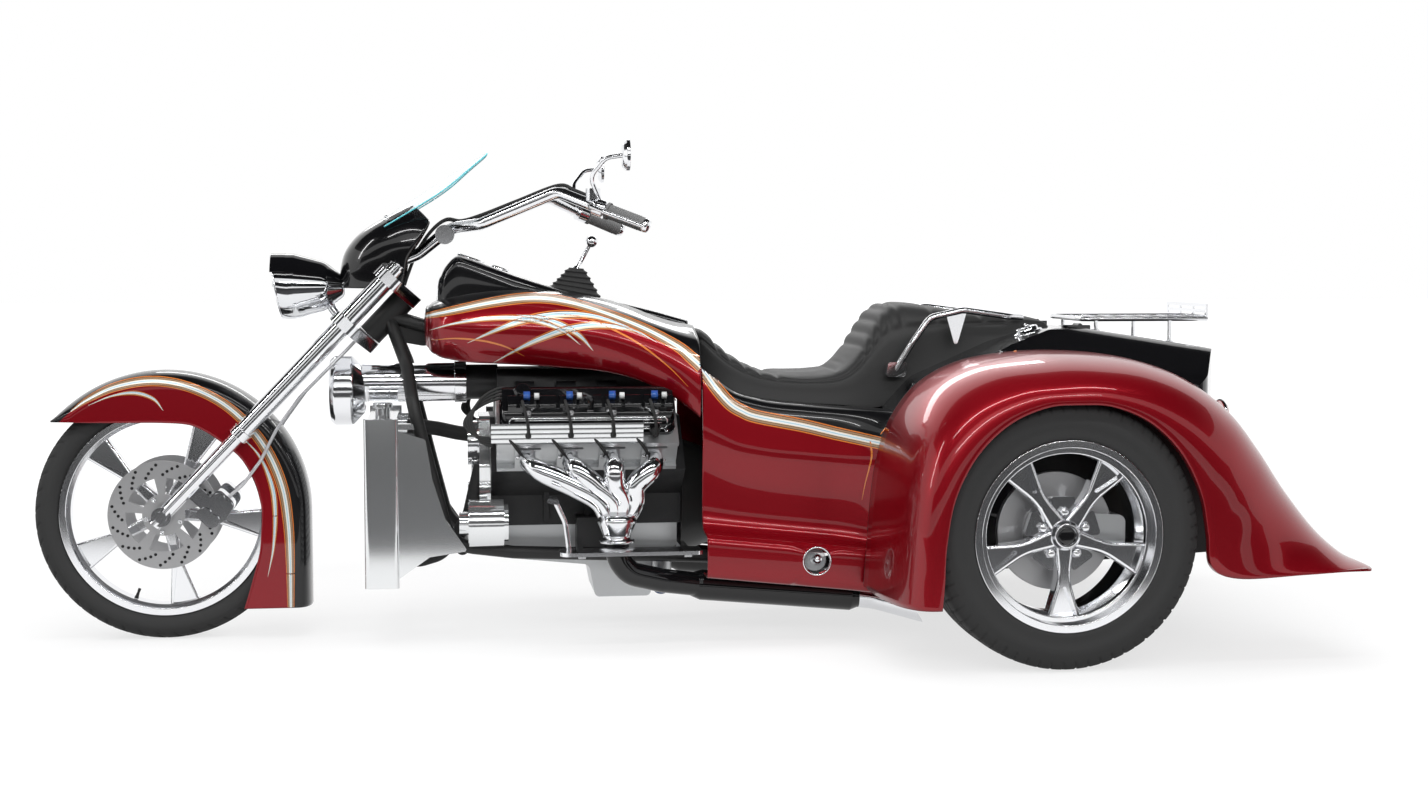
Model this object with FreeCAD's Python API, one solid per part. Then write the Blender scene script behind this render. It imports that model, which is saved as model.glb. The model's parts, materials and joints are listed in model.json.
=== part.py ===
"""Motorized trike: an open V8 engine in a tube frame, raked chrome fork, two wide rear wheels
under pontoon fenders and a small boot between them.

Frame of the model: +Z up, front toward -X, left side toward -Y, origin on the floor below
the middle of the bounding box.  Millimetres throughout.

Three datums carry the sub-parts: BAY on the crankshaft at the front face of the engine, HEAD
at the middle of the steering head and REAR on the floor below the rear axle.  The fork has its
own axes: behind, across and along its tubes, from the front axle.
"""
import FreeCAD, Part
import math
import os

os.makedirs("parts", exist_ok=True)

# ---------------------------------------------------------------- driving dimensions
# engine
ENGINE_X = -500.0
CRANK_Z = 365.0
ENGINE_LENGTH = 520.0
BORE_PITCH = 111.8
FIRST_PORT = 95.0
DECK_HEIGHT = 234.7
BANK_ANGLE = 45.0
HEAD_HEIGHT = 110.0
HEAD_WIDTH = 190.0
PORT_HEIGHT = 50.0
COVER_HEIGHT = 72.0
COVER_WIDTH = 118.0
COVER_FLANGE = 9.0
COIL_RAIL = (42.0, 26.0)
PRIMARY_R = 22.0
EXHAUST_R = 32.0
EXHAUST_Y = 318.0
MUFFLER_R = 41.0
MUFFLER_Y = 250.0
INTAKE_R = 53.0
# wheels
FRONT_TYRE_R = 343.0
FRONT_TYRE_W = 124.0
FRONT_BEAD_R = 266.7
FRONT_RIM_W = 96.0
FRONT_SPOKE_PHASE = 64.0
REAR_TYRE_R = 341.0
REAR_TYRE_W = 255.0
REAR_BEAD_R = 228.6
REAR_RIM_W = 244.0
REAR_WHEEL_Y = 685.0
REAR_SPOKE_PHASE = 54.0
LUG_CIRCLE_R = 57.15
LUG_PAD_H = 20.0
RIM_LIP = 12.5
FRONT_WELL = 8.0
RIM_WALL = 7.0
SPOKES = 5
# brakes and axle ends
FRONT_DISC_R = 146.0
FRONT_DISC_Y = 80.0
REAR_DISC_R = 150.0
REAR_DISC_T = 22.0
HAT_DEPTH = 44.0
LEFT = -1                # side of the middle plane that rear wheels and other mirrored pieces are drawn on
HUB_FACE = 44.0
HOUSING_END = 600.0
HOUSING_R = 38.0
STUB_LENGTH = 40.0
STUB_R = 24.0
DISC_T = 6.0
RUN_CLEAR = 5.0
# steering head, measured from the engine, and fork
HEAD_AHEAD = 277.0
HEAD_ABOVE = 503.0
RAKE = 43.5
FORK_OFFSET = 70.0
TREE_BELOW = 100.0
TREE_ABOVE = 68.0
TREE_T = 32.0
LEG_Y = 115.0
SLIDER_R = 19.5
SLIDER_TOP = 300.0
FORK_TUBE_R = 25.5
STEM_R = 17.0
NECK_R = 34.0
NECK_GAP = 2.0
AXLE_R = 12.5
BAR_R = 15.9
GRIP_T = 3.0
HEADLIGHT_R = 89.0
SCREEN_T = 4.0
HOSE_R = 4.5
# front fender, around the tyre
FENDER_GAP = 34.0
FENDER_T = 5.0
FENDER_HALF = 84.0
FENDER_ROUND = 38.0
FENDER_TIP = 138.0
FENDER_TAIL_Z = 84.0
SKIRT_R = 256.0
SKIRT_Z = 594.0
# general clearances and walls
SEAT_GAP = 0.3
TUBE_GAP = 3.0
SHELL = 6.0
# frame tubes
RAIL_R = 17.5
CROSS_R = 20.0
RAIL_Y = 190.0
GUSSET_T = 36.0
# body, measured from the engine and then from the rear axle
BODY_BEHIND = 38.0
AXLE_BEHIND = 852.0
BODY_LENGTH = 502.0
BODY_Y = 300.0
BODY_ROUND = 38.0
STEP_Y = 400.0
STEP_LENGTH = 442.0
STEP_ROUND = 22.0
MARKER_R = 35.0
FENDER_Y = 838.0
FENDER_INNER_Y = 424.0
ARCH_OVERLAP = 6.0
LID_AHEAD = 210.0
LID_LENGTH = 345.0
LID_Y = 262.0
LID_GAP = 5.0
DECK_Z = 838.0
DECK_FALL = 0.156
TAIL_X = 640.0
PLATE_X = 626.0
PLATE_T = 3.0
PIN_R = 2.9
RACK_HEIGHT = 26.0

V = FreeCAD.Vector
X_AXIS, Y_AXIS, Z_AXIS = V(1, 0, 0), V(0, 1, 0), V(0, 0, 1)
LEAN = math.radians(RAKE)
BANK = math.radians(BANK_ANGLE)

BAY = V(ENGINE_X, 0, CRANK_Z)
HEAD = BAY + V(-HEAD_AHEAD, 0, HEAD_ABOVE)
BODY_FRONT = -AXLE_BEHIND
BODY_REAR = BODY_FRONT + BODY_LENGTH
REAR = V(ENGINE_X + ENGINE_LENGTH + BODY_BEHIND + AXLE_BEHIND, 0, 0)
ARCH_R = REAR_TYRE_R - ARCH_OVERLAP
BULKHEAD = LID_AHEAD - 26.0

# the fork is as long as it takes to stand the front tyre on the floor
HEAD_U = (HEAD.z - FRONT_TYRE_R + FORK_OFFSET * math.sin(LEAN)) / math.cos(LEAN)
LOWER_TREE_U = HEAD_U - TREE_BELOW
UPPER_TREE_U = HEAD_U + TREE_ABOVE
FORK_TUBE_TOP = UPPER_TREE_U + TREE_T + 22.0
FRONT_AXLE_X = HEAD.x - FORK_OFFSET * math.cos(LEAN) - HEAD_U * math.sin(LEAN)
FRONT_HUB = V(FRONT_AXLE_X, 0, FRONT_TYRE_R)
FORK = FreeCAD.Placement(FRONT_HUB, FreeCAD.Rotation(Y_AXIS, RAKE))


# ---------------------------------------------------------------- helpers
def rounded_wire(corners, to3d):
    """Closed wire of lines and arcs.  Each corner is (u, v, corner radius)."""
    points = [V(u, v, 0) for u, v, _ in corners]
    joints = []
    for index, (_, _, radius) in enumerate(corners):
        here = points[index]
        back = points[index - 1] - here
        ahead = points[(index + 1) % len(points)] - here
        half = back.getAngle(ahead) / 2
        if radius <= 0 or abs(half - math.pi / 2) < 1e-3:
            joints.append((here, None, here))
            continue
        back.normalize()
        ahead.normalize()
        run = radius / math.tan(half)
        inward = back + ahead
        inward.normalize()
        apex = here + inward * (radius / math.sin(half) - radius)
        joints.append((here + back * run, apex, here + ahead * run))
    edges = []
    for index, (start, apex, end) in enumerate(joints):
        if apex is not None:
            edges.append(Part.Arc(to3d(start), to3d(apex), to3d(end)).toShape())
        following = joints[(index + 1) % len(joints)][0]
        if (following - end).Length > 1e-6:
            edges.append(Part.LineSegment(to3d(end), to3d(following)).toShape())
    return Part.Wire(edges)


def prism_x(corners, x0, x1):
    """Prism along X of a (y, z, radius) outline."""
    face = Part.Face(rounded_wire(corners, lambda p: V(x0, p.x, p.y)))
    return face.extrude(V(x1 - x0, 0, 0))


def prism_y(corners, y0, y1):
    """Prism along Y of an (x, z, radius) outline."""
    face = Part.Face(rounded_wire(corners, lambda p: V(p.x, y0, p.y)))
    return face.extrude(V(0, y1 - y0, 0))


def prism_z(corners, z0, z1):
    """Prism along Z of an (x, y, radius) outline."""
    face = Part.Face(rounded_wire(corners, lambda p: V(p.x, p.y, z0)))
    return face.extrude(V(0, 0, z1 - z0))


def even(corners):
    """Closes a (y, z, radius) half outline by its mirror image in the middle plane."""
    return corners + [(-u, v, k) for u, v, k in reversed(corners)]


def box(x0, x1, y0, y1, z0, z1):
    """Block between two X, two Y and two Z values, given in either order."""
    low = V(min(x0, x1), min(y0, y1), min(z0, z1))
    return Part.makeBox(abs(x1 - x0), abs(y1 - y0), abs(z1 - z0), low)


def rod(start, end, radius):
    """Cylinder between two points."""
    return Part.makeCylinder(radius, (end - start).Length, start, end - start)


def cone(start, end, r0, r1):
    return Part.makeCone(r0, r1, (end - start).Length, start, end - start)


def path_wire(points, bend):
    """Open wire of straight runs joined by tangent arcs of the bend radius."""
    edges = []
    last = points[0]
    for index in range(1, len(points) - 1):
        here = points[index]
        back = points[index - 1] - here
        ahead = points[index + 1] - here
        half = back.getAngle(ahead) / 2
        room = 0.45 * min(back.Length, ahead.Length)
        run = min(bend / math.tan(half), room)
        radius = run * math.tan(half)
        back.normalize()
        ahead.normalize()
        inward = back + ahead
        inward.normalize()
        start = here + back * run
        end = here + ahead * run
        apex = here + inward * (radius / math.sin(half) - radius)
        if (start - last).Length > 1e-6:
            edges.append(Part.LineSegment(last, start).toShape())
        edges.append(Part.Arc(start, apex, end).toShape())
        last = end
    edges.append(Part.LineSegment(last, points[-1]).toShape())
    return Part.Wire(edges)


def pipe(points, radius, bend):
    """Round bar bent along a path of points."""
    points = [V(point) for point in points]
    if len(points) == 2:
        return rod(points[0], points[1], radius)
    circle = Part.makeCircle(radius, points[0], points[1] - points[0])
    return path_wire(points, bend).makePipeShell([Part.Wire(circle)], True, False)


def ring(corners, centre, axis=Y_AXIS):
    """Solid of revolution.  Each corner is (distance along the axis, radius, corner radius)."""
    side = Z_AXIS if abs(axis.z) < 0.9 else X_AXIS
    face = Part.Face(rounded_wire(corners, lambda p: centre + axis * p.x + side * p.y))
    return face.revolve(centre, axis, 360)


def outward(side, corners):
    """Ring corners measured from a wheel's middle plane toward its outer face."""
    return [(side * y, r, k) for y, r, k in corners]


def fuse(shapes):
    first = shapes[0]
    if len(shapes) > 1:
        first = first.multiFuse(shapes[1:])
    return first.removeSplitter()


def fuse_in_turn(shapes):
    """Joins the shapes one after another, for pieces that meet along shared round faces."""
    first = shapes[0]
    for shape in shapes[1:]:
        first = first.fuse(shape)
    return first


def largest(shape):
    """The main solid of a trimmed shape, without its offcuts."""
    return max(shape.Solids, key=lambda piece: piece.Volume)


def mirrored(shape):
    """The same shape on the right-hand side."""
    return shape.mirror(V(0, 0, 0), Y_AXIS)


def both(shape):
    return [shape, mirrored(shape)]


def on_fork(shape):
    """Moves a shape from the fork's own axes into place."""
    placed = shape.copy()
    placed.Placement = FORK.multiply(placed.Placement)
    return placed


def fork_point(behind, across, along):
    return FORK.multVec(V(behind, across, along))


def head_point(x, y, z):
    return HEAD + V(x, y, z)


def bay_point(x, y, z):
    return BAY + V(x, y, z)


def around(shape, centre, axis, count, phase=0.0):
    """Copies of a shape, evenly turned about an axis."""
    copies = []
    for index in range(count):
        copy = shape.copy()
        copy.rotate(centre, axis, phase + 360.0 * index / count)
        copies.append(copy)
    return copies


NODES = {}


def node(name, shapes, at=V(0, 0, 0)):
    """Keeps the solids of one sub-part, moved from its datum into place."""
    solids = []
    for shape in shapes:
        for solid in shape.Solids:
            placed = solid.copy()
            placed.translate(at)
            solids.append(placed)
    NODES[name] = Part.makeCompound(solids)


def seated(name, others):
    """Trims a sub-part back to the faces of the sub-parts that it sits on."""
    tools = [NODES[other] for other in others]
    node(name, [largest(solid.cut(tools)) for solid in NODES[name].Solids])


# ---------------------------------------------------------------- wheels
def tyre(centre, radius, width, bead_r, rim_w):
    """Solid tyre ring: bead inside the rim's lips, two flats on each side wall, plain tread."""
    bead = rim_w / 2 - RIM_WALL
    half = width / 2
    lip = bead_r + RIM_LIP + 1
    wall = radius - lip
    outline = [(bead, bead_r, 0), (bead, lip, 0), (half, lip + 0.34 * wall, 0),
               (half - 0.08 * wall, radius - 0.2 * wall, 0), (half - 0.42 * wall, radius, 0)]
    return ring(even(outline), centre)


def rim_barrel(centre, bead_r, width, drop, well):
    """Rim with a lip on each side and a well that drops between two slopes at distance well from the middle."""
    half = width / 2
    lip = bead_r + RIM_LIP
    outside = [(half, lip, 2), (half - RIM_WALL, lip, 2), (half - RIM_WALL, bead_r, 0), (well, bead_r, 0),
               (well - drop, bead_r - drop, 0)]
    inside = [(well - drop - 0.6 * RIM_WALL, bead_r - drop - RIM_WALL, 0),
              (well - 0.6 * RIM_WALL, bead_r - RIM_WALL, 0), (half, bead_r - RIM_WALL, 2)]
    corners = outside + [(-y, r, k) for y, r, k in reversed(outside)]
    corners += [(-y, r, k) for y, r, k in reversed(inside)] + inside
    return ring(corners, centre)


def trumpet_spoke(centre, inner_r, bead_r, waist, flare, y0, y1, pocket):
    """Spoke that flares toward the rim; a pocket is sunk into its face at y1 near the rim."""
    bend_r = inner_r + 0.42 * (bead_r - inner_r)
    half_waist = waist / 2
    half_flare = flare / 2
    outline = [(-half_waist * 1.5, inner_r, 0), (-half_waist, bend_r, 150), (-half_flare, bead_r + 5, 0),
               (half_flare, bead_r + 5, 0), (half_waist, bend_r, 150), (half_waist * 1.5, inner_r, 0)]
    blade = prism_y(outline, y0, y1)
    crown = [e for e in blade.Edges if abs(e.CenterOfMass.y - y1) < 0.01
             and abs(e.valueAt(e.FirstParameter).x - e.valueAt(e.LastParameter).x) < flare * 0.49]
    blade = blade.makeFillet(waist * 0.28, crown)
    rim_r = bead_r - RIM_WALL
    sunk = [(0, bend_r + 12, 4), (-half_flare + 10, rim_r, 0), (half_flare - 10, rim_r, 0)]
    blade = blade.cut(prism_y(sunk, y1 - math.copysign(pocket, y1), y1 + math.copysign(1, y1)))
    blade = blade.common(rod(V(0, y0, 0), V(0, y1, 0), bead_r - RIM_WALL / 2))
    blade.translate(centre)
    return blade


def front_wheel():
    node("front_tyre", [tyre(FRONT_HUB, FRONT_TYRE_R, FRONT_TYRE_W, FRONT_BEAD_R, FRONT_RIM_W)])
    barrel = rim_barrel(FRONT_HUB, FRONT_BEAD_R, FRONT_RIM_W, FRONT_WELL, 20 + 2 * FRONT_WELL)
    spokes = []
    for face in (-20, 20):
        spokes.append(trumpet_spoke(FRONT_HUB, 34, FRONT_BEAD_R - FRONT_WELL, 26, 84, 0, face, 9))
    hub = ring([(-60, AXLE_R + SEAT_GAP, 0), (60, AXLE_R + SEAT_GAP, 0), (60, 30, 2), (40, 34, 0),
                (30, 50, 6), (-30, 50, 6), (-40, 34, 0), (-60, 30, 2)], FRONT_HUB)
    turned = []
    for spoke in spokes:
        turned += around(spoke, FRONT_HUB, Y_AXIS, SPOKES, 90 - FRONT_SPOKE_PHASE)
    node("front_rim", [fuse([barrel, hub] + turned)])

    y = FRONT_DISC_Y - DISC_T / 2
    plate = ring([(y, 34, 0), (y + DISC_T, 34, 0), (y + DISC_T, FRONT_DISC_R, 0), (y, FRONT_DISC_R, 0)], FRONT_HUB)
    base = FRONT_HUB + V(0, y - 1, 0)
    window = Part.makeCylinder(100, DISC_T + 2, base, Y_AXIS, 54)
    window = window.cut(Part.makeCylinder(56, DISC_T + 2, base, Y_AXIS, 360))
    plate = plate.cut(around(window, FRONT_HUB, Y_AXIS, SPOKES, 5))
    carrier = ring([(60, AXLE_R + 1, 0), (y + DISC_T, AXLE_R + 1, 0), (y + DISC_T, 40, 2), (y, 40, 0),
                    (y, 30, 0), (60, 30, 0)], FRONT_HUB)
    node("front_discs", both(fuse([plate, carrier])))


def rear_wheels():
    """Wide tyre, five-spoke rim with lug pads between the spokes, and the disc with its stub."""
    side = LEFT
    face = side * HUB_FACE
    hub = V(REAR.x, side * REAR_WHEEL_Y, REAR_TYRE_R)
    rubber = tyre(hub, REAR_TYRE_R, REAR_TYRE_W, REAR_BEAD_R, REAR_RIM_W)
    barrel = rim_barrel(hub, REAR_BEAD_R, REAR_RIM_W, 18, HUB_FACE - 4)
    step = ring(outward(side, [(70, REAR_BEAD_R - 5, 0), (98, REAR_BEAD_R - 5, 0), (98, REAR_BEAD_R - 24, 3),
                               (70, REAR_BEAD_R - 20, 0)]), hub)
    spoke = trumpet_spoke(hub, 26, REAR_BEAD_R, 30, 100, face, side * (HUB_FACE + 40), 16)
    spokes = around(spoke, hub, Y_AXIS, SPOKES, 90 - REAR_SPOKE_PHASE)
    pad = prism_y([(-16, 30, 0), (-34, 94, 8), (34, 94, 8), (16, 30, 0)], face, side * (HUB_FACE + LUG_PAD_H))
    well = rod(V(0, side * (HUB_FACE + 8), LUG_CIRCLE_R), V(0, side * (HUB_FACE + LUG_PAD_H + 1), LUG_CIRCLE_R), 14)
    nut = rod(V(0, side * (HUB_FACE + 4), LUG_CIRCLE_R), V(0, side * (HUB_FACE + LUG_PAD_H + 4), LUG_CIRCLE_R), 9)
    pad = fuse([pad.cut(well), nut])
    pad.translate(hub)
    pads = around(pad, hub, Y_AXIS, SPOKES, 90 - REAR_SPOKE_PHASE + 180.0 / SPOKES)
    cap = ring(outward(side, [(HUB_FACE, 0, 0), (HUB_FACE, 40, 0), (HUB_FACE + 46, 38, 6), (HUB_FACE + 58, 30, 4),
                              (HUB_FACE + 58, 24, 0), (HUB_FACE + 54, 24, 0), (HUB_FACE + 54, 0, 0)]), hub)
    rim = fuse_in_turn([barrel, step] + spokes + [cap] + pads)
    plate = HUB_FACE - HAT_DEPTH
    hat = ring(outward(side, [(HUB_FACE, 0, 0), (HUB_FACE, 84, 2), (plate, 84, 2), (plate, REAR_DISC_R, 1),
                              (plate - REAR_DISC_T, REAR_DISC_R, 1), (plate - REAR_DISC_T, 74, 2),
                              (HUB_FACE - 12, 74, 2), (HUB_FACE - 12, 0, 0)]), hub)
    stub = rod(hub + V(0, side * (HUB_FACE - 12), 0),
               V(hub.x, side * (HOUSING_END - STUB_LENGTH), hub.z), STUB_R)
    for name, shape in (("rear_tyre", rubber), ("rear_rim", rim), ("rear_disc", fuse([hat, stub]))):
        node(name + "_left", [shape])
        node(name + "_right", [mirrored(shape)])


def rear_brake(side):
    """Caliper behind the axle on a flange at the end of the axle housing."""
    hub = V(REAR.x, side * HOUSING_END, REAR_TYRE_R)
    disc_y = side * (REAR_WHEEL_Y - HOUSING_END)
    inner = disc_y - side * (REAR_DISC_T + RUN_CLEAR)
    outer = disc_y + side * RUN_CLEAR
    flange = ring([(0, STUB_R + RUN_CLEAR, 0), (0, 62, 0), (side * 10, 62, 2), (side * 10, STUB_R + RUN_CLEAR, 0)],
                  V(0, 0, 0))
    arm = box(40, 138, 0, side * 12, -24, 24)
    body = prism_y([(84, -46, 12), (176, -40, 20), (176, 40, 20), (84, 46, 12)], inner - side * 30,
                   outer + side * 20)
    slot = rod(V(0, inner, 0), V(0, outer, 0), REAR_DISC_R + RUN_CLEAR)
    link = box(100, 138, 0, inner - side * 20, -24, 24)
    shape = fuse([flange, arm.cut(rod(V(0, -1, 0), V(0, 20, 0), STUB_R + RUN_CLEAR)), link, body.cut(slot)])
    shape.translate(hub)
    return shape


# ---------------------------------------------------------------- fork and what steers
def caliper(side):
    """Four-lobed caliper that straddles the disc behind the leg."""
    gap = DISC_T / 2 + RUN_CLEAR
    near = FRONT_DISC_Y - gap - 10
    far = FRONT_DISC_Y + gap + 30
    body = prism_y([(58, 60, 14), (120, 60, 20), (128, 108, 20), (120, 156, 20), (58, 156, 14)],
                   side * near, side * far)
    lobes = [rod(V(x, side * far, z), V(x, side * (far + 9), z), 17) for x, z in ((78, 82), (78, 134), (106, 82),
                                                                                 (106, 134))]
    slot = rod(V(0, side * (FRONT_DISC_Y - gap), 0), V(0, side * (FRONT_DISC_Y + gap), 0), FRONT_DISC_R + RUN_CLEAR)
    return fuse([body] + lobes).cut(slot)


def fork():
    legs = []
    for side in (-1, 1):
        y = side * LEG_Y
        slider = rod(V(0, y, -30), V(0, y, SLIDER_TOP), SLIDER_R)
        upper = rod(V(0, y, SLIDER_TOP), V(0, y, FORK_TUBE_TOP), FORK_TUBE_R)
        collar = ring([(0, 0, 0), (0, FORK_TUBE_R + 3, 2), (26, FORK_TUBE_R + 3, 2), (26, 0, 0)],
                      V(0, y, SLIDER_TOP - 10), Z_AXIS)
        cap = ring([(0, 0, 0), (0, 18, 0), (10, 18, 3), (10, 0, 0)], V(0, y, FORK_TUBE_TOP), Z_AXIS)
        lug = rod(V(0, y - side * 14, 0), V(0, y + side * 18, 0), 26)
        nut = rod(V(0, y + side * 18, 0), V(0, y + side * 28, 0), 15)
        arm = box(8, 64, side * 100, side * 118, 84, 124)
        legs += [slider, upper, collar, cap, lug, nut, caliper(side), arm]
    axle = rod(V(0, -LEG_Y + 10, 0), V(0, LEG_Y - 10, 0), AXLE_R)
    node("fork_legs", [on_fork(fuse(legs + [axle]))])

    trees = []
    for base in (LOWER_TREE_U, UPPER_TREE_U):
        plate = prism_z([(-38, -LEG_Y - 34, 26), (34, -LEG_Y - 34, 26), (FORK_OFFSET + 36, -36, 24),
                         (FORK_OFFSET + 36, 36, 24), (34, LEG_Y + 34, 26), (-38, LEG_Y + 34, 26)],
                        base, base + TREE_T)
        for side in (-1, 1):
            plate = plate.cut(rod(V(0, side * LEG_Y, base - 1), V(0, side * LEG_Y, base + TREE_T + 1),
                                  FORK_TUBE_R))
        trees.append(plate)
    stem = rod(V(FORK_OFFSET, 0, LOWER_TREE_U + 4), V(FORK_OFFSET, 0, UPPER_TREE_U + TREE_T - 4), STEM_R)
    node("fork_trees", [on_fork(fuse(trees + [stem]))])

    hoses = []
    for side in (-1, 1):
        # behind, across, along: up from the caliper, behind the leg and into the lower tree
        route = [(92, 104, 150), (98, 106, 205), (88, 112, 285), (62, 118, 375), (48, 118, 480), (50, 110, 580),
                 (52, 92, 650), (52, 84, LOWER_TREE_U + 4)]
        hoses.append(on_fork(pipe([(x, side * y, z) for x, y, z in route], HOSE_R, 90)))
    node("brake_hoses", hoses)


def front_fender_blank(inset):
    """Solid under the fender's crown and straight tail, its outer edges rounded."""
    radius = FRONT_TYRE_R + FENDER_GAP + FENDER_T - inset
    half = FENDER_HALF - inset
    hub = V(FRONT_AXLE_X, -half, FRONT_TYRE_R)

    def rim(degrees):
        turn = math.radians(degrees)
        return hub + V(radius * math.cos(turn), 0, radius * math.sin(turn))

    foot = V(hub.x + radius, -half, FENDER_TAIL_Z - inset)
    inner_foot = V(hub.x, -half, FENDER_TAIL_Z - inset)
    outline = [Part.Arc(rim(FENDER_TIP + inset), rim(70), rim(0)).toShape(),
               Part.LineSegment(rim(0), foot).toShape(),
               Part.LineSegment(foot, inner_foot).toShape(),
               Part.LineSegment(inner_foot, hub).toShape(),
               Part.LineSegment(hub, rim(FENDER_TIP + inset)).toShape()]
    solid = Part.Face(Part.Wire(outline)).extrude(V(0, 2 * half, 0))

    def on_crown(edge):
        middle = edge.valueAt((edge.FirstParameter + edge.LastParameter) / 2)
        reach = math.hypot(middle.x - hub.x, middle.z - hub.z)
        return abs(reach - radius) < 0.5 or (abs(middle.x - foot.x) < 0.5 and middle.z < hub.z)

    crown = [e for e in solid.Edges if e.BoundBox.YLength < 0.1 and on_crown(e)]
    return solid.makeFillet(FENDER_ROUND - inset, crown)


def front_fender():
    """Crown that follows the tyre, then drops straight behind it; deep side skirts."""
    shell = front_fender_blank(0).cut(front_fender_blank(FENDER_T))
    edge = SKIRT_R / math.sqrt(2)
    wheel_side = prism_y([(FRONT_AXLE_X - 500, 0, 0), (FRONT_AXLE_X - 500, SKIRT_Z, 0),
                          (FRONT_AXLE_X + edge * 0.45, SKIRT_Z, 60), (FRONT_AXLE_X + edge * 1.12,
                          FRONT_TYRE_R + edge * 0.85, 90), (FRONT_AXLE_X + SKIRT_R + 8, FRONT_TYRE_R - 40, 120),
                          (FRONT_AXLE_X + SKIRT_R - 46, 0, 0)], -FENDER_HALF - 5, FENDER_HALF + 5)
    bosses = []
    for side in (-1, 1):
        for behind, along in ((0, 284), (26, 262)):
            bosses.append(on_fork(rod(V(behind, side * (FENDER_HALF - 3), along),
                                      V(behind, side * (LEG_Y - 10), along), 11)))
    node("front_fender", [fuse([shell.cut(wheel_side)] + bosses)])


def headlight():
    lamp = head_point(-273, 0, 85)
    shell = ring([(0, 0, 0), (0, HEADLIGHT_R, 3), (26, HEADLIGHT_R, 8), (110, 66, 60), (160, 26, 20),
                  (164, 0, 0)], lamp, X_AXIS)
    bowl = ring([(-1, 0, 0), (-1, HEADLIGHT_R - 6, 0), (20, HEADLIGHT_R - 8, 6), (70, 40, 20),
                 (84, 0, 0)], lamp, X_AXIS)
    visor = ring([(-34, HEADLIGHT_R - 1, 0), (-34, HEADLIGHT_R + 1, 0), (4, HEADLIGHT_R + 1, 0),
                  (4, HEADLIGHT_R - 1, 0)], lamp, X_AXIS)
    keep = box(-60, 20, -80, 80, 40, 120)
    keep.translate(lamp)
    bulb = ring([(30, 0, 0), (30, 12, 6), (96, 12, 0), (96, 0, 0)], lamp, X_AXIS)
    bracket = pipe([lamp + V(130, 0, 0), head_point(-153, 0, 32), fork_point(-10, 0, LOWER_TREE_U + 10)], 12, 30)
    cowl = cowl_blank(0, 82)
    cowl.translate(HEAD)
    node("headlight_shell", [largest(fuse([shell.cut(bowl), visor.common(keep), bulb, bracket]).cut(cowl))])
    lens = ring([(3, 0, 0), (3, HEADLIGHT_R - 7.5, 0), (7, HEADLIGHT_R - 7.5, 0), (7, 0, 0)], lamp, X_AXIS)
    node("headlight_lens", [lens])


def cowl_blank(inset, low):
    """Nacelle form: side outline crossed with a plan outline that rounds its corners."""
    side = prism_y([(-119 + inset, 130, 10), (-91 + inset * 0.8, 211 - inset * 0.6, 90), (-17, 259 - inset, 90),
                    (74, 305 - inset, 4), (116, 251 - inset, 6), (60, 170, 0), (60, low, 0), (-119 + inset, low, 0)],
                   -160, 160)
    half = 118 - inset
    plan = prism_z([(-124 + inset, -half, 50), (40, -half, 120), (140, -half * 0.62, 0), (140, half * 0.62, 0),
                    (40, half, 120), (-124 + inset, half, 50)], -50, 400)
    return side.common(plan)


def cowl_and_screen():
    """Black nacelle over the fork tops, with the clear screen swept back from its rim."""
    cowl = cowl_blank(0, 82).cut(cowl_blank(8, 20))
    cowl.translate(HEAD)
    tubes = [on_fork(rod(V(0, s * LEG_Y, LOWER_TREE_U), V(0, s * LEG_Y, FORK_TUBE_TOP + 200),
                         FORK_TUBE_R + TUBE_GAP)) for s in (-1, 1)]
    tree = on_fork(box(-60, 200, -170, 170, UPPER_TREE_U - 2, UPPER_TREE_U + TREE_T + 60))
    cowl = cowl.cut(fuse([tree] + tubes))
    node("fork_cowl", [largest(cowl)])

    half, sag, length = 112.0, 26.0, 349.0
    edges = [Part.Arc(V(0, -half, -sag), V(0, 0, 0), V(0, half, -sag)).toShape(),
             Part.LineSegment(V(0, half, -sag), V(0, half, -sag + SCREEN_T)).toShape(),
             Part.Arc(V(0, half, -sag + SCREEN_T), V(0, 0, SCREEN_T), V(0, -half, -sag + SCREEN_T)).toShape(),
             Part.LineSegment(V(0, -half, -sag + SCREEN_T), V(0, -half, -sag)).toShape()]
    sheet = Part.Face(Part.Wire(edges)).extrude(V(length, 0, 0))
    outline = prism_z([(0, -half + 8, 0), (length * 0.5, -half, 90), (length, -half * 0.45, 50),
                       (length, half * 0.45, 50), (length * 0.5, half, 90), (0, half - 8, 0)], -60, 20)
    screen = sheet.common(outline)
    screen.Placement = FreeCAD.Placement(head_point(-17, 0, 260), FreeCAD.Rotation(Y_AXIS, -32.6))
    screen = screen.cut(NODES["fork_cowl"])
    node("windscreen", [largest(screen)])


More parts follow.
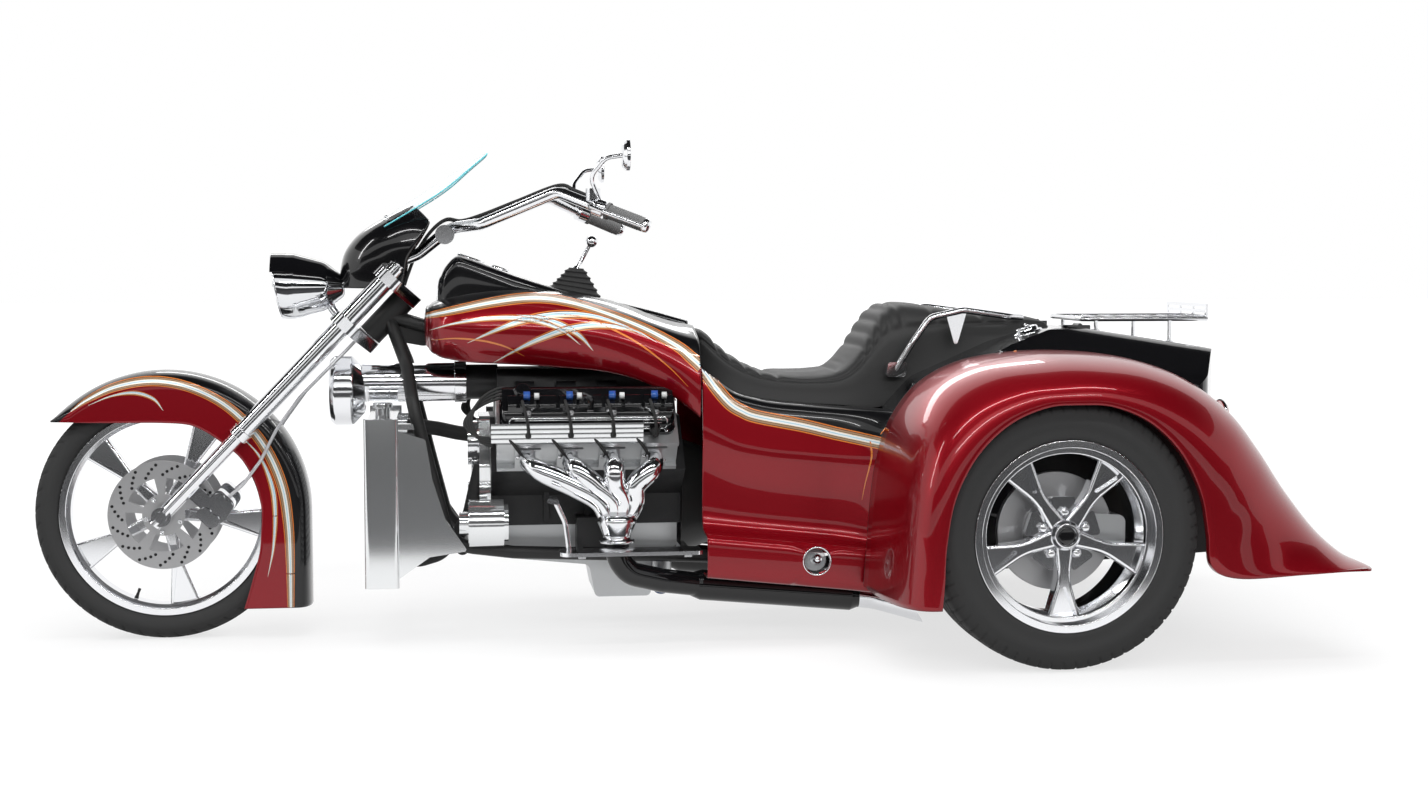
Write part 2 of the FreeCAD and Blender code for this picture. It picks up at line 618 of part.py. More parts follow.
def handlebar():
    """Risers from the upper tree, pulled-back bars, clutch and brake levers on their perches."""
    knee, tip = V(542, 330, 300), V(672, 388, 248)
    along = (tip - knee).normalize()
    ahead = V(-0.408, 0.913, 0)
    riser = HEAD * -1 + fork_point(-30, 50, UPPER_TREE_U + TREE_T - 6)
    bar = pipe([riser, V(87, 50, 172), V(177, 56, 244), V(257, 150, 254), V(457, 262, 337), knee, tip], BAR_R, 60)
    clamp = rod(V(160, 40, 226), V(160, 92, 226), 26)
    boss = rod(riser, riser + (V(87, 50, 172) - riser).normalize() * 30, 24)
    perch = rod(knee + along * 8, knee + along * 36, BAR_R + 8)
    arm = rod(knee + along * 20, knee + along * 14 + ahead * 48, 9)
    reservoir = rod(knee + along * 2 + V(0, 0, 14), knee + along * 2 + V(0, 0, 44), 19)
    lever = pipe([knee + along * 12 + ahead * 46, knee + along * 60 + ahead * 56, knee + along * 165 + ahead * 44],
                 5.5, 60)
    half = fuse([bar, clamp, boss, perch, arm, reservoir, lever])
    bridge = rod(V(160, -60, 226), V(160, 60, 226), 14)
    node("handlebar", [fuse(both(half) + [bridge])], HEAD)
    start = knee + along * 42
    sleeve = ring([(0, BAR_R, 0), (0, BAR_R + GRIP_T + 4, 1), (8, BAR_R + GRIP_T + 4, 1), (8, BAR_R + GRIP_T, 0),
                   ((tip - start).Length, BAR_R + GRIP_T, 2), ((tip - start).Length, BAR_R, 0)], V(0, 0, 0), Z_AXIS)
    sleeve.Placement = FreeCAD.Placement(start, FreeCAD.Rotation(Z_AXIS, along))
    node("grips", both(sleeve), HEAD)
    stem = pipe([knee + along * 22 + V(0, 0, BAR_R + 4), V(534, 362, 372), V(572, 400, 420), V(617, 420, 426)], 6, 40)
    glass = ring([(0, 0, 0), (0, 30, 12), (12, 41, 4), (20, 41, 1), (20, 38, 0), (18, 38, 0), (18, 0, 0)],
                 V(611, 420, 426), X_AXIS)
    node("mirrors", both(fuse([stem, glass])), HEAD)


# ---------------------------------------------------------------- chassis
def frame_tubes(extra):
    """Frame tubes, each fattened by an extra radius where the same route clears another piece."""
    neck = rod(fork_point(FORK_OFFSET, 0, LOWER_TREE_U + TREE_T + NECK_GAP),
               fork_point(FORK_OFFSET, 0, UPPER_TREE_U - NECK_GAP), NECK_R + extra)
    tubes = [neck]
    radius = RAIL_R + extra
    back = REAR.x + BULKHEAD - SHELL - CROSS_R
    for side in (-1, 1):
        y = side * RAIL_Y
        low = head_point(10, side * 16, -10)
        tubes.append(pipe([low, bay_point(-222, side * 90, 375), bay_point(-205, y, 275), bay_point(-162, y, 100),
                           bay_point(-110, y, -103), bay_point(60, y, -125), bay_point(580, y, -146),
                           bay_point(930, y, -175), bay_point(1060, y, -65), bay_point(1200, y, 105),
                           V(back, y, BAY.z + 105)], radius, 90))
        tubes.append(pipe([head_point(14, side * 12, 0), bay_point(-60, side * 40, 450), bay_point(500, side * 50, 425),
                           bay_point(610, side * 90, 235), bay_point(830, side * 150, 205),
                           bay_point(1200, side * 190, 105)], radius, 90))
    for x, z in ((-78, -113), (690, -155), (1200, 105)):
        tubes.append(rod(bay_point(x, -RAIL_Y, z), bay_point(x, RAIL_Y, z), radius))
    tubes.append(rod(V(back, -BODY_Y, BAY.z + 105), V(back, BODY_Y, BAY.z + 105), CROSS_R + extra))
    return tubes


def neck_gusset(half):
    """Plate between the steering head and the backbone tubes."""
    plate = prism_y([(-262, 440, 0), (-244, 520, 8), (-60, 462, 20), (-60, 436, 10), (-180, 425, 30)], -half, half)
    plate.translate(BAY)
    return plate


def frame():
    """Neck, two down tubes that run on as lower rails, twin backbone, cross tubes and gusset."""
    solid = fuse(frame_tubes(0) + [neck_gusset(GUSSET_T / 2)])
    bore = rod(fork_point(FORK_OFFSET, 0, LOWER_TREE_U), fork_point(FORK_OFFSET, 0, UPPER_TREE_U + 40),
               STEM_R + SEAT_GAP)
    node("frame", [solid.cut(bore)])


def banked(side, shape):
    """Turns a shape from a cylinder bank's own axes (crank line, across, up the bores)."""
    placed = shape.copy()
    turn = FreeCAD.Placement(V(0, 0, 0), FreeCAD.Rotation(X_AXIS, -side * BANK_ANGLE))
    placed.Placement = turn.multiply(placed.Placement)
    return placed


def bank_top(side):
    """One head, its valve cover and the two coil rails on the cover's outer shoulder."""
    shift = 0 if side < 0 else 12
    front, back = 14 + shift, ENGINE_LENGTH - 26 + shift
    half = HEAD_WIDTH / 2
    top = DECK_HEIGHT + HEAD_HEIGHT
    head = box(front, back, -half, half, DECK_HEIGHT, top)
    ports = []
    for index in range(4):
        x = FIRST_PORT + index * BORE_PITCH
        ports.append(box(x - 34, x + 34, side * (half - 30), side * half, DECK_HEIGHT + 10, DECK_HEIGHT + 88))
    relief = box(front - 1, back + 1, side * (half - 14), side * (half + 1), DECK_HEIGHT + 12, top - 14)
    head = fuse([head.cut(relief)] + ports)

    wide = COVER_WIDTH / 2
    x0, x1 = front + 8, back - 8
    flange = prism_z([(x0, -wide - 7, 22), (x1, -wide - 7, 22), (x1, wide + 7, 22), (x0, wide + 7, 22)],
                     top, top + COVER_FLANGE)
    dome = prism_x([(-wide, top, 0), (wide, top, 0), (wide - 6, top + COVER_HEIGHT, 20),
                    (-wide + 6, top + COVER_HEIGHT, 20)], x0 + 6, x1 - 6)
    dome = dome.common(prism_z([(x0 + 6, -wide, 26), (x1 - 6, -wide, 26), (x1 - 6, wide, 26), (x0 + 6, wide, 26)],
                               top, top + COVER_HEIGHT + 1))
    seam = prism_z([(x0 + 3, -wide - 3, 24), (x1 - 3, -wide - 3, 24), (x1 - 3, wide + 3, 24), (x0 + 3, wide + 3, 24)],
                   top + COVER_HEIGHT * 0.45, top + COVER_HEIGHT * 0.52)
    caps = []
    for index in range(4):
        x = FIRST_PORT + index * BORE_PITCH
        caps.append(rod(V(x, side * (wide - 10), top + COVER_HEIGHT * 0.3),
                        V(x, side * (wide + 8), top + COVER_HEIGHT * 0.3), 15))
    filler = ring([(-12, 0, 0), (-12, 24, 0), (10, 24, 2), (18, 19, 3), (18, 0, 0)],
                  V(x0 + 60, -side * 22, top + COVER_HEIGHT), Z_AXIS)
    cover = fuse([flange, dome, seam] + caps + [filler])

    rail_w, rail_h = COIL_RAIL
    base = top + COVER_HEIGHT
    rails = []
    for start in (x0 + 20, x0 + 20 + 2 * BORE_PITCH):
        end = start + 2 * BORE_PITCH - 16
        bar = prism_x([(side * 4, base, 0), (side * (4 + rail_w), base, 0), (side * (4 + rail_w), base + rail_h, 8),
                       (side * 4, base + rail_h, 8)], start, end)
        slots = []
        for index in range(4):
            x = start + 26 + index * (end - start - 52) / 3
            slots.append(box(x - 5, x + 5, side * 3, side * (5 + rail_w), base + rail_h - 7, base + rail_h + 1))
        rails.append(bar.cut(slots))
    return head, cover, rails


def engine():
    """Block with the two decks of its V, heads, valve covers and coil rails."""
    s = math.sin(BANK)
    half = HEAD_WIDTH / 2
    deck_low = (DECK_HEIGHT * s + half * s, DECK_HEIGHT * s - half * s)
    deck_high = (DECK_HEIGHT * s - half * s, DECK_HEIGHT * s + half * s)
    outline = even([(118, -62, 0), (118, 20, 0), (*deck_low, 0), (*deck_high, 0)])
    parts = [prism_x(outline, 0, ENGINE_LENGTH)]
    for side in (-1, 1):
        parts.append(box(230, 310, side * 100, side * RAIL_Y, -129, -35))
        for index in range(3):
            x = FIRST_PORT + (index + 0.5) * BORE_PITCH
            parts.append(prism_y([(x - 7, -50, 0), (x - 7, 60, 0), (x + 7, 60, 0), (x + 7, -50, 0)],
                                 side * 100, side * 132))
    node("engine_block", [fuse(parts)], BAY)
    heads, covers, rails = [], [], []
    for side in (-1, 1):
        head, cover, pair = bank_top(side)
        heads.append(banked(side, head))
        covers.append(banked(side, cover))
        rails += [banked(side, rail) for rail in pair]
    node("cylinder_heads", heads, BAY)
    node("valve_covers", covers, BAY)
    node("coil_rails", rails, BAY)


def header(side):
    """Four chrome primaries from the port flange, gathered into one collector."""
    s = math.sin(BANK)
    along = DECK_HEIGHT + PORT_HEIGHT
    reach = HEAD_WIDTH / 2
    port_y = along * s + reach * s
    port_z = along * s - reach * s
    collector = V(327, EXHAUST_Y, -47)
    parts = []
    for index in range(4):
        x = FIRST_PORT + index * BORE_PITCH
        lane = index - 1.5
        port = V(x, port_y - 6 * s, port_z + 6 * s)
        elbow = V(x, port_y + 44 * s, port_z - 44 * s)
        sweep = V(x + (collector.x - x) * 0.22, EXHAUST_Y + 14, port_z - 62)
        parts.append(pipe([port, elbow, sweep, V(collector.x + lane * 27, EXHAUST_Y + 4, 22),
                           V(collector.x + lane * 17, EXHAUST_Y, -30)], PRIMARY_R, 48))
    parts.append(ring([(0, 0, 0), (0, 50, 4), (18, 50, 2), (52, EXHAUST_R + 3, 6), (62, EXHAUST_R + 3, 0),
                       (62, EXHAUST_R + 12, 2), (70, EXHAUST_R + 12, 2), (70, 0, 0)], collector + V(0, 0, 30),
                      V(0, 0, -1)))
    plate = box(FIRST_PORT - 45, FIRST_PORT + 3 * BORE_PITCH + 45, reach, reach + 9,
                along - 26, along + 26)
    for index in range(3):
        x = FIRST_PORT + (index + 0.5) * BORE_PITCH
        plate = plate.cut(box(x - 16, x + 16, reach - 1, reach + 10, along - 30, along - 8))
    parts.append(banked(1, plate))
    shape = fuse(parts)
    return shape if side > 0 else mirrored(shape)


def exhaust(side):
    """Pipe from the collector, muffler under the running board and a hollow slash-cut tip."""
    run = pipe([V(327, EXHAUST_Y, -86), V(330, EXHAUST_Y, -128), V(360, EXHAUST_Y - 4, -170),
                V(450, EXHAUST_Y - 30, -195), V(562, MUFFLER_Y, -215)], EXHAUST_R, 60)
    head, tail = V(560, MUFFLER_Y, -215), V(970, MUFFLER_Y, -253)
    flow = (tail - head).normalize()
    muffler = fuse([cone(head - flow * 26, head, EXHAUST_R, MUFFLER_R), rod(head, tail, MUFFLER_R),
                    cone(tail, tail + flow * 24, MUFFLER_R, EXHAUST_R - 2)])
    tip_path = [tail, V(1040, MUFFLER_Y + 4, -262), V(1165, EXHAUST_Y, -291)]
    tip = pipe(tip_path, EXHAUST_R - 2, 80)
    bore = rod(tip_path[1] + (tip_path[2] - tip_path[1]) * 0.35, tip_path[2] + (tip_path[2] - tip_path[1]) * 0.2,
               EXHAUST_R - 6)
    slash = box(0, 120, -80, 80, -80, 80)
    slash.rotate(V(0, 0, 0), Y_AXIS, -32)
    slash.translate(tip_path[2] - V(26, 0, 0))
    shape = fuse([run, muffler, tip]).cut(fuse([bore, slash]))
    return shape if side > 0 else mirrored(shape)


def sump():
    pan = prism_y([(20, -62, 0), (510, -62, 0), (510, -125, 14), (440, -165, 20), (438, -265, 14),
                   (285, -265, 14), (268, -175, 20), (20, -150, 20)], -112, 112)
    oil_filter = ring([(0, 0, 0), (0, 40, 0), (76, 40, 6), (84, 30, 0), (84, 0, 0)], V(460, -70, -165),
                      V(0, 0, -1))
    node("oil_pan", [fuse([pan, oil_filter])], BAY)


def intake():
    """Plenum with its runners in the valley, throttle body, chrome duct and air cleaner."""
    plenum = prism_x(even([(62, 262, 0), (96, 300, 20), (88, 363, 26)]), 20, ENGINE_LENGTH - 70)
    runners = []
    for side in (-1, 1):
        for index in range(4):
            x = FIRST_PORT + index * BORE_PITCH
            if x + 34 < ENGINE_LENGTH - 70:
                runners.append(prism_x([(side * 60, 215, 0), (side * 60, 330, 20), (side * 118, 330, 20),
                                        (side * 150, 250, 16), (side * 120, 205, 0)], x - 26, x + 26))
    valley = prism_x(even([(96, 186, 0), (110, 232, 0), (62, 268, 0)]), 14, ENGINE_LENGTH - 50)
    throttle = rod(V(-62, 0, 324), V(24, 0, 324), INTAKE_R - 5)
    node("intake_manifold", [fuse([plenum, valley, throttle] + runners)], BAY)
    duct = ring([(0, 0, 0), (0, INTAKE_R, 0), (250, INTAKE_R, 0), (250, INTAKE_R + 4, 1), (282, INTAKE_R + 4, 1),
                 (282, 0, 0)], V(-344, 0, 324), X_AXIS)
    housing = ring([(0, 0, 0), (0, 84, 14), (14, 95, 8), (62, 95, 12), (96, 58, 16), (96, 0, 0)], V(-432, 0, 303),
                   X_AXIS)
    node("air_intake", [fuse([duct, housing])], BAY)


def accessory_drive():
    """Front cover, damper, water pump, tensioner and the alternator low on the left side."""
    # x from, x to, y, z, radius
    turned = ((-48, 0, 0, 0, 84), (-60, -48, 0, 0, 46), (-34, 0, 0, 155, 74), (-60, -34, 0, 155, 62),
              (-48, 0, 150, 60, 42), (-52, -18, 118, 150, 30), (-60, 32, -205, -43, 64),
              (-86, -56, -205, -43, 31), (-62, -52, -205, -43, 56), (32, 44, -205, -43, 50))
    parts = [rod(V(x0, y, z), V(x1, y, z), radius) for x0, x1, y, z, radius in turned]
    grooves = [ring([(x, 74, 0), (x + 5, 74, 0), (x + 5, 90, 0), (x, 90, 0)], V(0, 0, 0), X_AXIS)
               for x in (-42, -30, -18)]
    cover = prism_x(even([(118, -60, 20), (150, 105, 20), (90, 235, 20)]), -30, 0)
    bracket = box(-10, 20, -200, -100, -30, 10)
    node("accessory_drive", [fuse(parts + [cover, bracket]).cut(grooves)], BAY)


def driveline():
    """Bell housing, gearbox, propeller shaft, differential and axle housing with its bores."""
    bell = cone(bay_point(520, 0, 0), bay_point(670, 0, 0), 165, 110)
    box_body = prism_x(even([(110, -95, 20), (110, 85, 30)]), 660, 970)
    box_body.translate(BAY)
    ribs = [box(x, x + 10, -116, 116, -80, 70) for x in (720, 800, 880)]
    ribs = [rib.translate(BAY) for rib in ribs]
    axle = V(REAR.x, 0, REAR_TYRE_R)
    shaft = rod(bay_point(960, 0, -5), axle + V(-110, 0, 4), 34)
    pinion = cone(axle + V(-130, 0, 4), axle + V(-60, 0, 2), 50, 80)
    diff = ring([(-150, 0, 0), (-150, 70, 20), (-60, 130, 40), (60, 130, 40), (150, 70, 20), (150, 0, 0)], axle)
    housing = rod(axle - V(0, HOUSING_END, 0), axle + V(0, HOUSING_END, 0), HOUSING_R)
    bores = [rod(axle + V(0, s * (HOUSING_END - STUB_LENGTH - SEAT_GAP), 0), axle + V(0, s * (HOUSING_END + 1), 0),
                 STUB_R + SEAT_GAP) for s in (-1, 1)]
    line = fuse([bell, box_body, shaft, pinion, diff, housing] + ribs)
    node("driveline", [line.cut(Part.makeCompound(bores))])
    node("rear_brakes", [rear_brake(-1), rear_brake(1)])


def suspension():
    """Air springs between the axle and the upper rails, with a trailing arm ahead of each."""
    parts = []
    for side in (-1, 1):
        foot = V(REAR.x, side * RAIL_Y, REAR_TYRE_R)
        height = BAY.z + 105 - REAR_TYRE_R
        spring = ring([(25, 0, 0), (25, 30, 0), (40, 46, 8), (height * 0.5, 46, 6), (height * 0.55, 40, 0),
                       (height * 0.6, 46, 6), (height, 46, 6), (height, 0, 0)], foot, Z_AXIS)
        arm = rod(foot + V(-320, 0, -21), foot + V(0, 0, -10), 14)
        parts += [spring, arm]
    node("rear_suspension", parts)


def radiator():
    """Cross-flow radiator with finned core, end tanks, cap and brackets to the down tubes."""
    core = box(-328, -250, -262, 262, -195, 235)
    rows = [box(-329, -322, -240, 240, z, z + 10) for z in range(-180, 220, 20)]
    tanks = [prism_z([(-334, s * 236, 0), (-244, s * 236, 0), (-244, s * 270, 14), (-334, s * 270, 14)], -205, 243)
             for s in (-1, 1)]
    cap_neck = ring([(0, 0, 0), (0, 20, 0), (24, 20, 0), (24, 27, 2), (38, 27, 4), (38, 0, 0)], V(-289, -60, 235),
                    Z_AXIS)
    outlets = [rod(V(-252, 90, 195), V(-226, 90, 195), 17), rod(V(-252, -90, -155), V(-226, -90, -155), 17)]
    arms = []
    for side in (-1, 1):
        y0, y1 = side * (RAIL_Y - 12), side * (RAIL_Y + 12)
        arms += [box(-260, -190, y0, y1, 210, 225), box(-260, -100, y0, y1, -109, -97)]
    node("radiator", [fuse([core.cut(rows)] + tanks + [cap_neck] + outlets + arms)], BAY)
    cowl = prism_y([(-244, 210, 0), (-173, 188, 10), (-156, 82, 60), (-123, -24, 60), (-64, -111, 6),
                    (-164, -125, 6), (-244, -181, 0)], 249, 255)
    node("radiator_cowls", both(cowl), BAY)
    # top hose to the water pump, bottom hose to its inlet
    hoses = [pipe([V(-226, 90, 195), V(-190, 90, 195), V(-140, 84, 188), V(-90, 66, 178), V(-45, 52, 172)], 20, 60),
             pipe([V(-226, -90, -155), V(-190, -90, -155), V(-140, -94, -140), V(-90, -100, -90),
                   V(-56, -102, -30), V(-40, -100, 40), V(-25, -90, 100)], 20, 60)]
    node("radiator_hoses", hoses, BAY)


# ---------------------------------------------------------------- body
def tank_section(x, top, top_z, wide, wide_z, low, low_z):
    """Closed cross-section: flat crown, a round shoulder and flank on each side, flat underside."""
    def half(side):
        shoulder = V(x, side * (top + (wide - top) * 0.75), wide_z + (top_z - wide_z) * 0.72)
        flank = V(x, side * ((wide + low) / 2 + 10), (wide_z + low_z) / 2)
        return (V(x, side * top, top_z), shoulder, V(x, side * wide, wide_z), flank, V(x, side * low, low_z))

    left, right = half(-1), half(1)
    edges = [Part.LineSegment(left[0], right[0]).toShape(), Part.Arc(*right[0:3]).toShape(),
             Part.Arc(*right[2:5]).toShape(), Part.LineSegment(right[4], left[4]).toShape(),
             Part.Arc(left[4], left[3], left[2]).toShape(), Part.Arc(left[2], left[1], left[0]).toShape()]
    return Part.Wire(edges)


# x, crown half width and height, widest half width and height, underside half width and height
TANK = ((-176, 95, 530, 150, 495, 110, 450), (-145, 110, 547, 200, 485, 150, 410),
        (-60, 110, 565, 232, 485, 190, 392), (100, 110, 577, 242, 485, 205, 385),
        (300, 115, 555, 250, 470, 225, 363), (440, 120, 510, 268, 425, 255, 307),
        (558, 130, 480, 296, 370, 299, 244))


def tank():
    """Long tank that widens into the body, hollowed below for the engine and the backbone."""
    body = Part.makeLoft([tank_section(*row) for row in TANK], True, True)
    over_engine = prism_x(even([(380, 135, 0), (380, 275, 0), (262, 357, 0), (150, 383, 0)]), -140, 540)
    body = body.cut(over_engine)
    body.translate(BAY)
    nose = box(-400, -60, -GUSSET_T / 2 - TUBE_GAP, GUSSET_T / 2 + TUBE_GAP, 300, 552)
    nose.translate(BAY)
    body = body.cut(frame_tubes(TUBE_GAP) + [nose])
    node("tank", [largest(body)])


def console():
    """Black instrument nacelle that runs down the middle of the tank, with the shifter behind."""
    side = prism_y([(-139, 520, 0), (-132, 590, 20), (-83, 671, 14), (89, 612, 60), (199, 575, 60), (310, 555, 60),
                    (450, 520, 60), (548, 492, 0), (548, 440, 0), (440, 470, 0), (100, 530, 0)], -130, 130)
    plan = prism_z([(-145, -70, 40), (-80, -104, 60), (170, -92, 150), (549, -58, 0), (549, 58, 0),
                    (170, 92, 150), (-80, 104, 60), (-145, 70, 40)], 400, 700)
    body = side.common(plan)
    body.translate(BAY)
    body = body.cut(NODES["tank"])
    node("console", [largest(body)])
    # rings of the boot: middle x, half length, half width, height of front edge, height of back edge
    rings = ((238, 84, 62, 578, 540), (240, 70, 52, 604, 586), (243, 46, 36, 618, 606), (244, 30, 26, 634, 626))
    sections = []
    for x, length, width, front, back in rings:
        corners = [(x - length, -width, 12), (x + length, -width, 12), (x + length, width, 12),
                   (x - length, width, 12)]
        slope = (back - front) / (2 * length)
        sections.append(rounded_wire(corners, lambda p, x=x, f=front, s=slope, w=length:
                                     V(p.x, p.y, f + (p.x - x + w) * s)))
    boot = Part.makeLoft(sections, True, True)
    lever = rod(V(241, 0, 620), V(285, 0, 707), 6)
    ball = Part.makeSphere(17, V(288, 0, 715))
    node("shifter", [fuse([boot, lever, ball])], BAY)


def tub_blank(inset):
    """Body side outline drawn through, its long upper edges rounded."""
    front, rear = BODY_FRONT, BODY_REAR - inset
    half = BODY_Y - inset
    outline = [(front, 176, 0), (front, 740 - inset, 0), (front + 88, 674 - inset, 40),
               (front + 285, 637 - inset, 200), (rear, 622 - inset, 0), (rear, 210, 0),
               (front + STEP_LENGTH, 130, 0)]
    solid = prism_y(outline, -half, half)
    upper = [e for e in solid.Edges if e.BoundBox.YLength < 0.1 and abs(e.CenterOfMass.z) > 600 - inset
             and e.BoundBox.XLength > 1]
    return solid.makeFillet(BODY_ROUND - inset, upper)


def step_box(side):
    """Foot box that stands out below the body side, open below, with a round lamp recess."""
    front, rear = BODY_FRONT, BODY_FRONT + STEP_LENGTH
    tray = prism_y([(front, 192, 0), (front, 306, 0), (rear, 259, 0), (rear, 145, 0)], side * (BODY_Y - SHELL),
                   side * STEP_Y)
    long_edges = [e for e in tray.Edges if abs(e.CenterOfMass.y - side * STEP_Y) < 0.1 and e.BoundBox.XLength > 1]
    tray = tray.makeFillet(STEP_ROUND, long_edges)
    hollow = prism_y([(front + SHELL, 130, 0), (front + SHELL, 299, 0), (rear - SHELL, 252, 0),
                      (rear - SHELL, 90, 0)], side * (BODY_Y - SHELL - 1), side * (STEP_Y - STEP_ROUND))
    pocket = rod(V(front + 293, side * (STEP_Y - 44), 230), V(front + 293, side * (STEP_Y + 1), 230), MARKER_R)
    cup = rod(V(front + 293, side * (STEP_Y - 50), 230), V(front + 293, side * (STEP_Y - 8), 230),
              MARKER_R + SHELL)
    return fuse([tray.cut(hollow), cup]).cut(pocket)


def cove(side):
    """Concave corner that carries the body side round into the front of the rear fender."""
    reach = 150.0
    corner_x = BODY_FRONT + STEP_LENGTH + 30
    start, end = V(corner_x - reach, BODY_Y, 0), V(corner_x, BODY_Y + reach, 0)
    middle = V(corner_x - reach, BODY_Y + reach, 0) + V(1, -1, 0) * (reach / math.sqrt(2))
    inner = V(corner_x, BODY_Y, 0)
    base = V(0, 0, 160)
    edges = [Part.Arc(start + base, middle + base, end + base).toShape(),
             Part.LineSegment(end + base, inner + V(0, -8, 0) + base).toShape(),
             Part.LineSegment(inner + V(0, -8, 0) + base, start + V(0, -8, 0) + base).toShape(),
             Part.LineSegment(start + V(0, -8, 0) + base, start + base).toShape()]
    shape = Part.Face(Part.Wire(edges)).extrude(V(0, 0, 440))
    return shape if side > 0 else mirrored(shape)


def body_tub():
    """Red body under the front seat: open front and floor, foot boxes and coves to the fenders."""
    outer = tub_blank(0)
    front, rear = BODY_FRONT, BODY_REAR
    half = BODY_Y - SHELL
    cavity = fuse([tub_blank(SHELL), box(front - 40, front + 60, -half + BODY_ROUND, half - BODY_ROUND, 100, 640),
                   box(front - 40, rear - SHELL, -half, half, 60, 560)])
    passage = box(rear - 20, rear + 5, -235, 235, 100, 590)
    shell = outer.cut(fuse([cavity, passage]))
    fenders = [fender_blank(0), mirrored(fender_blank(0))]
    parts = [shell]
    for side in (-1, 1):
        parts += [step_box(side), cove(side).cut(fenders)]
    node("body_tub", [fuse(parts)], REAR)
    lenses = []
    for side in (-1, 1):
        centre = V(front + 293, side * (STEP_Y - 44), 230)
        lenses.append(ring([(0, 0, 0), (0, MARKER_R - 4, 0), (side * 10, MARKER_R - 4, 3), (side * 14, 12, 0),
                            (side * 14, 0, 0)], centre))
    node("side_lamps", lenses, REAR)


def floorboards():
    """Running boards on brackets from the lower rails, with an upright pedal on each side."""
    board = prism_z([(170, 362, 8), (540, 362, 8), (540, 452, 14), (170, 452, 30)], -103, -93)
    arms = [box(x, x + 20, RAIL_Y, 380, -119, -103) for x in (220, 500)]
    post = pipe([V(196, 392, -96), V(186, 392, -20), V(158, 396, 40)], 7, 60)
    pad = prism_y([(136, 36, 4), (166, 30, 4), (170, 42, 4), (140, 48, 4)], 366, 430)
    node("floorboards", both(fuse([board, post, pad] + arms)), BAY)


# x, half width, top, bottom, shoulder radius: the saddle, the step up and the rear seat
SEAT = ((-850, 128, 850, 745, 26), (-760, 176, 787, 640, 44), (-650, 190, 733, 600, 44),
        (-455, 190, 737, 600, 44), (-392, 190, 800, 600, 44), (-330, 188, 905, 600, 40),
        (-290, 186, 918, 600, 40), (-100, 180, 890, 600, 40), (75, 172, 877, 760, 34), (168, 150, 853, 780, 22))


def seat():
    """Two-up seat, plain and closed, seated on the body and the front deck."""
    sections = []
    for x, half, top, bottom, radius in SEAT:
        corners = [(half, bottom, 10), (half, top, radius), (-half, top, radius), (-half, bottom, 10)]
        sections.append(rounded_wire(corners, lambda p, x=x: V(x, p.x, p.y)))
    cushion = Part.makeLoft(sections, True, True)
    deck = prism_y(deck_outline(), -FENDER_INNER_Y, FENDER_INNER_Y)
    cushion = cushion.cut(fuse([deck, tub_blank(0)]))
    node("seat", [largest(cushion)], REAR)
    rail = pipe([V(-306, 206, 726), V(-262, 218, 800), V(-214, 222, 868), V(-120, 216, 888), V(10, 205, 870),
                 V(58, 168, 866)], 9, 40)
    foot = prism_y([(-334, 706, 8), (-280, 706, 8), (-274, 746, 8), (-328, 746, 8)], 184, 214)
    tab = prism_y([(-170, 884, 0), (-110, 884, 0), (-140, 780, 6)], 210, 217)
    node("grab_rails", both(fuse([rail, foot, tab])), REAR)
    slope = V(-0.283, 0, 0.959)
    base = V(52, -252, 826)
    cap = fuse([rod(base - slope * 6, base + slope * 5, 40), rod(base, base + slope * 13, 31)])
    node("fuel_cap", [cap], REAR)


def deck_outline():
    """Side outline of the deck between the fenders, over the rear seat and round the boot."""
    return [(BODY_REAR, 440, 0), (BODY_REAR, 610, 20), (-260, 705, 100), (-39, 800, 100), (90, DECK_Z, 60),
            (LID_AHEAD, DECK_Z, 60), (530, 788, 60), (TAIL_X - 8, 769, 16), (TAIL_X - 22, 640, 60),
            (TAIL_X - 55, 330, 30), (BULKHEAD, 330, 10), (BULKHEAD, 440, 0)]


def deck_plan():
    """Plan of the deck, bowed behind and drawn in to the fenders' inner faces."""
    half = FENDER_INNER_Y
    return [(BODY_REAR - 10, -half, 0), (TAIL_X - 140, -half, 60), (TAIL_X - 62, -LID_Y, 300), (TAIL_X, 0, 700),
            (TAIL_X - 62, LID_Y, 300), (TAIL_X - 140, half, 60), (BODY_REAR - 10, half, 0)]


def deck_arch():
    """Cross section of the deck at the lid's hinge, with shoulders that fall to the fenders."""
    return even([(FENDER_INNER_Y, 200, 0), (FENDER_INNER_Y, DECK_Z - 96, 60), (LID_Y + 38, DECK_Z + 1, 90)])


def deck_blank(inset):
    """Solid of the deck and boot, with every face drawn in by the inset."""
    start = BODY_REAR - 10
    views = ((deck_outline(), lambda p: V(p.x, -FENDER_INNER_Y, p.y), V(0, 2 * FENDER_INNER_Y, 0)),
             (deck_plan(), lambda p: V(p.x, p.y, 200), Z_AXIS * 800),
             (deck_arch(), lambda p: V(start, p.x, p.y + (LID_AHEAD - start) * DECK_FALL), V(1, 0, -DECK_FALL) * 1100))
    solid = None
    for corners, to3d, run in views:
        face = Part.Face(rounded_wire(corners, to3d))
        if inset:
            face = face.makeOffset2D(-inset)
        prism = face.extrude(run)
        solid = prism if solid is None else solid.common(prism)
    return solid.common(box(start, 700, inset - FENDER_INNER_Y, FENDER_INNER_Y - inset, 0, 1000))


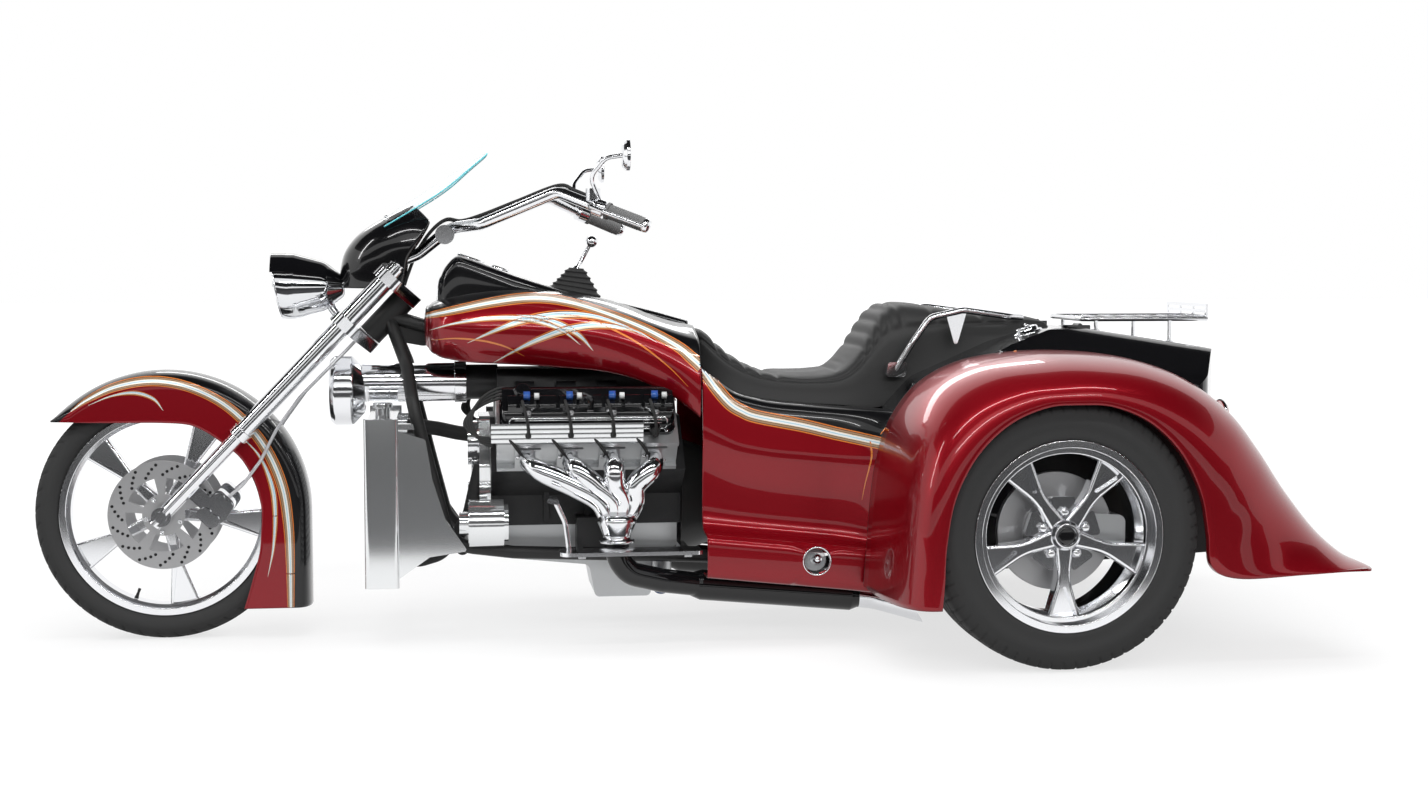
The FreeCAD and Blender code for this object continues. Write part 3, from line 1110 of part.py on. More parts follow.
def rear_body():
    """Boot tub between the fenders: rising front deck, lid opening, boot floor and rear panel."""
    half = FENDER_INNER_Y
    lid_rear = LID_AHEAD + LID_LENGTH
    outer = deck_blank(0)
    inner = deck_blank(SHELL)
    under = box(BODY_REAR + SHELL, BULKHEAD - SHELL, -half + SHELL, half - SHELL, 400, 440 + SHELL)
    wall = box(BULKHEAD - SHELL, BULKHEAD, -half, half, 440, 900).common(outer)
    opening = box(LID_AHEAD, lid_rear, -LID_Y, LID_Y, 700, 900)
    passage = box(BODY_REAR - 5, BODY_REAR + 20, -235, 235, 400, 590)
    tub = outer.cut(fuse([inner, under])).fuse(wall).cut(fuse([opening, passage]))
    lid_skin = outer.cut(inner).common(box(LID_AHEAD + LID_GAP, lid_rear - LID_GAP, -LID_Y + LID_GAP,
                                           LID_Y - LID_GAP, 700, 900))
    hinges, leaves = [], []
    axis_z = DECK_Z + 7
    for y in (-200, 200):
        for offset in (-18, 18):
            hinges.append(rod(V(LID_AHEAD, y + offset - 7, axis_z), V(LID_AHEAD, y + offset + 7, axis_z), 6))
            hinges.append(box(LID_AHEAD - 34, LID_AHEAD, y + offset - 7, y + offset + 7, DECK_Z - 4, axis_z))
        hinges.append(rod(V(LID_AHEAD, y - 20, axis_z), V(LID_AHEAD, y + 20, axis_z), PIN_R))
        leaf = fuse([rod(V(LID_AHEAD, y - 10, axis_z), V(LID_AHEAD, y + 10, axis_z), 6),
                     box(LID_AHEAD, LID_AHEAD + 34, y - 10, y + 10, DECK_Z - 6, axis_z)])
        leaves.append(leaf.cut(rod(V(LID_AHEAD, y - 11, axis_z), V(LID_AHEAD, y + 11, axis_z), PIN_R + 0.1)))
    plate = prism_x([(-92, 480, 8), (92, 480, 8), (92, 590, 8), (-92, 590, 8)], PLATE_X, PLATE_X + PLATE_T)
    arm = box(PLATE_X - 40, PLATE_X + 1, -40, 40, 500, 560)
    holes = [rod(V(PLATE_X - 56, y, 560), V(PLATE_X + 10, y, 560), 3.5) for y in (-73.0, 73.0)]
    tub = fuse([tub] + hinges + [plate, arm.cut(inner)]).cut(Part.makeCompound(holes))
    node("rear_body", [tub], REAR)
    node("trunk_lid", [fuse([lid_skin] + leaves)], REAR)
    lamps = [ring([(-120, 0, 0), (-120, 42, 0), (-58, 42, 0), (-50, 34, 6), (-50, 0, 0)], V(TAIL_X, y, 600), X_AXIS).cut(outer)
             for y in (-330, 330)]
    node("tail_lamps", lamps, REAR)


# distance from the middle plane, drop of the section there
FENDER_STATIONS = ((424, 14), (560, 0), (740, 0), (795, 14), (826, 42), (838, 80))


def fender_section(y, drop, low):
    """Side outline of the pontoon at one distance from the middle plane."""
    corners = [(-440 + 1.5 * drop, 165 - low, 0), (-412 + 1.3 * drop, 540 - 0.2 * drop, 110),
               (-335 + 0.8 * drop, 704 - 0.8 * drop, 90), (-165 + 0.2 * drop, 778 - drop, 170),
               (75, 788 - drop, 200), (320 - 0.1 * drop, 757 - drop, 130),
               (485 - 0.5 * drop, 640 - 0.8 * drop, 120), (650 - 0.6 * drop, 405 - 0.6 * drop, 180),
               (804 - 0.5 * drop, 252 - low, 0), (410, 226 - low, 0), (-220, 172 - low, 0)]
    return rounded_wire(corners, lambda p: V(p.x, -y, p.y))


def fender_blank(inset):
    """Loft of the pontoon's sections; the inset one runs lower, so that it opens the underside."""
    inner, outer = FENDER_INNER_Y, FENDER_Y
    share = (outer - inner - 2 * inset) / (outer - inner)
    sections = []
    for y, drop in FENDER_STATIONS:
        sections.append(fender_section(inner + inset + (y - inner) * share, drop + inset, 10 * inset))
    return Part.makeLoft(sections, True, True)


def fenders():
    """Open-bottomed pontoon over each rear wheel, flared into a tail behind it."""
    hub = V(15, 0, REAR_TYRE_R - ARCH_OVERLAP)
    arch = rod(V(hub.x, -REAR_WHEEL_Y, hub.z), V(hub.x, -FENDER_Y - 5, hub.z), ARCH_R)
    below = box(hub.x - ARCH_R, hub.x + ARCH_R, -FENDER_Y - 5, -FENDER_INNER_Y + 5, 0, hub.z)
    axle = box(-60, 60, -FENDER_INNER_Y - 20, -FENDER_INNER_Y + 5, 0, REAR_TYRE_R + HOUSING_R + 40)
    shape = fender_blank(0).cut(fender_blank(SHELL)).cut(fuse([arch, below, axle]))
    shape = largest(shape)
    node("fender_left", [shape], REAR)
    node("fender_right", [mirrored(shape)], REAR)


def rack():
    """Slatted rack on four posts, with an upright slatted plate at its rear."""
    parts = []
    top = DECK_Z + RACK_HEIGHT
    front, rear, half = 240, LID_AHEAD + LID_LENGTH + 50, 150
    for s in (-1, 1):
        parts.append(pipe([V(front, s * (half - 40), top - 4), V(front + 4, s * half, top - 4),
                           V(rear, s * half, top - 4)], 7, 30))
        for x in (front + 40, rear - 110):
            foot = DECK_Z - (x - LID_AHEAD) * DECK_FALL
            parts.append(rod(V(x, s * half, foot - 3), V(x, s * half, top - 4), 6))
            parts.append(rod(V(x, s * half, foot - 3), V(x, s * half, foot + 5), 13))
    parts.append(rod(V(front, -half + 40, top - 4), V(front, half - 40, top - 4), 7))
    for index in range(7):
        x = front + 12 + index * 54
        parts.append(box(x - 10, x + 10, -half, half, top - 4, top))
    for z in (0, 16, 32):
        parts.append(box(rear - 5, rear, -half, half, top - 4 + z, top + 6 + z))
    for y in (-half, -half / 3, half / 3, half):
        parts.append(box(rear - 5, rear, y - 6, y + 6, top - 4, top + 38))
    node("luggage_rack", [fuse(parts)], REAR)


# each sub-part and those whose faces it is trimmed to
SEATS = (
    ("intake_manifold", ("engine_block", "cylinder_heads", "valve_covers")),
    ("valve_covers", ("cylinder_heads",)),
    ("coil_rails", ("valve_covers",)),
    ("exhaust_headers", ("cylinder_heads", "engine_block")),
    ("exhaust_system", ("exhaust_headers",)),
    ("accessory_drive", ("engine_block",)),
    ("air_intake", ("intake_manifold",)),
    ("radiator_hoses", ("accessory_drive", "radiator", "intake_manifold", "frame")),
    ("handlebar", ("fork_trees",)),
    ("grips", ("handlebar",)),
    ("headlight_shell", ("fork_trees", "fork_cowl")),
    ("brake_hoses", ("fork_trees", "fork_legs")),
    ("floorboards", ("frame",)),
    ("shifter", ("console",)),
    ("luggage_rack", ("trunk_lid",)),
    ("frame", ("driveline",)),
    ("engine_block", ("frame",)),
    ("radiator", ("frame",)),
    ("front_fender", ("fork_legs",)),
    ("rear_suspension", ("driveline", "frame")),
    ("oil_pan", ("frame", "engine_block")),
    ("rear_body", ("frame",)),
    ("grab_rails", ("seat", "rear_body")),
    ("fuel_cap", ("rear_body",)),
    ("mirrors", ("handlebar",)),
)


def build():
    front_wheel()
    rear_wheels()
    fork()
    front_fender()
    headlight()
    cowl_and_screen()
    handlebar()
    frame()
    engine()
    node("exhaust_headers", [header(-1), header(1)], BAY)
    node("exhaust_system", [exhaust(-1), exhaust(1)], BAY)
    sump()
    intake()
    accessory_drive()
    driveline()
    suspension()
    radiator()
    tank()
    console()
    body_tub()
    floorboards()
    seat()
    rear_body()
    fenders()
    rack()
    for name, others in SEATS:
        seated(name, others)
    for name, shape in NODES.items():
        shape.exportStep(os.path.join("parts", name + ".step"))
        print(name, len(shape.Solids), shape.isValid(), round(shape.Volume / 1e6, 2))


build()
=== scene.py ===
"""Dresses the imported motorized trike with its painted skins, tyres, seat, finishes, lights and camera."""

import json
import logging
import math
from dataclasses import dataclass, replace
from enum import Enum
from typing import Optional, Sequence

import bmesh
import bpy
import numpy as np
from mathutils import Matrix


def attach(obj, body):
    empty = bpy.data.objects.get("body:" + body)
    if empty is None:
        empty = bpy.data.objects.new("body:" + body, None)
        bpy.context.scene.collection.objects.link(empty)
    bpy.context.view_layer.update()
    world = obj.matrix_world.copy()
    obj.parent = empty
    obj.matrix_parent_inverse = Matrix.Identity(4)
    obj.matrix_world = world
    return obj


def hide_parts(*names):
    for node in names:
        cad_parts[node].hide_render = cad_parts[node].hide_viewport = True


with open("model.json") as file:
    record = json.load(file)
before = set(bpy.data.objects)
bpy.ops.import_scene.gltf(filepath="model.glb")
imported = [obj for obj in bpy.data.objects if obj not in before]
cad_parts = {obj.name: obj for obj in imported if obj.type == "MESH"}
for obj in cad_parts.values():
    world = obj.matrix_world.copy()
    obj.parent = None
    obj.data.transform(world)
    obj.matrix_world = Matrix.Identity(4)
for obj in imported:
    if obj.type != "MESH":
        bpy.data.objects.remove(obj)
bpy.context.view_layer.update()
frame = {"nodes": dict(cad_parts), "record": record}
LOG = logging.getLogger("trike")
MM = 0.001
TAU = 2.0 * math.pi
SIDES = ((-1, "left"), (1, "right"))


# ---------------------------------------------------------------- curves and surfaces
def joint_point(name: str) -> np.ndarray:
    """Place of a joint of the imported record, in metres.

    Args:
        name: the joint's name.
    Returns:
        Its x, y and z.
    """
    joints = frame["record"]["behaviour"]["joints"]
    return np.array(next(j["pos_m"] for j in joints if j["name"] == name), float)


# all in millimetres: rear axle, front hub, the head that the fork turns about, and the front of the
# engine on the crank's line, which the engine, tank, console and radiator are measured from
AXLE_X = joint_point("rear_wheel_left_spin")[0] / MM
FRONT_HUB = joint_point("front_wheel_spin") / MM
HEAD = np.round(joint_point("steering") / MM, 3)
BAY = np.array([-500.0, 0.0, 365.0])
# distance of each exhaust port behind the front of the engine
PORTS = (95.0, 206.8, 318.6, 430.4)


def smooth(points: Sequence[Sequence[float]], count: int) -> np.ndarray:
    """Points on a curve that passes through the given ones.

    Between two points the curve is the cubic that leaves each along the line through its neighbours
    (Catmull-Rom), and the samples are spread evenly over its length.

    Args:
        points: the points to pass through, any number of columns.
        count: how many samples to return.
    Returns:
        An array of count rows.
    """
    p = np.asarray(points, float)
    ghost = np.vstack([2 * p[0] - p[1], p, 2 * p[-1] - p[-2]])
    fine = np.linspace(0, len(p) - 1, 40 * (len(p) - 1) + 1)
    k = np.minimum(fine.astype(int), len(p) - 2)
    t = (fine - k)[:, None]
    a, b, c, d = ghost[k], ghost[k + 1], ghost[k + 2], ghost[k + 3]
    curve = 0.5 * (2 * b + (c - a) * t + (2 * a - 5 * b + 4 * c - d) * t**2 + (3 * b - a - 3 * c + d) * t**3)
    run = np.concatenate([[0], np.cumsum(np.linalg.norm(np.diff(curve, axis=0), axis=1))])
    even = np.linspace(0, run[-1], count)
    return np.stack([np.interp(even, run, column) for column in curve.T], axis=1)


def through(xs: Sequence[float], table: Sequence[Sequence[float]]) -> np.ndarray:
    """Smooth table lookup: the first column of the table is the key, and the others are blended by cubics.

    Args:
        xs: the keys to look up.
        table: rows of key and values, keys rising.
    Returns:
        An array with one row per key and one column per value.
    """
    rows = np.asarray(table, float)
    keys, values = rows[:, 0], rows[:, 1:]
    slope = np.gradient(values, keys, axis=0)
    xs = np.clip(np.asarray(xs, float), keys[0], keys[-1])
    k = np.clip(np.searchsorted(keys, xs, side="right") - 1, 0, len(keys) - 2)
    gap = (keys[k + 1] - keys[k])
    t = ((xs - keys[k]) / gap)[:, None]
    gap = gap[:, None]
    return ((2 * t**3 - 3 * t**2 + 1) * values[k] + (t**3 - 2 * t**2 + t) * gap * slope[k]
            + (3 * t**2 - 2 * t**3) * values[k + 1] + (t**3 - t**2) * gap * slope[k + 1])


def ease(x: np.ndarray, low: float, high: float) -> np.ndarray:
    """Smooth S: 0 below low, 1 above high, and three times the square less twice the cube between.

    Args:
        x: the values.
        low: where it starts.
        high: where it ends; below low it falls instead.
    Returns:
        A value from 0 to 1 for each.
    """
    t = np.clip((x - low) / (high - low), 0.0, 1.0)
    return t * t * (3 - 2 * t)


def new_object(name: str, verts: np.ndarray, quads: np.ndarray, uv: Optional[np.ndarray] = None,
               weld: float = 2e-6, recalc: bool = False) -> bpy.types.Object:
    """Makes a mesh object from whole arrays, welds its seams and poles, and shades it smooth.

    Args:
        name: the object's name.
        verts: vertex places, in metres.
        quads: vertex indices, one row of four per face.
        uv: u and v for each vertex, or None.
        weld: distance under which vertices are merged.
        recalc: turns all faces outward.
    Returns:
        The object, linked to the scene.
    """
    mesh = bpy.data.meshes.new(name)
    mesh.vertices.add(len(verts))
    mesh.vertices.foreach_set("co", np.ascontiguousarray(verts, dtype=np.float32).ravel())
    mesh.loops.add(quads.size)
    mesh.loops.foreach_set("vertex_index", np.ascontiguousarray(quads, dtype=np.int32).ravel())
    mesh.polygons.add(len(quads))
    mesh.polygons.foreach_set("loop_start", np.arange(0, quads.size, quads.shape[1], dtype=np.int32))
    mesh.update(calc_edges=True)
    if uv is not None:
        layer = mesh.uv_layers.new(name="UVMap")
        layer.data.foreach_set("uv", np.ascontiguousarray(uv[quads.ravel()], dtype=np.float32).ravel())
    work = bmesh.new()
    work.from_mesh(mesh)
    bmesh.ops.remove_doubles(work, verts=work.verts, dist=weld)
    bmesh.ops.dissolve_degenerate(work, edges=work.edges, dist=weld / 2)
    if recalc:
        bmesh.ops.recalc_face_normals(work, faces=work.faces)
    work.to_mesh(mesh)
    work.free()
    mesh.validate()
    mesh.polygons.foreach_set("use_smooth", np.ones(len(mesh.polygons), dtype=bool))
    mesh.update()
    made = bpy.data.objects.new(name, mesh)
    bpy.context.scene.collection.objects.link(made)
    return made


def grid_faces(rows: int, columns: int, wrap: tuple[bool, bool] = (False, False),
               keep: Optional[np.ndarray] = None) -> np.ndarray:
    """Vertex indices of the quads of a grid.

    Args:
        rows: number of points along the first parameter.
        columns: number of points along the second.
        wrap: whether each parameter closes on itself.
        keep: which quads to keep, or None for all.
    Returns:
        One row of four indices per face.
    """
    index = np.arange(rows * columns).reshape(rows, columns)
    if wrap[0]:
        index = np.vstack([index, index[:1]])
    if wrap[1]:
        index = np.hstack([index, index[:, :1]])
    quads = np.stack([index[:-1, :-1], index[1:, :-1], index[1:, 1:], index[:-1, 1:]], axis=-1)
    return quads[keep] if keep is not None else quads.reshape(-1, 4)


def surface(name: str, points: np.ndarray, wrap: tuple[bool, bool] = (False, False), flip: bool = False,
            keep: Optional[np.ndarray] = None, recalc: bool = False) -> bpy.types.Object:
    """Skin over a grid of points, with a UV map that follows the two parameters.

    Args:
        name: the object's name.
        points: places in metres, shape (rows, columns, 3).
        wrap: whether each parameter closes on itself.
        flip: turns the faces round.
        keep: which quads to keep, or None for all.
        recalc: turns the faces of a closed skin outward.
    Returns:
        The object.
    """
    rows, columns = points.shape[:2]
    quads = grid_faces(rows, columns, wrap, keep)
    if flip:
        quads = quads[:, ::-1]
    u, v = np.meshgrid(np.linspace(0, 1, rows), np.linspace(0, 1, columns), indexing="ij")
    return new_object(name, points.reshape(-1, 3), quads, np.stack([u.ravel(), v.ravel()], axis=1),
                      recalc=recalc)


def frames_along(path: np.ndarray) -> tuple[np.ndarray, np.ndarray]:
    """Two unit vectors across a path at each of its points.

    The first is the cross product of the path's direction and a fixed vector that the path never runs
    along, and the second is square to both.

    Args:
        path: points in order.
    Returns:
        Both vectors for every point.
    """
    ahead = np.gradient(path, axis=0)
    ahead /= np.linalg.norm(ahead, axis=1, keepdims=True)
    fixed = np.eye(3)[int(np.argmin(np.abs(ahead).max(axis=0)))]
    side = np.cross(ahead, fixed)
    side /= np.linalg.norm(side, axis=1, keepdims=True)
    return side, np.cross(side, ahead)


def tube(name: str, points: Sequence[Sequence[float]], radius: float, count: int,
         sides: int) -> bpy.types.Object:
    """Closed round tube along a smooth path: each ring is the circle of the radius square to the path.

    Args:
        name: the object's name.
        points: points that the path passes through, in metres.
        radius: the tube's radius.
        count: rings along the path.
        sides: points round each ring.
    Returns:
        The object.
    """
    path = smooth(points, count)
    side, up = frames_along(path)
    turn = np.linspace(0, TAU, sides, endpoint=False)
    spread = np.cos(turn)[None, :, None] * side[:, None, :] + np.sin(turn)[None, :, None] * up[:, None, :]
    rings = path[:, None, :] + radius * spread
    ends = np.repeat(path[[0, -1], None, :], sides, axis=1)
    return surface(name, np.concatenate([ends[:1], rings, ends[1:]]), (False, True), recalc=True)


def turned(name: str, profile: Sequence[Sequence[float]], centre: Sequence[float], axis: Sequence[float],
           count: int = 64) -> bpy.types.Object:
    """Closed surface of revolution: the profile of distance along the axis and radius, swept round the axis.

    Args:
        name: the object's name.
        profile: rows of distance along the axis and radius, in metres.
        centre: point on the axis that distances are measured from.
        axis: direction of the axis.
        count: points round the axis.
    Returns:
        The object.
    """
    rows = np.asarray(profile, float)
    along = np.asarray(axis, float) / np.linalg.norm(axis)
    side = np.cross(along, np.eye(3)[int(np.argmin(np.abs(along)))])
    side /= np.linalg.norm(side)
    up = np.cross(along, side)
    turn = np.linspace(0, TAU, count, endpoint=False)
    spoke = np.cos(turn)[:, None] * side + np.sin(turn)[:, None] * up
    points = np.asarray(centre, float) + rows[:, None, :1] * along + rows[:, None, 1:] * spoke
    return surface(name, points, (False, True), recalc=True)


def stamped(name: str, template: tuple[np.ndarray, np.ndarray], spots: np.ndarray,
            axes: Sequence[float], sizes: float) -> bpy.types.Object:
    """Many copies of one small closed form in a single mesh.

    Each copy's points are its spot plus the template's x and y across the copy's axis and z along it,
    times the copy's size.

    Args:
        name: the object's name.
        template: vertices and quads of the form, its axis along z.
        spots: places, one row each.
        axes: directions, one row each or one for all.
        sizes: scale of each copy, or one for all.
    Returns:
        The object.
    """
    verts, quads = template
    spots = np.atleast_2d(spots).astype(float)
    axes = np.broadcast_to(np.atleast_2d(axes).astype(float), (len(spots), 3))
    axes = axes / np.linalg.norm(axes, axis=1, keepdims=True)
    fixed = np.where(np.abs(axes[:, 2:3]) < 0.9, [[0.0, 0.0, 1.0]], [[1.0, 0.0, 0.0]])
    side = np.cross(axes, fixed)
    side /= np.linalg.norm(side, axis=1, keepdims=True)
    basis = np.stack([side, np.cross(axes, side), axes], axis=1)
    sizes = np.broadcast_to(np.asarray(sizes, float), (len(spots),))
    points = spots[:, None, :] + sizes[:, None, None] * np.einsum("vk,nkj->nvj", verts, basis)
    faces = (quads[None] + (np.arange(len(spots)) * len(verts))[:, None, None]).reshape(-1, quads.shape[1])
    return new_object(name, points.reshape(-1, 3), faces, weld=1e-7, recalc=True)


def lathe_template(profile: Sequence[Sequence[float]], sides: int) -> tuple[np.ndarray, np.ndarray]:
    """Vertices and quads of a small turned form for stamping: rings of the profile's radius at its height.

    Args:
        profile: rows of height and radius.
        sides: corners round it; 6 gives a hexagon head.
    Returns:
        Vertices and quads.
    """
    rows = np.asarray(profile, float)
    turn = np.linspace(0, TAU, sides, endpoint=False)
    ring = np.stack([np.cos(turn), np.sin(turn)], axis=1)
    points = np.concatenate([rows[:, 1][:, None, None] * ring[None],
                             np.broadcast_to(rows[:, 0][:, None, None], (len(rows), sides, 1))], axis=2)
    return points.reshape(-1, 3), grid_faces(len(rows), sides, (False, True))


def mirrored(source: bpy.types.Object, name: str) -> bpy.types.Object:
    """Copy of a finished piece on the other side of the middle plane, its faces turned to point outward.

    Args:
        source: the piece.
        name: the copy's name.
    Returns:
        The copy, at the origin.
    """
    mesh = source.data.copy()
    places = np.empty(len(mesh.vertices) * 3, np.float32)
    mesh.vertices.foreach_get("co", places)
    places = places.reshape(-1, 3) * np.array([1, -1, 1], np.float32)
    mesh.vertices.foreach_set("co", places.ravel())
    mesh.flip_normals()
    mesh.update()
    made = bpy.data.objects.new(name, mesh)
    bpy.context.scene.collection.objects.link(made)
    return made


def joined(name: str, parts: Sequence[bpy.types.Object]) -> bpy.types.Object:
    """One object from several, with their materials kept.

    Args:
        name: the new object's name.
        parts: the objects, all at the origin.
    Returns:
        The object; the parts are gone.
    """
    work = bmesh.new()
    slots: list[bpy.types.Material] = []
    numbers = []
    for part in parts:
        work.from_mesh(part.data)
        slots += [material for material in part.data.materials if material not in slots]
        own = np.zeros(len(part.data.polygons), np.int32)
        part.data.polygons.foreach_get("material_index", own)
        numbers.append(np.array([slots.index(material) for material in part.data.materials] or [0])[own])
    mesh = bpy.data.meshes.new(name)
    work.to_mesh(mesh)
    work.free()
    for material in slots:
        mesh.materials.append(material)
    mesh.polygons.foreach_set("material_index", np.concatenate(numbers).astype(np.int32))
    for part in parts:
        old = part.data
        bpy.data.objects.remove(part)
        bpy.data.meshes.remove(old)
    made = bpy.data.objects.new(name, mesh)
    bpy.context.scene.collection.objects.link(made)
    return made


def baked(piece: bpy.types.Object) -> bpy.types.Object:
    """Turns a piece's modifiers into its own mesh, so that none is left on it.

    Args:
        piece: the piece.
    Returns:
        The same piece.
    """
    graph = bpy.context.evaluated_depsgraph_get()
    mesh = bpy.data.meshes.new_from_object(piece.evaluated_get(graph), depsgraph=graph)
    piece.modifiers.clear()
    piece.data = mesh
    return piece


def walled(piece: bpy.types.Object, thickness: float) -> bpy.types.Object:
    """Gives an open skin its wall.

    Args:
        piece: the skin.
        thickness: the wall's thickness in metres, against the faces' direction, or along it if negative.
    Returns:
        The same piece, closed.
    """
    wall = piece.modifiers.new("wall", "SOLIDIFY")
    wall.thickness = thickness
    wall.offset = -1.0
    wall.use_even_offset = False
    return baked(piece)


def coloured(piece: bpy.types.Object, finish: "Finish") -> bpy.types.Object:
    """Gives a part its own finish before it is joined to others.

    Args:
        piece: the part.
        finish: its finish.
    Returns:
        The same part.
    """
    piece.data.materials.append(finish.material())
    return piece


def half_section(rows: Sequence[Sequence[np.ndarray]], count: int) -> np.ndarray:
    """Sections across the middle plane: a smooth curve through the rows on one side, and its mirror image.

    Args:
        rows: from the middle outward, the distance across and the height at every station.
        count: points on each half.
    Returns:
        Distance across and height, shape (2 count - 1, stations, 2).
    """
    section = np.stack([np.stack(row, axis=1) for row in rows])
    half = smooth(section.reshape(len(rows), -1), count).reshape(count, -1, 2)
    return np.concatenate([half[::-1] * [-1, 1], half[1:]])


def place(piece: bpy.types.Object, body: str, finish: Optional["Finish"],
          stands_for: Sequence[str] = ()) -> bpy.types.Object:
    """Gives a finished piece its finish and its body, and hides the CAD nodes that it stands for.

    Args:
        piece: the object.
        body: the body that it rides on.
        finish: its finish; None keeps what it has.
        stands_for: CAD nodes that it replaces.
    Returns:
        The piece.
    """
    if finish is not None:
        piece.data.materials.clear()
        piece.data.materials.append(finish.material())
    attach(piece, body)
    if stands_for:
        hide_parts(*stands_for)
    LOG.info("%s: %d faces on %s", piece.name, len(piece.data.polygons), body)
    return piece


# ---------------------------------------------------------------- finishes
class Graph:
    """Short-hand for building a node tree."""

    def __init__(self, tree: bpy.types.NodeTree) -> None:
        """Keeps the tree and empties it.

        Args:
            tree: the node tree to build in.
        """
        self.tree = tree
        tree.nodes.clear()

    def add(self, kind: str, inputs: Optional[dict] = None, **settings: object) -> bpy.types.Node:
        """Adds a node.

        Args:
            kind: node type without its ShaderNode prefix.
            inputs: value or output socket for each input, by name or number.
            settings: attributes of the node.
        Returns:
            The node.
        """
        made = self.tree.nodes.new(kind if kind.startswith("Node") else "ShaderNode" + kind)
        for key, value in settings.items():
            setattr(made, key, value)
        for key, value in (inputs or {}).items():
            if isinstance(value, bpy.types.NodeSocket):
                self.tree.links.new(value, made.inputs[key])
            else:
                made.inputs[key].default_value = value
        return made

    def math(self, operation: str, *values: object) -> bpy.types.NodeSocket:
        """Math node.

        Args:
            operation: what it does.
            values: numbers or sockets.
        Returns:
            Its output socket.
        """
        return self.add("Math", dict(enumerate(values)), operation=operation).outputs[0]

    def ramp(self, value: object, stops: Sequence[tuple[float, Sequence[float]]],
             mode: str = "LINEAR") -> bpy.types.NodeSocket:
        """Colour ramp.

        Args:
            value: the socket that drives it.
            stops: place and colour of each stop.
            mode: interpolation between stops.
        Returns:
            The colour socket.
        """
        made = self.add("ValToRGB", {0: value})
        made.color_ramp.interpolation = mode
        while len(made.color_ramp.elements) < len(stops):
            made.color_ramp.elements.new(0.5)
        for element, (spot, colour) in zip(made.color_ramp.elements, stops):
            element.position = spot
            element.color = (*colour, 1.0)
        return made.outputs[0]

    def mix(self, factor: object, first: object, second: object, blend: str = "MIX") -> bpy.types.NodeSocket:
        """Colour mix.

        Args:
            factor: share of the second.
            first: a colour or socket.
            second: a colour or socket.
            blend: how they are mixed.
        Returns:
            The colour socket.
        """
        made = self.add("Mix", {0: factor}, data_type="RGBA", blend_type=blend)
        for index, value in ((6, first), (7, second)):
            if isinstance(value, bpy.types.NodeSocket):
                self.tree.links.new(value, made.inputs[index])
            else:
                made.inputs[index].default_value = (*value, 1.0)
        return made.outputs[2]

    def seen(self) -> bpy.types.NodeSocket:
        """Mask that is 1 for what the camera sees, straight, through glass or mirrored in metal.

        Returns:
            The mask's socket.
        """
        path = self.add("LightPath").outputs
        straight = self.math("MAXIMUM", path["Is Camera Ray"], path["Is Transmission Ray"])
        return self.math("MAXIMUM", straight, path["Is Glossy Ray"])


class Skin(Enum):
    """Shared surface effects, each a node group."""

    PEEL = "paint_peel"
    CAST = "cast_skin"
    BRUSHED = "brushed_lines"
    GRAIN = "leather_grain"
    RUBBER = "moulded_rubber"
    SMUDGE = "polish_haze"


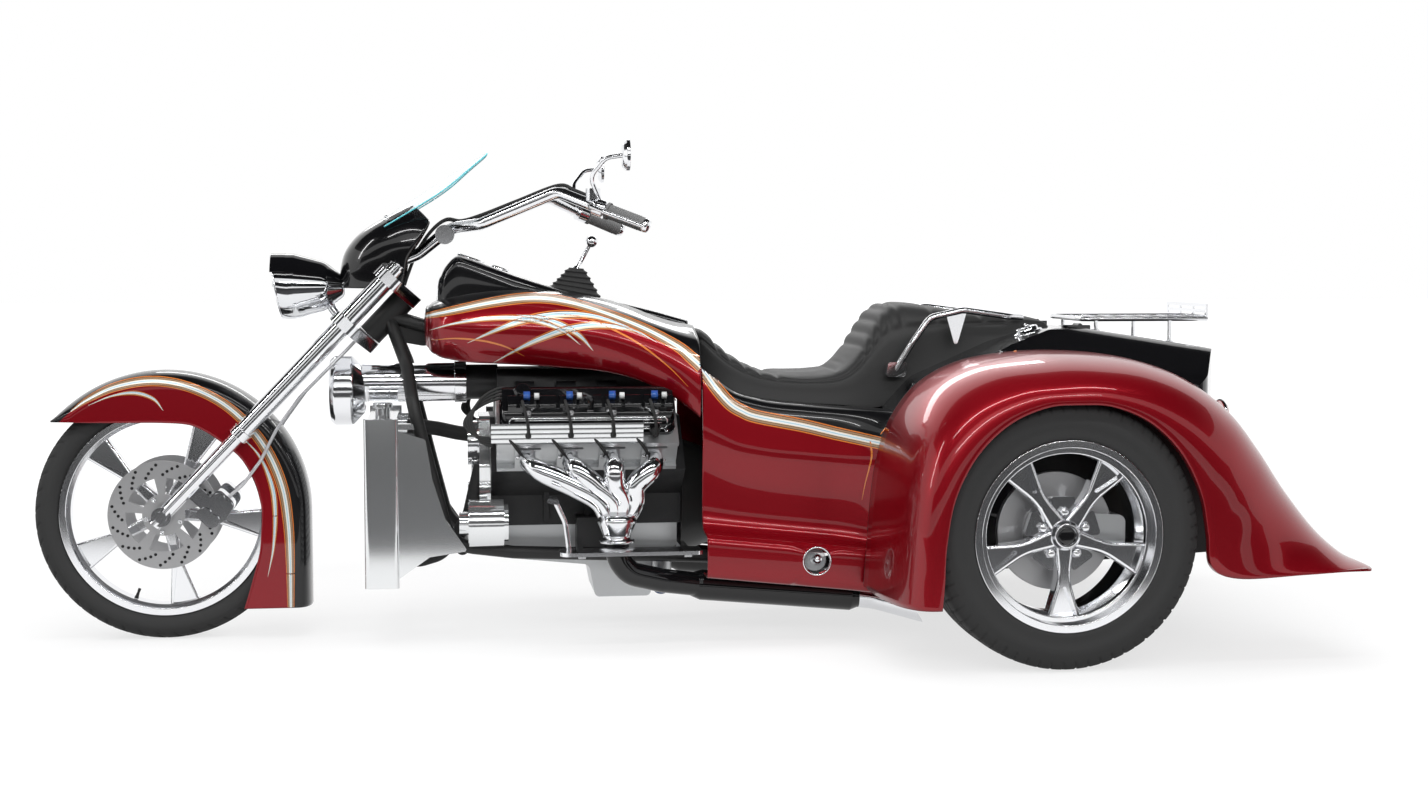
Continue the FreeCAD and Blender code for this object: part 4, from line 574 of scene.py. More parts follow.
def skin_group(kind: Skin) -> bpy.types.NodeTree:
    """Node group of a surface effect, made once.

    Every group takes Scale and Strength and gives a Shade that multiplies the colour, a Rough value to add to
    the roughness, and a Normal. Paint peel is slow noise, a cast skin is fine and coarse noise with pits,
    brushed lines are noise stretched along one axis, leather is the distance between cell edges under
    wrinkles, moulded rubber is fine noise with a dusty veil, and polish haze is very slow noise.

    Args:
        kind: which effect.
    Returns:
        The group.
    """
    if kind.value in bpy.data.node_groups:
        return bpy.data.node_groups[kind.value]
    tree = bpy.data.node_groups.new(kind.value, "ShaderNodeTree")
    for name, value in (("Scale", 1.0), ("Strength", 1.0)):
        tree.interface.new_socket(name, in_out="INPUT", socket_type="NodeSocketFloat").default_value = value
    for name, form in (("Shade", "NodeSocketColor"), ("Rough", "NodeSocketFloat"),
                       ("Normal", "NodeSocketVector")):
        tree.interface.new_socket(name, in_out="OUTPUT", socket_type=form)
    g = Graph(tree)
    ins, outs = g.add("NodeGroupInput"), g.add("NodeGroupOutput")
    where = g.add("TexCoord").outputs["Object"]

    def noise(scale: float, detail: float, vector: bpy.types.NodeSocket = where) -> bpy.types.NodeSocket:
        """Noise value.

        Args:
            scale: size of the noise, times the group's own scale.
            detail: how many finer layers it has.
            vector: where it is read.
        Returns:
            The value's socket.
        """
        size = g.math("MULTIPLY", ins.outputs["Scale"], scale)
        return g.add("TexNoise", {"Vector": vector, "Scale": size, "Detail": detail}).outputs["Fac"]

    # for each kind: the bump's height, the tone, what it does to shade and roughness, the bump's reach
    if kind is Skin.PEEL:
        height, tone, shades, rough, reach = noise(260, 2), noise(900, 1), (0.86, 1.0), (-0.02, 0.03), 0.0004
    elif kind is Skin.CAST:
        height = g.math("ADD", noise(420, 6), g.math("MULTIPLY", noise(60, 3), 0.6))
        tone, shades, rough, reach = noise(18, 5), (0.62, 1.08), (-0.08, 0.12), 0.0012
    elif kind is Skin.BRUSHED:
        lines = g.add("Mapping", {"Vector": where, "Scale": (1.0, 1.0, 38.0)}).outputs[0]
        height, tone = noise(40, 4, lines), noise(9, 3)
        shades, rough, reach = (0.80, 1.0), (-0.06, 0.10), 0.0002
    elif kind is Skin.GRAIN:
        size = g.math("MULTIPLY", ins.outputs["Scale"], 520.0)
        cell = g.add("TexVoronoi", {"Vector": where, "Scale": size},
                     feature="DISTANCE_TO_EDGE").outputs["Distance"]
        height = g.math("ADD", g.math("MINIMUM", g.math("MULTIPLY", cell, 4.0), 1.0),
                        g.math("MULTIPLY", noise(34, 5), 1.2))
        tone, shades, rough, reach = noise(22, 5), (0.72, 1.12), (-0.07, 0.10), 0.0009
    elif kind is Skin.RUBBER:
        height = g.math("ADD", noise(700, 4), g.math("MULTIPLY", noise(70, 2), 0.5))
        tone, shades, rough, reach = noise(12, 6), (0.75, 1.35), (-0.08, 0.10), 0.0007
    else:
        height, tone, shades, rough, reach = noise(30, 1), noise(14, 4), (0.93, 1.0), (0.0, 0.05), 0.00015
    shade = g.ramp(tone, [(0.3, (shades[0],) * 3), (0.7, (shades[1],) * 3)])
    spread = g.add("MapRange", {0: tone, 1: 0.3, 2: 0.7, 3: rough[0], 4: rough[1]}).outputs[0]
    bump = g.add("Bump", {"Strength": ins.outputs["Strength"], "Distance": reach, "Height": height})
    for socket, value in ((0, shade), (1, spread), (2, bump.outputs[0])):
        tree.links.new(value, outs.inputs[socket])
    return tree


@dataclass(frozen=True)
class Finish:
    """One finish: what its Principled shader holds, and the surface effect over it."""

    name: str
    colour: tuple[float, float, float]
    metallic: float = 0.0
    roughness: float = 0.4
    skin: Skin = Skin.SMUDGE
    scale: float = 1.0
    strength: float = 0.3
    coat: float = 0.0
    coat_roughness: float = 0.03
    transmission: float = 0.0
    ior: float = 1.5
    sheen: float = 0.0
    second: Optional[tuple[float, float, float]] = None
    edge: Optional[tuple[tuple[float, float], ...]] = None
    hub: Optional[tuple[float, float]] = None
    bands: Optional[tuple[tuple[float, tuple[float, float, float]], ...]] = None

    def material(self) -> bpy.types.Material:
        """The material, made once.

        A finish with a second colour is two-tone: beyond the edge line it shows the second colour. One with
        bands takes its colour from the surface's second UV parameter.

        Returns:
            The material.
        """
        if self.name in bpy.data.materials:
            return bpy.data.materials[self.name]
        made = bpy.data.materials.new(self.name)
        made.use_nodes = True
        g = Graph(made.node_tree)
        effect = g.add("Group", node_tree=skin_group(self.skin))
        effect.inputs["Scale"].default_value = self.scale
        effect.inputs["Strength"].default_value = self.strength
        out = g.add("OutputMaterial")
        shader = g.add("BsdfPrincipled", {
            "Metallic": self.metallic, "Roughness": self.roughness, "IOR": self.ior, "Coat Weight": self.coat,
            "Coat Roughness": self.coat_roughness, "Transmission Weight": self.transmission,
            "Sheen Weight": self.sheen})
        colour: object = self.colour
        if self.second and self.edge:
            mask = self._above(g)
            colour = g.mix(mask, self.colour, self.second)
            metal = g.math("MULTIPLY", g.math("SUBTRACT", 1.0, mask), self.metallic)
            made.node_tree.links.new(metal, shader.inputs["Metallic"])
        if self.bands:
            across = g.add("SeparateXYZ", {0: g.add("TexCoord").outputs["UV"]}).outputs["Y"]
            colour = g.ramp(across, self.bands, "CONSTANT")
        tint = g.mix(1.0, colour, effect.outputs["Shade"], "MULTIPLY")
        made.node_tree.links.new(tint, shader.inputs["Base Color"])
        if self.transmission == 0.0:
            rough = g.math("ADD", effect.outputs["Rough"], self.roughness)
            made.node_tree.links.new(rough, shader.inputs["Roughness"])
        made.node_tree.links.new(effect.outputs["Normal"], shader.inputs["Normal"])
        made.node_tree.links.new(shader.outputs[0], out.inputs["Surface"])
        return made

    def _above(self, g: Graph) -> bpy.types.NodeSocket:
        """Mask of the second colour.

        The edge line gives a height for each distance along or, where the finish has a hub, a radius for
        each angle round it. The mask is 1 beyond that line and fades over 0.8 mm.

        Args:
            g: the material's graph.
        Returns:
            The mask's socket.
        """
        line = np.array(self.edge, float)
        line[:, 1] *= MM
        line[:, 0] *= math.pi / 180 if self.hub else MM
        low, high = line.min(axis=0), line.max(axis=0)
        span = high - low
        xyz = g.add("SeparateXYZ", {0: g.add("TexCoord").outputs["Object"]})
        key, reach = xyz.outputs["X"], xyz.outputs["Z"]
        if self.hub:
            dx, dz = (g.math("SUBTRACT", socket, value * MM) for socket, value in zip((key, reach), self.hub))
            key = g.math("ARCTAN2", dz, dx)
            reach = g.math("SQRT", g.math("ADD", g.math("MULTIPLY", dx, dx), g.math("MULTIPLY", dz, dz)))
        share = g.add("MapRange", {0: key, 1: float(low[0]), 2: float(high[0]), 3: 0.0, 4: 1.0})
        curve = g.add("FloatCurve", {"Value": share.outputs[0]})
        dots = curve.mapping.curves[0].points
        places = (line - low) / span
        while len(dots) < len(places):
            dots.new(0.5, 0.5)
        for dot, (x, y) in zip(dots, places):
            dot.location = (float(x), float(y))
        curve.mapping.update()
        height = g.math("MULTIPLY_ADD", curve.outputs[0], float(span[1]), float(low[1]))
        over = g.math("SUBTRACT", reach, height)
        fade = 0.0004
        return g.add("MapRange", {0: over, 1: -fade, 2: fade, 3: 0.0, 4: 1.0}).outputs[0]


RED = (0.27, 0.0022, 0.0085)
BLACK = (0.0032, 0.0032, 0.0038)
BODY_LINE = ((56, 742), (70, 722), (100, 680), (133, 643), (165, 623), (207, 607), (331, 582), (425, 559),
             (534, 536), (572, 528))
TANK_LINE = ((-682, 868), (-665, 876), (-603, 890), (-495, 912), (-388, 924), (-300, 915), (-199, 886),
             (-89, 842), (-7, 797), (30, 766), (56, 742))
FORK_LINE = ((-1606, 624), (-1560, 656), (-1490, 688), (-1400, 703), (-1310, 690), (-1220, 648), (-1148, 585),
             (-1094, 508), (-1058, 415), (-1044, 320), (-1040, 220), (-1040, 86))


def round_hub(line: Sequence[Sequence[float]]) -> tuple[tuple[float, float], ...]:
    """Angle in degrees and radius round the front hub of the points of a line, angles rising.

    Args:
        line: rows of distance along and height.
    Returns:
        Rows of angle and radius.
    """
    away = np.array(line, float) - FRONT_HUB[[0, 2]]
    polar = np.stack([np.degrees(np.arctan2(away[:, 1], away[:, 0])), np.linalg.norm(away, axis=1)], axis=1)
    return tuple(map(tuple, polar[np.argsort(polar[:, 0])]))


CHROME = Finish("chrome", (0.80, 0.81, 0.83), 1.0, 0.045, Skin.SMUDGE, 1.0, 0.12)
POLISHED = Finish("polished_aluminium", (0.76, 0.77, 0.79), 1.0, 0.16, Skin.BRUSHED, 1.0, 0.25)
CAST_ALUMINIUM = Finish("cast_aluminium", (0.46, 0.47, 0.48), 1.0, 0.42, Skin.CAST, 1.0, 0.5)
CAST_IRON = Finish("engine_iron", (0.012, 0.012, 0.013), 0.0, 0.46, Skin.CAST, 1.0, 0.6)
DISC_STEEL = Finish("disc_steel", (0.34, 0.32, 0.31), 1.0, 0.30, Skin.BRUSHED, 1.0, 0.25)
BRAID = Finish("steel_braid", (0.62, 0.63, 0.66), 1.0, 0.26, Skin.CAST, 2.2, 0.5)
RED_PAINT = Finish("candy_red", RED, 0.55, 0.30, Skin.PEEL, 1.0, 0.05, coat=0.7, ior=1.3)
TANK_PAINT = replace(RED_PAINT, name="tank_two_tone", second=BLACK, edge=TANK_LINE)
FORK_PAINT = replace(RED_PAINT, name="front_fender_two_tone", second=BLACK, edge=round_hub(FORK_LINE),
                     hub=tuple(FRONT_HUB[[0, 2]]))
BODY_PAINT = replace(RED_PAINT, name="body_two_tone", second=BLACK, edge=BODY_LINE)
BLACK_PAINT = Finish("gloss_black", BLACK, 0.0, 0.20, Skin.PEEL, 1.0, 0.05, coat=1.0, ior=1.3)
FRAME_BLACK = Finish("frame_black", (0.010, 0.010, 0.011), 0.0, 0.30, Skin.PEEL, 0.6, 0.15, coat=0.4)
LEATHER = Finish("black_leather", (0.028, 0.028, 0.030), 0.0, 0.32, Skin.GRAIN, 1.0, 0.35, sheen=0.12)
TYRE = Finish("tyre_rubber", (0.016, 0.016, 0.017), 0.0, 0.62, Skin.RUBBER, 1.0, 0.4)
HOSE = Finish("hose_rubber", (0.012, 0.012, 0.012), 0.0, 0.50, Skin.RUBBER, 1.4, 0.4)
GRIP = Finish("grip_rubber", (0.060, 0.058, 0.058), 0.0, 0.55, Skin.RUBBER, 1.6, 0.5)
PLASTIC = Finish("moulded_plastic", (0.013, 0.013, 0.014), 0.0, 0.44, Skin.CAST, 1.5, 0.3)
GLASS = Finish("clear_glass", (0.84, 0.89, 0.90), 0.0, 0.02, Skin.SMUDGE, 1.0, 0.02, transmission=1.0,
               ior=1.46)
# black but for the tip, whose edge is where the line crosses the pipes' height
PIPE = replace(CHROME, name="exhaust_pipe", roughness=0.06, second=(0.008, 0.008, 0.009),
               edge=((-300, -100), (488, -90), (496, 390), (700, 400)))
LAMP_SHELL = replace(CHROME, name="lamp_chrome", second=BLACK, edge=((-1100, 978), (-990, 972), (-870, 958)))
CARD = Finish("dark_card", (0.03, 0.03, 0.032), 0.0, 0.9, Skin.SMUDGE, 1.0, 0.0)
RED_LENS = Finish("red_lens", (0.60, 0.010, 0.010), 0.0, 0.06, Skin.SMUDGE, 1.0, 0.05, transmission=0.55)

SLOT_FINISH = {"tyre_rubber": TYRE, "chrome": CHROME, "disc_steel": DISC_STEEL, "red_paint": RED_PAINT,
               "black_paint": BLACK_PAINT, "frame_black": FRAME_BLACK, "cast_iron": CAST_IRON,
               "cast_aluminium": CAST_ALUMINIUM, "polished_aluminium": POLISHED, "black_leather": LEATHER,
               "hose_rubber": HOSE, "grip_rubber": GRIP, "clear_glass": GLASS, "red_lens": RED_LENS,
               "black_plastic": PLASTIC, "steel_braid": BRAID}
# nodes whose finish isn't their slot's
NODE_FINISH = {"coil_rails": BLACK_PAINT, "exhaust_system": PIPE, "headlight_shell": LAMP_SHELL}


def dress_nodes() -> None:
    """Gives every CAD node its own finish, or the one that its record slot names."""
    for part in frame["record"]["subparts"]:
        item = frame["nodes"][part["node"]]
        item.data.materials.clear()
        finish = NODE_FINISH.get(part["node"], SLOT_FINISH[part["material_slot"]])
        item.data.materials.append(finish.material())


# ---------------------------------------------------------------- studio
@dataclass
class Studio:
    """Pale floor, soft lamps, dark cards for metal to reflect, and the camera."""

    eye: tuple[float, float, float] = (-0.62360, -5.53602, 1.03350)
    yaw: float = 7.75
    pitch: float = 4.155
    lens: float = 50.17
    floor_half: float = 40.0
    # the floor nears white between these two distances, from this brightness
    floor_fade: tuple[float, float] = (1.5, 5.0)
    floor_near: float = 0.72
    # name, place, size, power, aimed at, seen in reflections
    lamps: tuple = (
        ("overhead_soft", (0.2, -0.4, 3.6), (4.6, 2.6), 110.0, (0.1, 0.0, 0.4), False),
        ("side_soft", (-0.2, -4.6, 2.6), (4.4, 1.6), 95.0, (0.0, 0.0, 0.5), False),
        ("high_strip", (0.0, -2.3, 3.1), (5.0, 0.13), 40.0, (0.0, 0.0, 0.5), True),
        ("low_strip", (0.3, -4.4, 2.2), (4.2, 0.09), 26.0, (0.0, 0.0, 0.5), True),
        ("front_strip", (-3.4, -1.2, 2.2), (0.12, 1.8), 14.0, (-0.8, 0.0, 0.5), True),
        ("back_strip", (0.0, 3.2, 2.6), (4.0, 0.4), 30.0, (0.0, 0.0, 0.6), True))
    # name, half width, then y and z of the near and of the far edge
    cards: tuple = (
        ("low_card", 16.0, (-9.0, 1.0), (-9.0, 3.2)),
        ("high_card", 16.0, (-9.0, 6.2), (6.0, 9.5)),
        ("floor_card", 16.0, (-12.0, 0.004), (-1.9, 0.004)))

    def build(self) -> None:
        """Makes the camera, the floor, the lamps, the cards and the world."""
        self._camera()
        self._floor()
        for lamp in self.lamps:
            self._lamp(*lamp)
        for card in self.cards:
            self._card(*card)
        self._world()
        bpy.context.scene.view_settings.view_transform = "Standard"

    def _camera(self) -> None:
        """Camera at the eye point, turned by yaw and pitch."""
        data = bpy.data.cameras.new("camera")
        data.lens = self.lens
        data.sensor_width = 36.0
        item = bpy.data.objects.new("camera", data)
        item.location = self.eye
        item.rotation_euler = (math.radians(90.0 - self.pitch), 0.0, math.radians(-self.yaw))
        bpy.context.scene.collection.objects.link(item)
        bpy.context.scene.camera = item

    def _floor(self) -> None:
        """Pale floor that shows nearly white and keeps the object's shadow."""
        item = self._quad("floor", self.floor_half, (-self.floor_half, 0.0), (self.floor_half, 0.0))
        made = bpy.data.materials.new("pale_floor")
        made.use_nodes = True
        g = Graph(made.node_tree)
        grain = g.add("TexNoise", {"Vector": g.add("TexCoord").outputs["Object"], "Scale": 3.0})
        shader = g.add("BsdfPrincipled", {"Roughness": 0.9, "Emission Color": (1.0, 1.0, 1.0, 1.0)})
        near = g.ramp(grain.outputs["Fac"], [(0.0, (0.21, 0.21, 0.21)), (1.0, (0.23, 0.23, 0.23))])
        away = g.add("VectorMath", {0: g.add("TexCoord").outputs["Object"]},
                     operation="LENGTH").outputs["Value"]
        start, end = self.floor_fade
        far = g.add("MapRange", {0: away, 1: start, 2: end, 3: self.floor_near, 4: 1.0}).outputs[0]
        made.node_tree.links.new(near, shader.inputs["Base Color"])
        made.node_tree.links.new(g.math("MULTIPLY", g.seen(), far), shader.inputs["Emission Strength"])
        made.node_tree.links.new(shader.outputs[0], g.add("OutputMaterial").inputs["Surface"])
        item.data.materials.append(made)

    @staticmethod
    def _quad(name: str, half: float, low: tuple, high: tuple) -> bpy.types.Object:
        """One flat rectangle.

        Args:
            name: its name.
            half: half its width, along x.
            low: y and z of one long edge.
            high: y and z of the other.
        Returns:
            The object.
        """
        verts = np.array([(-half, *low), (half, *low), (half, *high), (-half, *high)], float)
        return new_object(name, verts, np.array([[0, 1, 2, 3]]))

    def _lamp(self, name: str, spot: tuple, size: tuple, power: float, target: tuple, seen: bool) -> None:
        """One rectangular area lamp.

        Args:
            name: its name.
            spot: its place.
            size: its width and height.
            power: its power in watts.
            target: the point it is aimed at.
            seen: whether it shows in reflections; soft lamps don't.
        """
        data = bpy.data.lights.new(name, "AREA")
        data.shape = "RECTANGLE"
        data.size, data.size_y = size
        data.energy = power
        item = bpy.data.objects.new(name, data)
        item.location = spot
        aim = np.array(target) - np.array(spot)
        aim /= np.linalg.norm(aim)
        item.rotation_euler = (math.acos(-aim[2]), 0.0, math.atan2(-aim[0], aim[1]))
        item.visible_glossy = seen
        bpy.context.scene.collection.objects.link(item)

    def _card(self, name: str, half: float, low: tuple, high: tuple) -> None:
        """One dark card, which only reflections show.

        Args:
            name: its name.
            half: half its width, along x.
            low: y and z of one long edge.
            high: y and z of the other.
        """
        item = coloured(self._quad(name, half, low, high), CARD)
        item.visible_camera = item.visible_diffuse = item.visible_shadow = item.visible_transmission = False

    def _world(self) -> None:
        """White to the camera, metal and glass; a soft grey fill to all else."""
        world = bpy.data.worlds.new("studio")
        world.use_nodes = True
        bpy.context.scene.world = world
        g = Graph(world.node_tree)
        fill = g.add("Background", {"Color": (0.62, 0.63, 0.65, 1.0), "Strength": 0.55})
        white = g.add("Background", {"Color": (1.0, 1.0, 1.0, 1.0), "Strength": 1.0})
        last = g.add("MixShader", {0: g.seen(), 1: fill.outputs[0], 2: white.outputs[0]})
        world.node_tree.links.new(last.outputs[0], g.add("OutputWorld").inputs["Surface"])


# ---------------------------------------------------------------- wheels
@dataclass
class Tyre:
    """One tyre with its side walls, shoulder and cut tread."""

    node: str
    body: str
    joint: str
    half_width: float
    bead_r: float
    rim_half: float
    blocks: int
    grooves: tuple[float, ...]
    slant: float
    groove_depth: float = 5.0
    groove_half: float = 3.4
    # share of a block's pitch that a slanted cut takes
    cut_share: float = 0.13
    turns: int = 504

    def build(self) -> None:
        """Makes the tyre.

        The section runs from bead to bead as a smooth curve. A point on the tread lies lower by the groove
        depth where the sum of the circumferential grooves and the slanted cuts is one; a slanted cut is a
        narrow band of the sawtooth of block count times angle plus slant times distance from the middle.
        """
        hub = joint_point(self.joint)
        radius = hub[2] / MM
        wall = radius - self.bead_r
        bead, half = self.rim_half - 7.2, self.half_width
        # distance from the middle, radius
        section = [(bead, self.bead_r + 1), (bead + 0.5, self.bead_r + 13.4), (bead + 6, self.bead_r + 16),
                   (half - 5, self.bead_r + 0.34 * wall), (half - 0.6, self.bead_r + 0.52 * wall),
                   (half - 3, self.bead_r + 0.68 * wall), (half - 9, self.bead_r + 0.83 * wall),
                   (half - 24, self.bead_r + 0.955 * wall), (half * 0.42, radius - 0.4), (0.0, radius)]
        side = smooth(section, 41)
        rows = np.vstack([side, side[-2::-1] * [-1, 1]])
        y, r = rows[:, 0], rows[:, 1]
        height = (r - self.bead_r) / wall
        turn = np.linspace(0, TAU, self.turns, endpoint=False)
        cross = np.abs(y)[None, :]
        tread = ease(cross, half - 26, half - 30) * ease(height[None, :], 0.86, 0.90)
        rings = sum(np.exp(-((y[None, :] - g) / self.groove_half) ** 4) for g in self.grooves)
        saw = (self.blocks * turn[:, None] / TAU + self.slant * cross / half) % 1.0
        bars = np.exp(-((saw - 0.5) * 2 / self.cut_share) ** 4) * ease(cross, 0.30 * half, 0.36 * half)
        shoulder = ease(height[None, :], 0.74, 0.80)
        cut = np.clip(rings * tread + bars * shoulder, 0, 1)
        # two moulded ribs round the side wall: height, rise and width of each
        ribs = sum(rise * np.exp(-(((height - at) * wall / width) ** 2))
                   for at, rise, width in ((0.20, 0.5, 1.2), (0.62, 0.6, 1.6)))
        radial = r[None, :] - self.groove_depth * cut
        across = y[None, :] - np.sign(y)[None, :] * (cut * (1 - tread) * 1.5 - ribs[None, :])
        grid = np.stack([radial * np.cos(turn)[:, None], across, radial * np.sin(turn)[:, None]], axis=2) * MM
        skin = surface(self.node + "_skin", grid + hub, (True, False), flip=True)
        place(skin, self.body, TYRE, [self.node])


# ---------------------------------------------------------------- painted skins
@dataclass
class RearFender:
    """Pontoon over a rear wheel: crown, rounded side down to the arch, and swept tail."""

    inner_y: float = 424.0
    outer_y: float = 838.0
    wall: float = 4.0
    liner: float = 3.0
    lip: float = 20.0
    # x and z that the lip turns toward and that the inner wall closes on, measured from under the axle
    arch_middle: tuple[float, float] = (15.0, 345.0)
    wall_middle: tuple[float, float] = (60.0, 215.0)
    # outline x, outline z, arch or lower edge x and z, measured from under the axle
    stations: tuple = (
        (-440, 166, -330, 168), (-432, 270, -325, 232), (-424, 385, -320, 330), (-408, 500, -298, 446),
        (-372, 610, -244, 550), (-300, 702, -164, 626), (-190, 760, -70, 666), (-50, 784, 15, 672),
        (90, 787, 100, 666), (230, 772, 194, 626), (360, 728, 274, 550), (475, 650, 328, 446),
        (560, 552, 348, 345), (640, 440, 360, 262), (718, 340, 430, 232), (775, 278, 600, 238),
        (803, 253, 770, 247))

    def build(self) -> None:
        """Makes the left fender and its twin.

        A point is found from the station's outline point O and edge point A. Along the cross-section an
        angle goes from 0 to a quarter turn: the distance out grows as its sine to the power 0.62 and the
        drop from O toward A as one minus its cosine to the power 0.78, which is a rounded-square quarter.
        Past the edge the skin turns in as a narrow lip, and before the outline a flat inner wall closes it.
        """
        run = smooth(self.stations, 150)
        outline, edge = run[:, None, :2], run[:, None, 2:]
        angle = np.linspace(0, math.pi / 2, 40)[None, :, None]
        drop = 1 - np.cos(angle) ** 0.78
        reach = np.sin(angle) ** 0.62
        body = outline + (edge - outline) * drop
        y_out = -(self.inner_y + (self.outer_y - self.inner_y) * reach) * np.ones_like(body[..., :1])
        turn = np.linspace(0.25, 1, 6)[None, :, None]
        inward = np.array(self.arch_middle) - edge
        inward /= np.linalg.norm(inward, axis=2, keepdims=True)
        lip = edge + inward * 3.0 * np.sin(turn * math.pi / 2)
        y_lip = -(self.outer_y - self.lip * turn**2) * np.ones_like(lip[..., :1])
        flat = np.concatenate([body, lip], axis=1)
        across = np.concatenate([y_out, y_lip], axis=1)[..., 0]
        grid = np.stack([flat[..., 0] + AXLE_X, across, flat[..., 1]], axis=2) * MM
        skin = coloured(walled(surface("fender_skin_left", grid), -self.wall * MM), RED_PAINT)
        flat = outline + (np.array(self.wall_middle) - outline) * np.linspace(0, 1, 12)[None, :, None]
        across = np.full(flat.shape[:2], -self.inner_y - self.liner / 2)
        grid = np.stack([flat[..., 0] + AXLE_X, across, flat[..., 1]], axis=2) * MM
        liner = coloured(walled(surface("fender_liner_left", grid, flip=True), self.liner * MM), FRAME_BLACK)
        left = joined("fender_left_skin", [skin, liner])
        right = mirrored(left, "fender_right_skin")
        place(left, "chassis", None, ["fender_left"])
        place(right, "chassis", None, ["fender_right"])


@dataclass
class FrontFender:
    """Crown that follows the front tyre, with deep skirts and a straight tail."""

    half: float = 84.0
    radius: float = 382.0
    depth: float = 38.0
    wall: float = 4.0
    # angle on the crown, skirt edge x and z from the hub; past 0 the crown goes straight down
    stations: tuple = (
        (138.5, -286, 253), (130, -246, 252), (118, -180, 250), (104, -92, 249), (92, -5, 248), (80, 64, 243),
        (70, 103, 229), (58, 146, 201), (42, 205, 150), (25, 240, 85), (10, 256, 25), (0, 258, -11),
        (-50, 255, -62), (-100, 250, -110), (-180, 230, -185), (-259, 208, -259))

    def build(self) -> bpy.types.Object:
        """Makes the fender.

        The crown line is an arc round the hub that runs straight down behind the wheel. From it, the
        section is a quarter of a rounded square as deep as the depth, and below that the skirt falls
        straight toward the skirt edge, whose points pair with those of the crown line.

        Returns:
            The fender's skin.
        """
        rows = smooth(self.stations, 130)
        angle = np.radians(np.maximum(rows[:, 0], 0))
        fall = np.minimum(rows[:, 0], 0)
        crown = np.stack([self.radius * np.cos(angle), self.radius * np.sin(angle) + fall], axis=1)[:, None]
        edge = rows[:, None, 1:]
        gap = np.linalg.norm(edge - crown, axis=2, keepdims=True)
        down = (edge - crown) / gap
        deep = np.minimum(self.depth, 0.8 * gap)
        turn = np.linspace(0, math.pi / 2, 22)[None, :, None]
        first = crown + down * deep * (1 - np.cos(turn) ** 0.8)
        y_first = self.half * np.sin(turn) ** 0.8 * np.ones_like(first[..., :1])
        share = np.linspace(0, 1, 15)[None, 1:, None]
        second = crown + down * (deep + (gap - deep) * share)
        y_second = self.half * np.ones_like(second[..., :1])
        flat = np.concatenate([first, second], axis=1)
        half = np.concatenate([flat, np.concatenate([y_first, y_second], axis=1)], axis=2)
        whole = np.concatenate([half[:, ::-1] * [1, 1, -1], half[:, 1:]], axis=1)
        grid = np.stack([whole[..., 0] + FRONT_HUB[0], whole[..., 2], whole[..., 1] + FRONT_HUB[2]],
                        axis=2) * MM
        skin = walled(surface("front_fender_skin", grid), -self.wall * MM)
        return place(skin, "fork", FORK_PAINT, ["front_fender"])


@dataclass
class Tank:
    """Long tank that swells from the nose and flares down to the body side."""

    wall: float = 3.0
    # x from the engine's front, crown half width and height, widest half width and height, lower edge
    stations: tuple = (
        (-173, 20, 495, 30, 486, 20, 470), (-170, 62, 519, 98, 491, 72, 446),
        (-161, 84, 531, 143, 492, 112, 426), (-139, 100, 545, 184, 488, 146, 408),
        (-103, 106, 556, 212, 487, 170, 398), (-60, 110, 565, 230, 486, 190, 392),
        (20, 110, 574, 240, 486, 202, 388), (100, 110, 576, 244, 484, 207, 384),
        (200, 112, 570, 247, 478, 214, 376), (300, 115, 553, 252, 468, 228, 367),
        (380, 118, 531, 260, 448, 242, 348), (440, 121, 508, 268, 428, 256, 324),
        (500, 126, 489, 283, 402, 278, 290), (554, 131, 478, 298, 372, 299, 246))

    def build(self) -> bpy.types.Object:
        """Makes the tank's skin.

        Along the tank each value of the table is blended by cubics. Across it, the section is a smooth
        curve through the crown, shoulder, widest point, flank and lower edge, with a lip turned under.

        Returns:
            The skin.
        """
        # close rings where the nose turns in, even ones behind it
        x = np.concatenate([-173 + 38 * np.linspace(0, 1, 24) ** 1.8, np.linspace(-134, 554, 86)])
        top, top_z, wide, wide_z, low, low_z = through(x, self.stations).T
        swell, drop = wide - top, top_z - wide_z
        whole = half_section([
            (0 * top, top_z + 1.5), (top * 0.6, top_z + 1), (top, top_z - 1),
            (top + swell * 0.45, top_z - drop * 0.18), (top + swell * 0.80, wide_z + drop * 0.58),
            (wide, wide_z), ((wide + low) / 2 + 8, (wide_z + low_z) / 2), (low, low_z + 4),
            (low - 7, low_z - 1), (low - 34, low_z + 3)], 54)
        grid = np.stack([np.broadcast_to(x, whole.shape[:2]), whole[..., 0], whole[..., 1]], axis=2) + BAY
        skin = walled(surface("tank_skin", grid.transpose(1, 0, 2) * MM), -self.wall * MM)
        return place(skin, "chassis", TANK_PAINT, ["tank"])


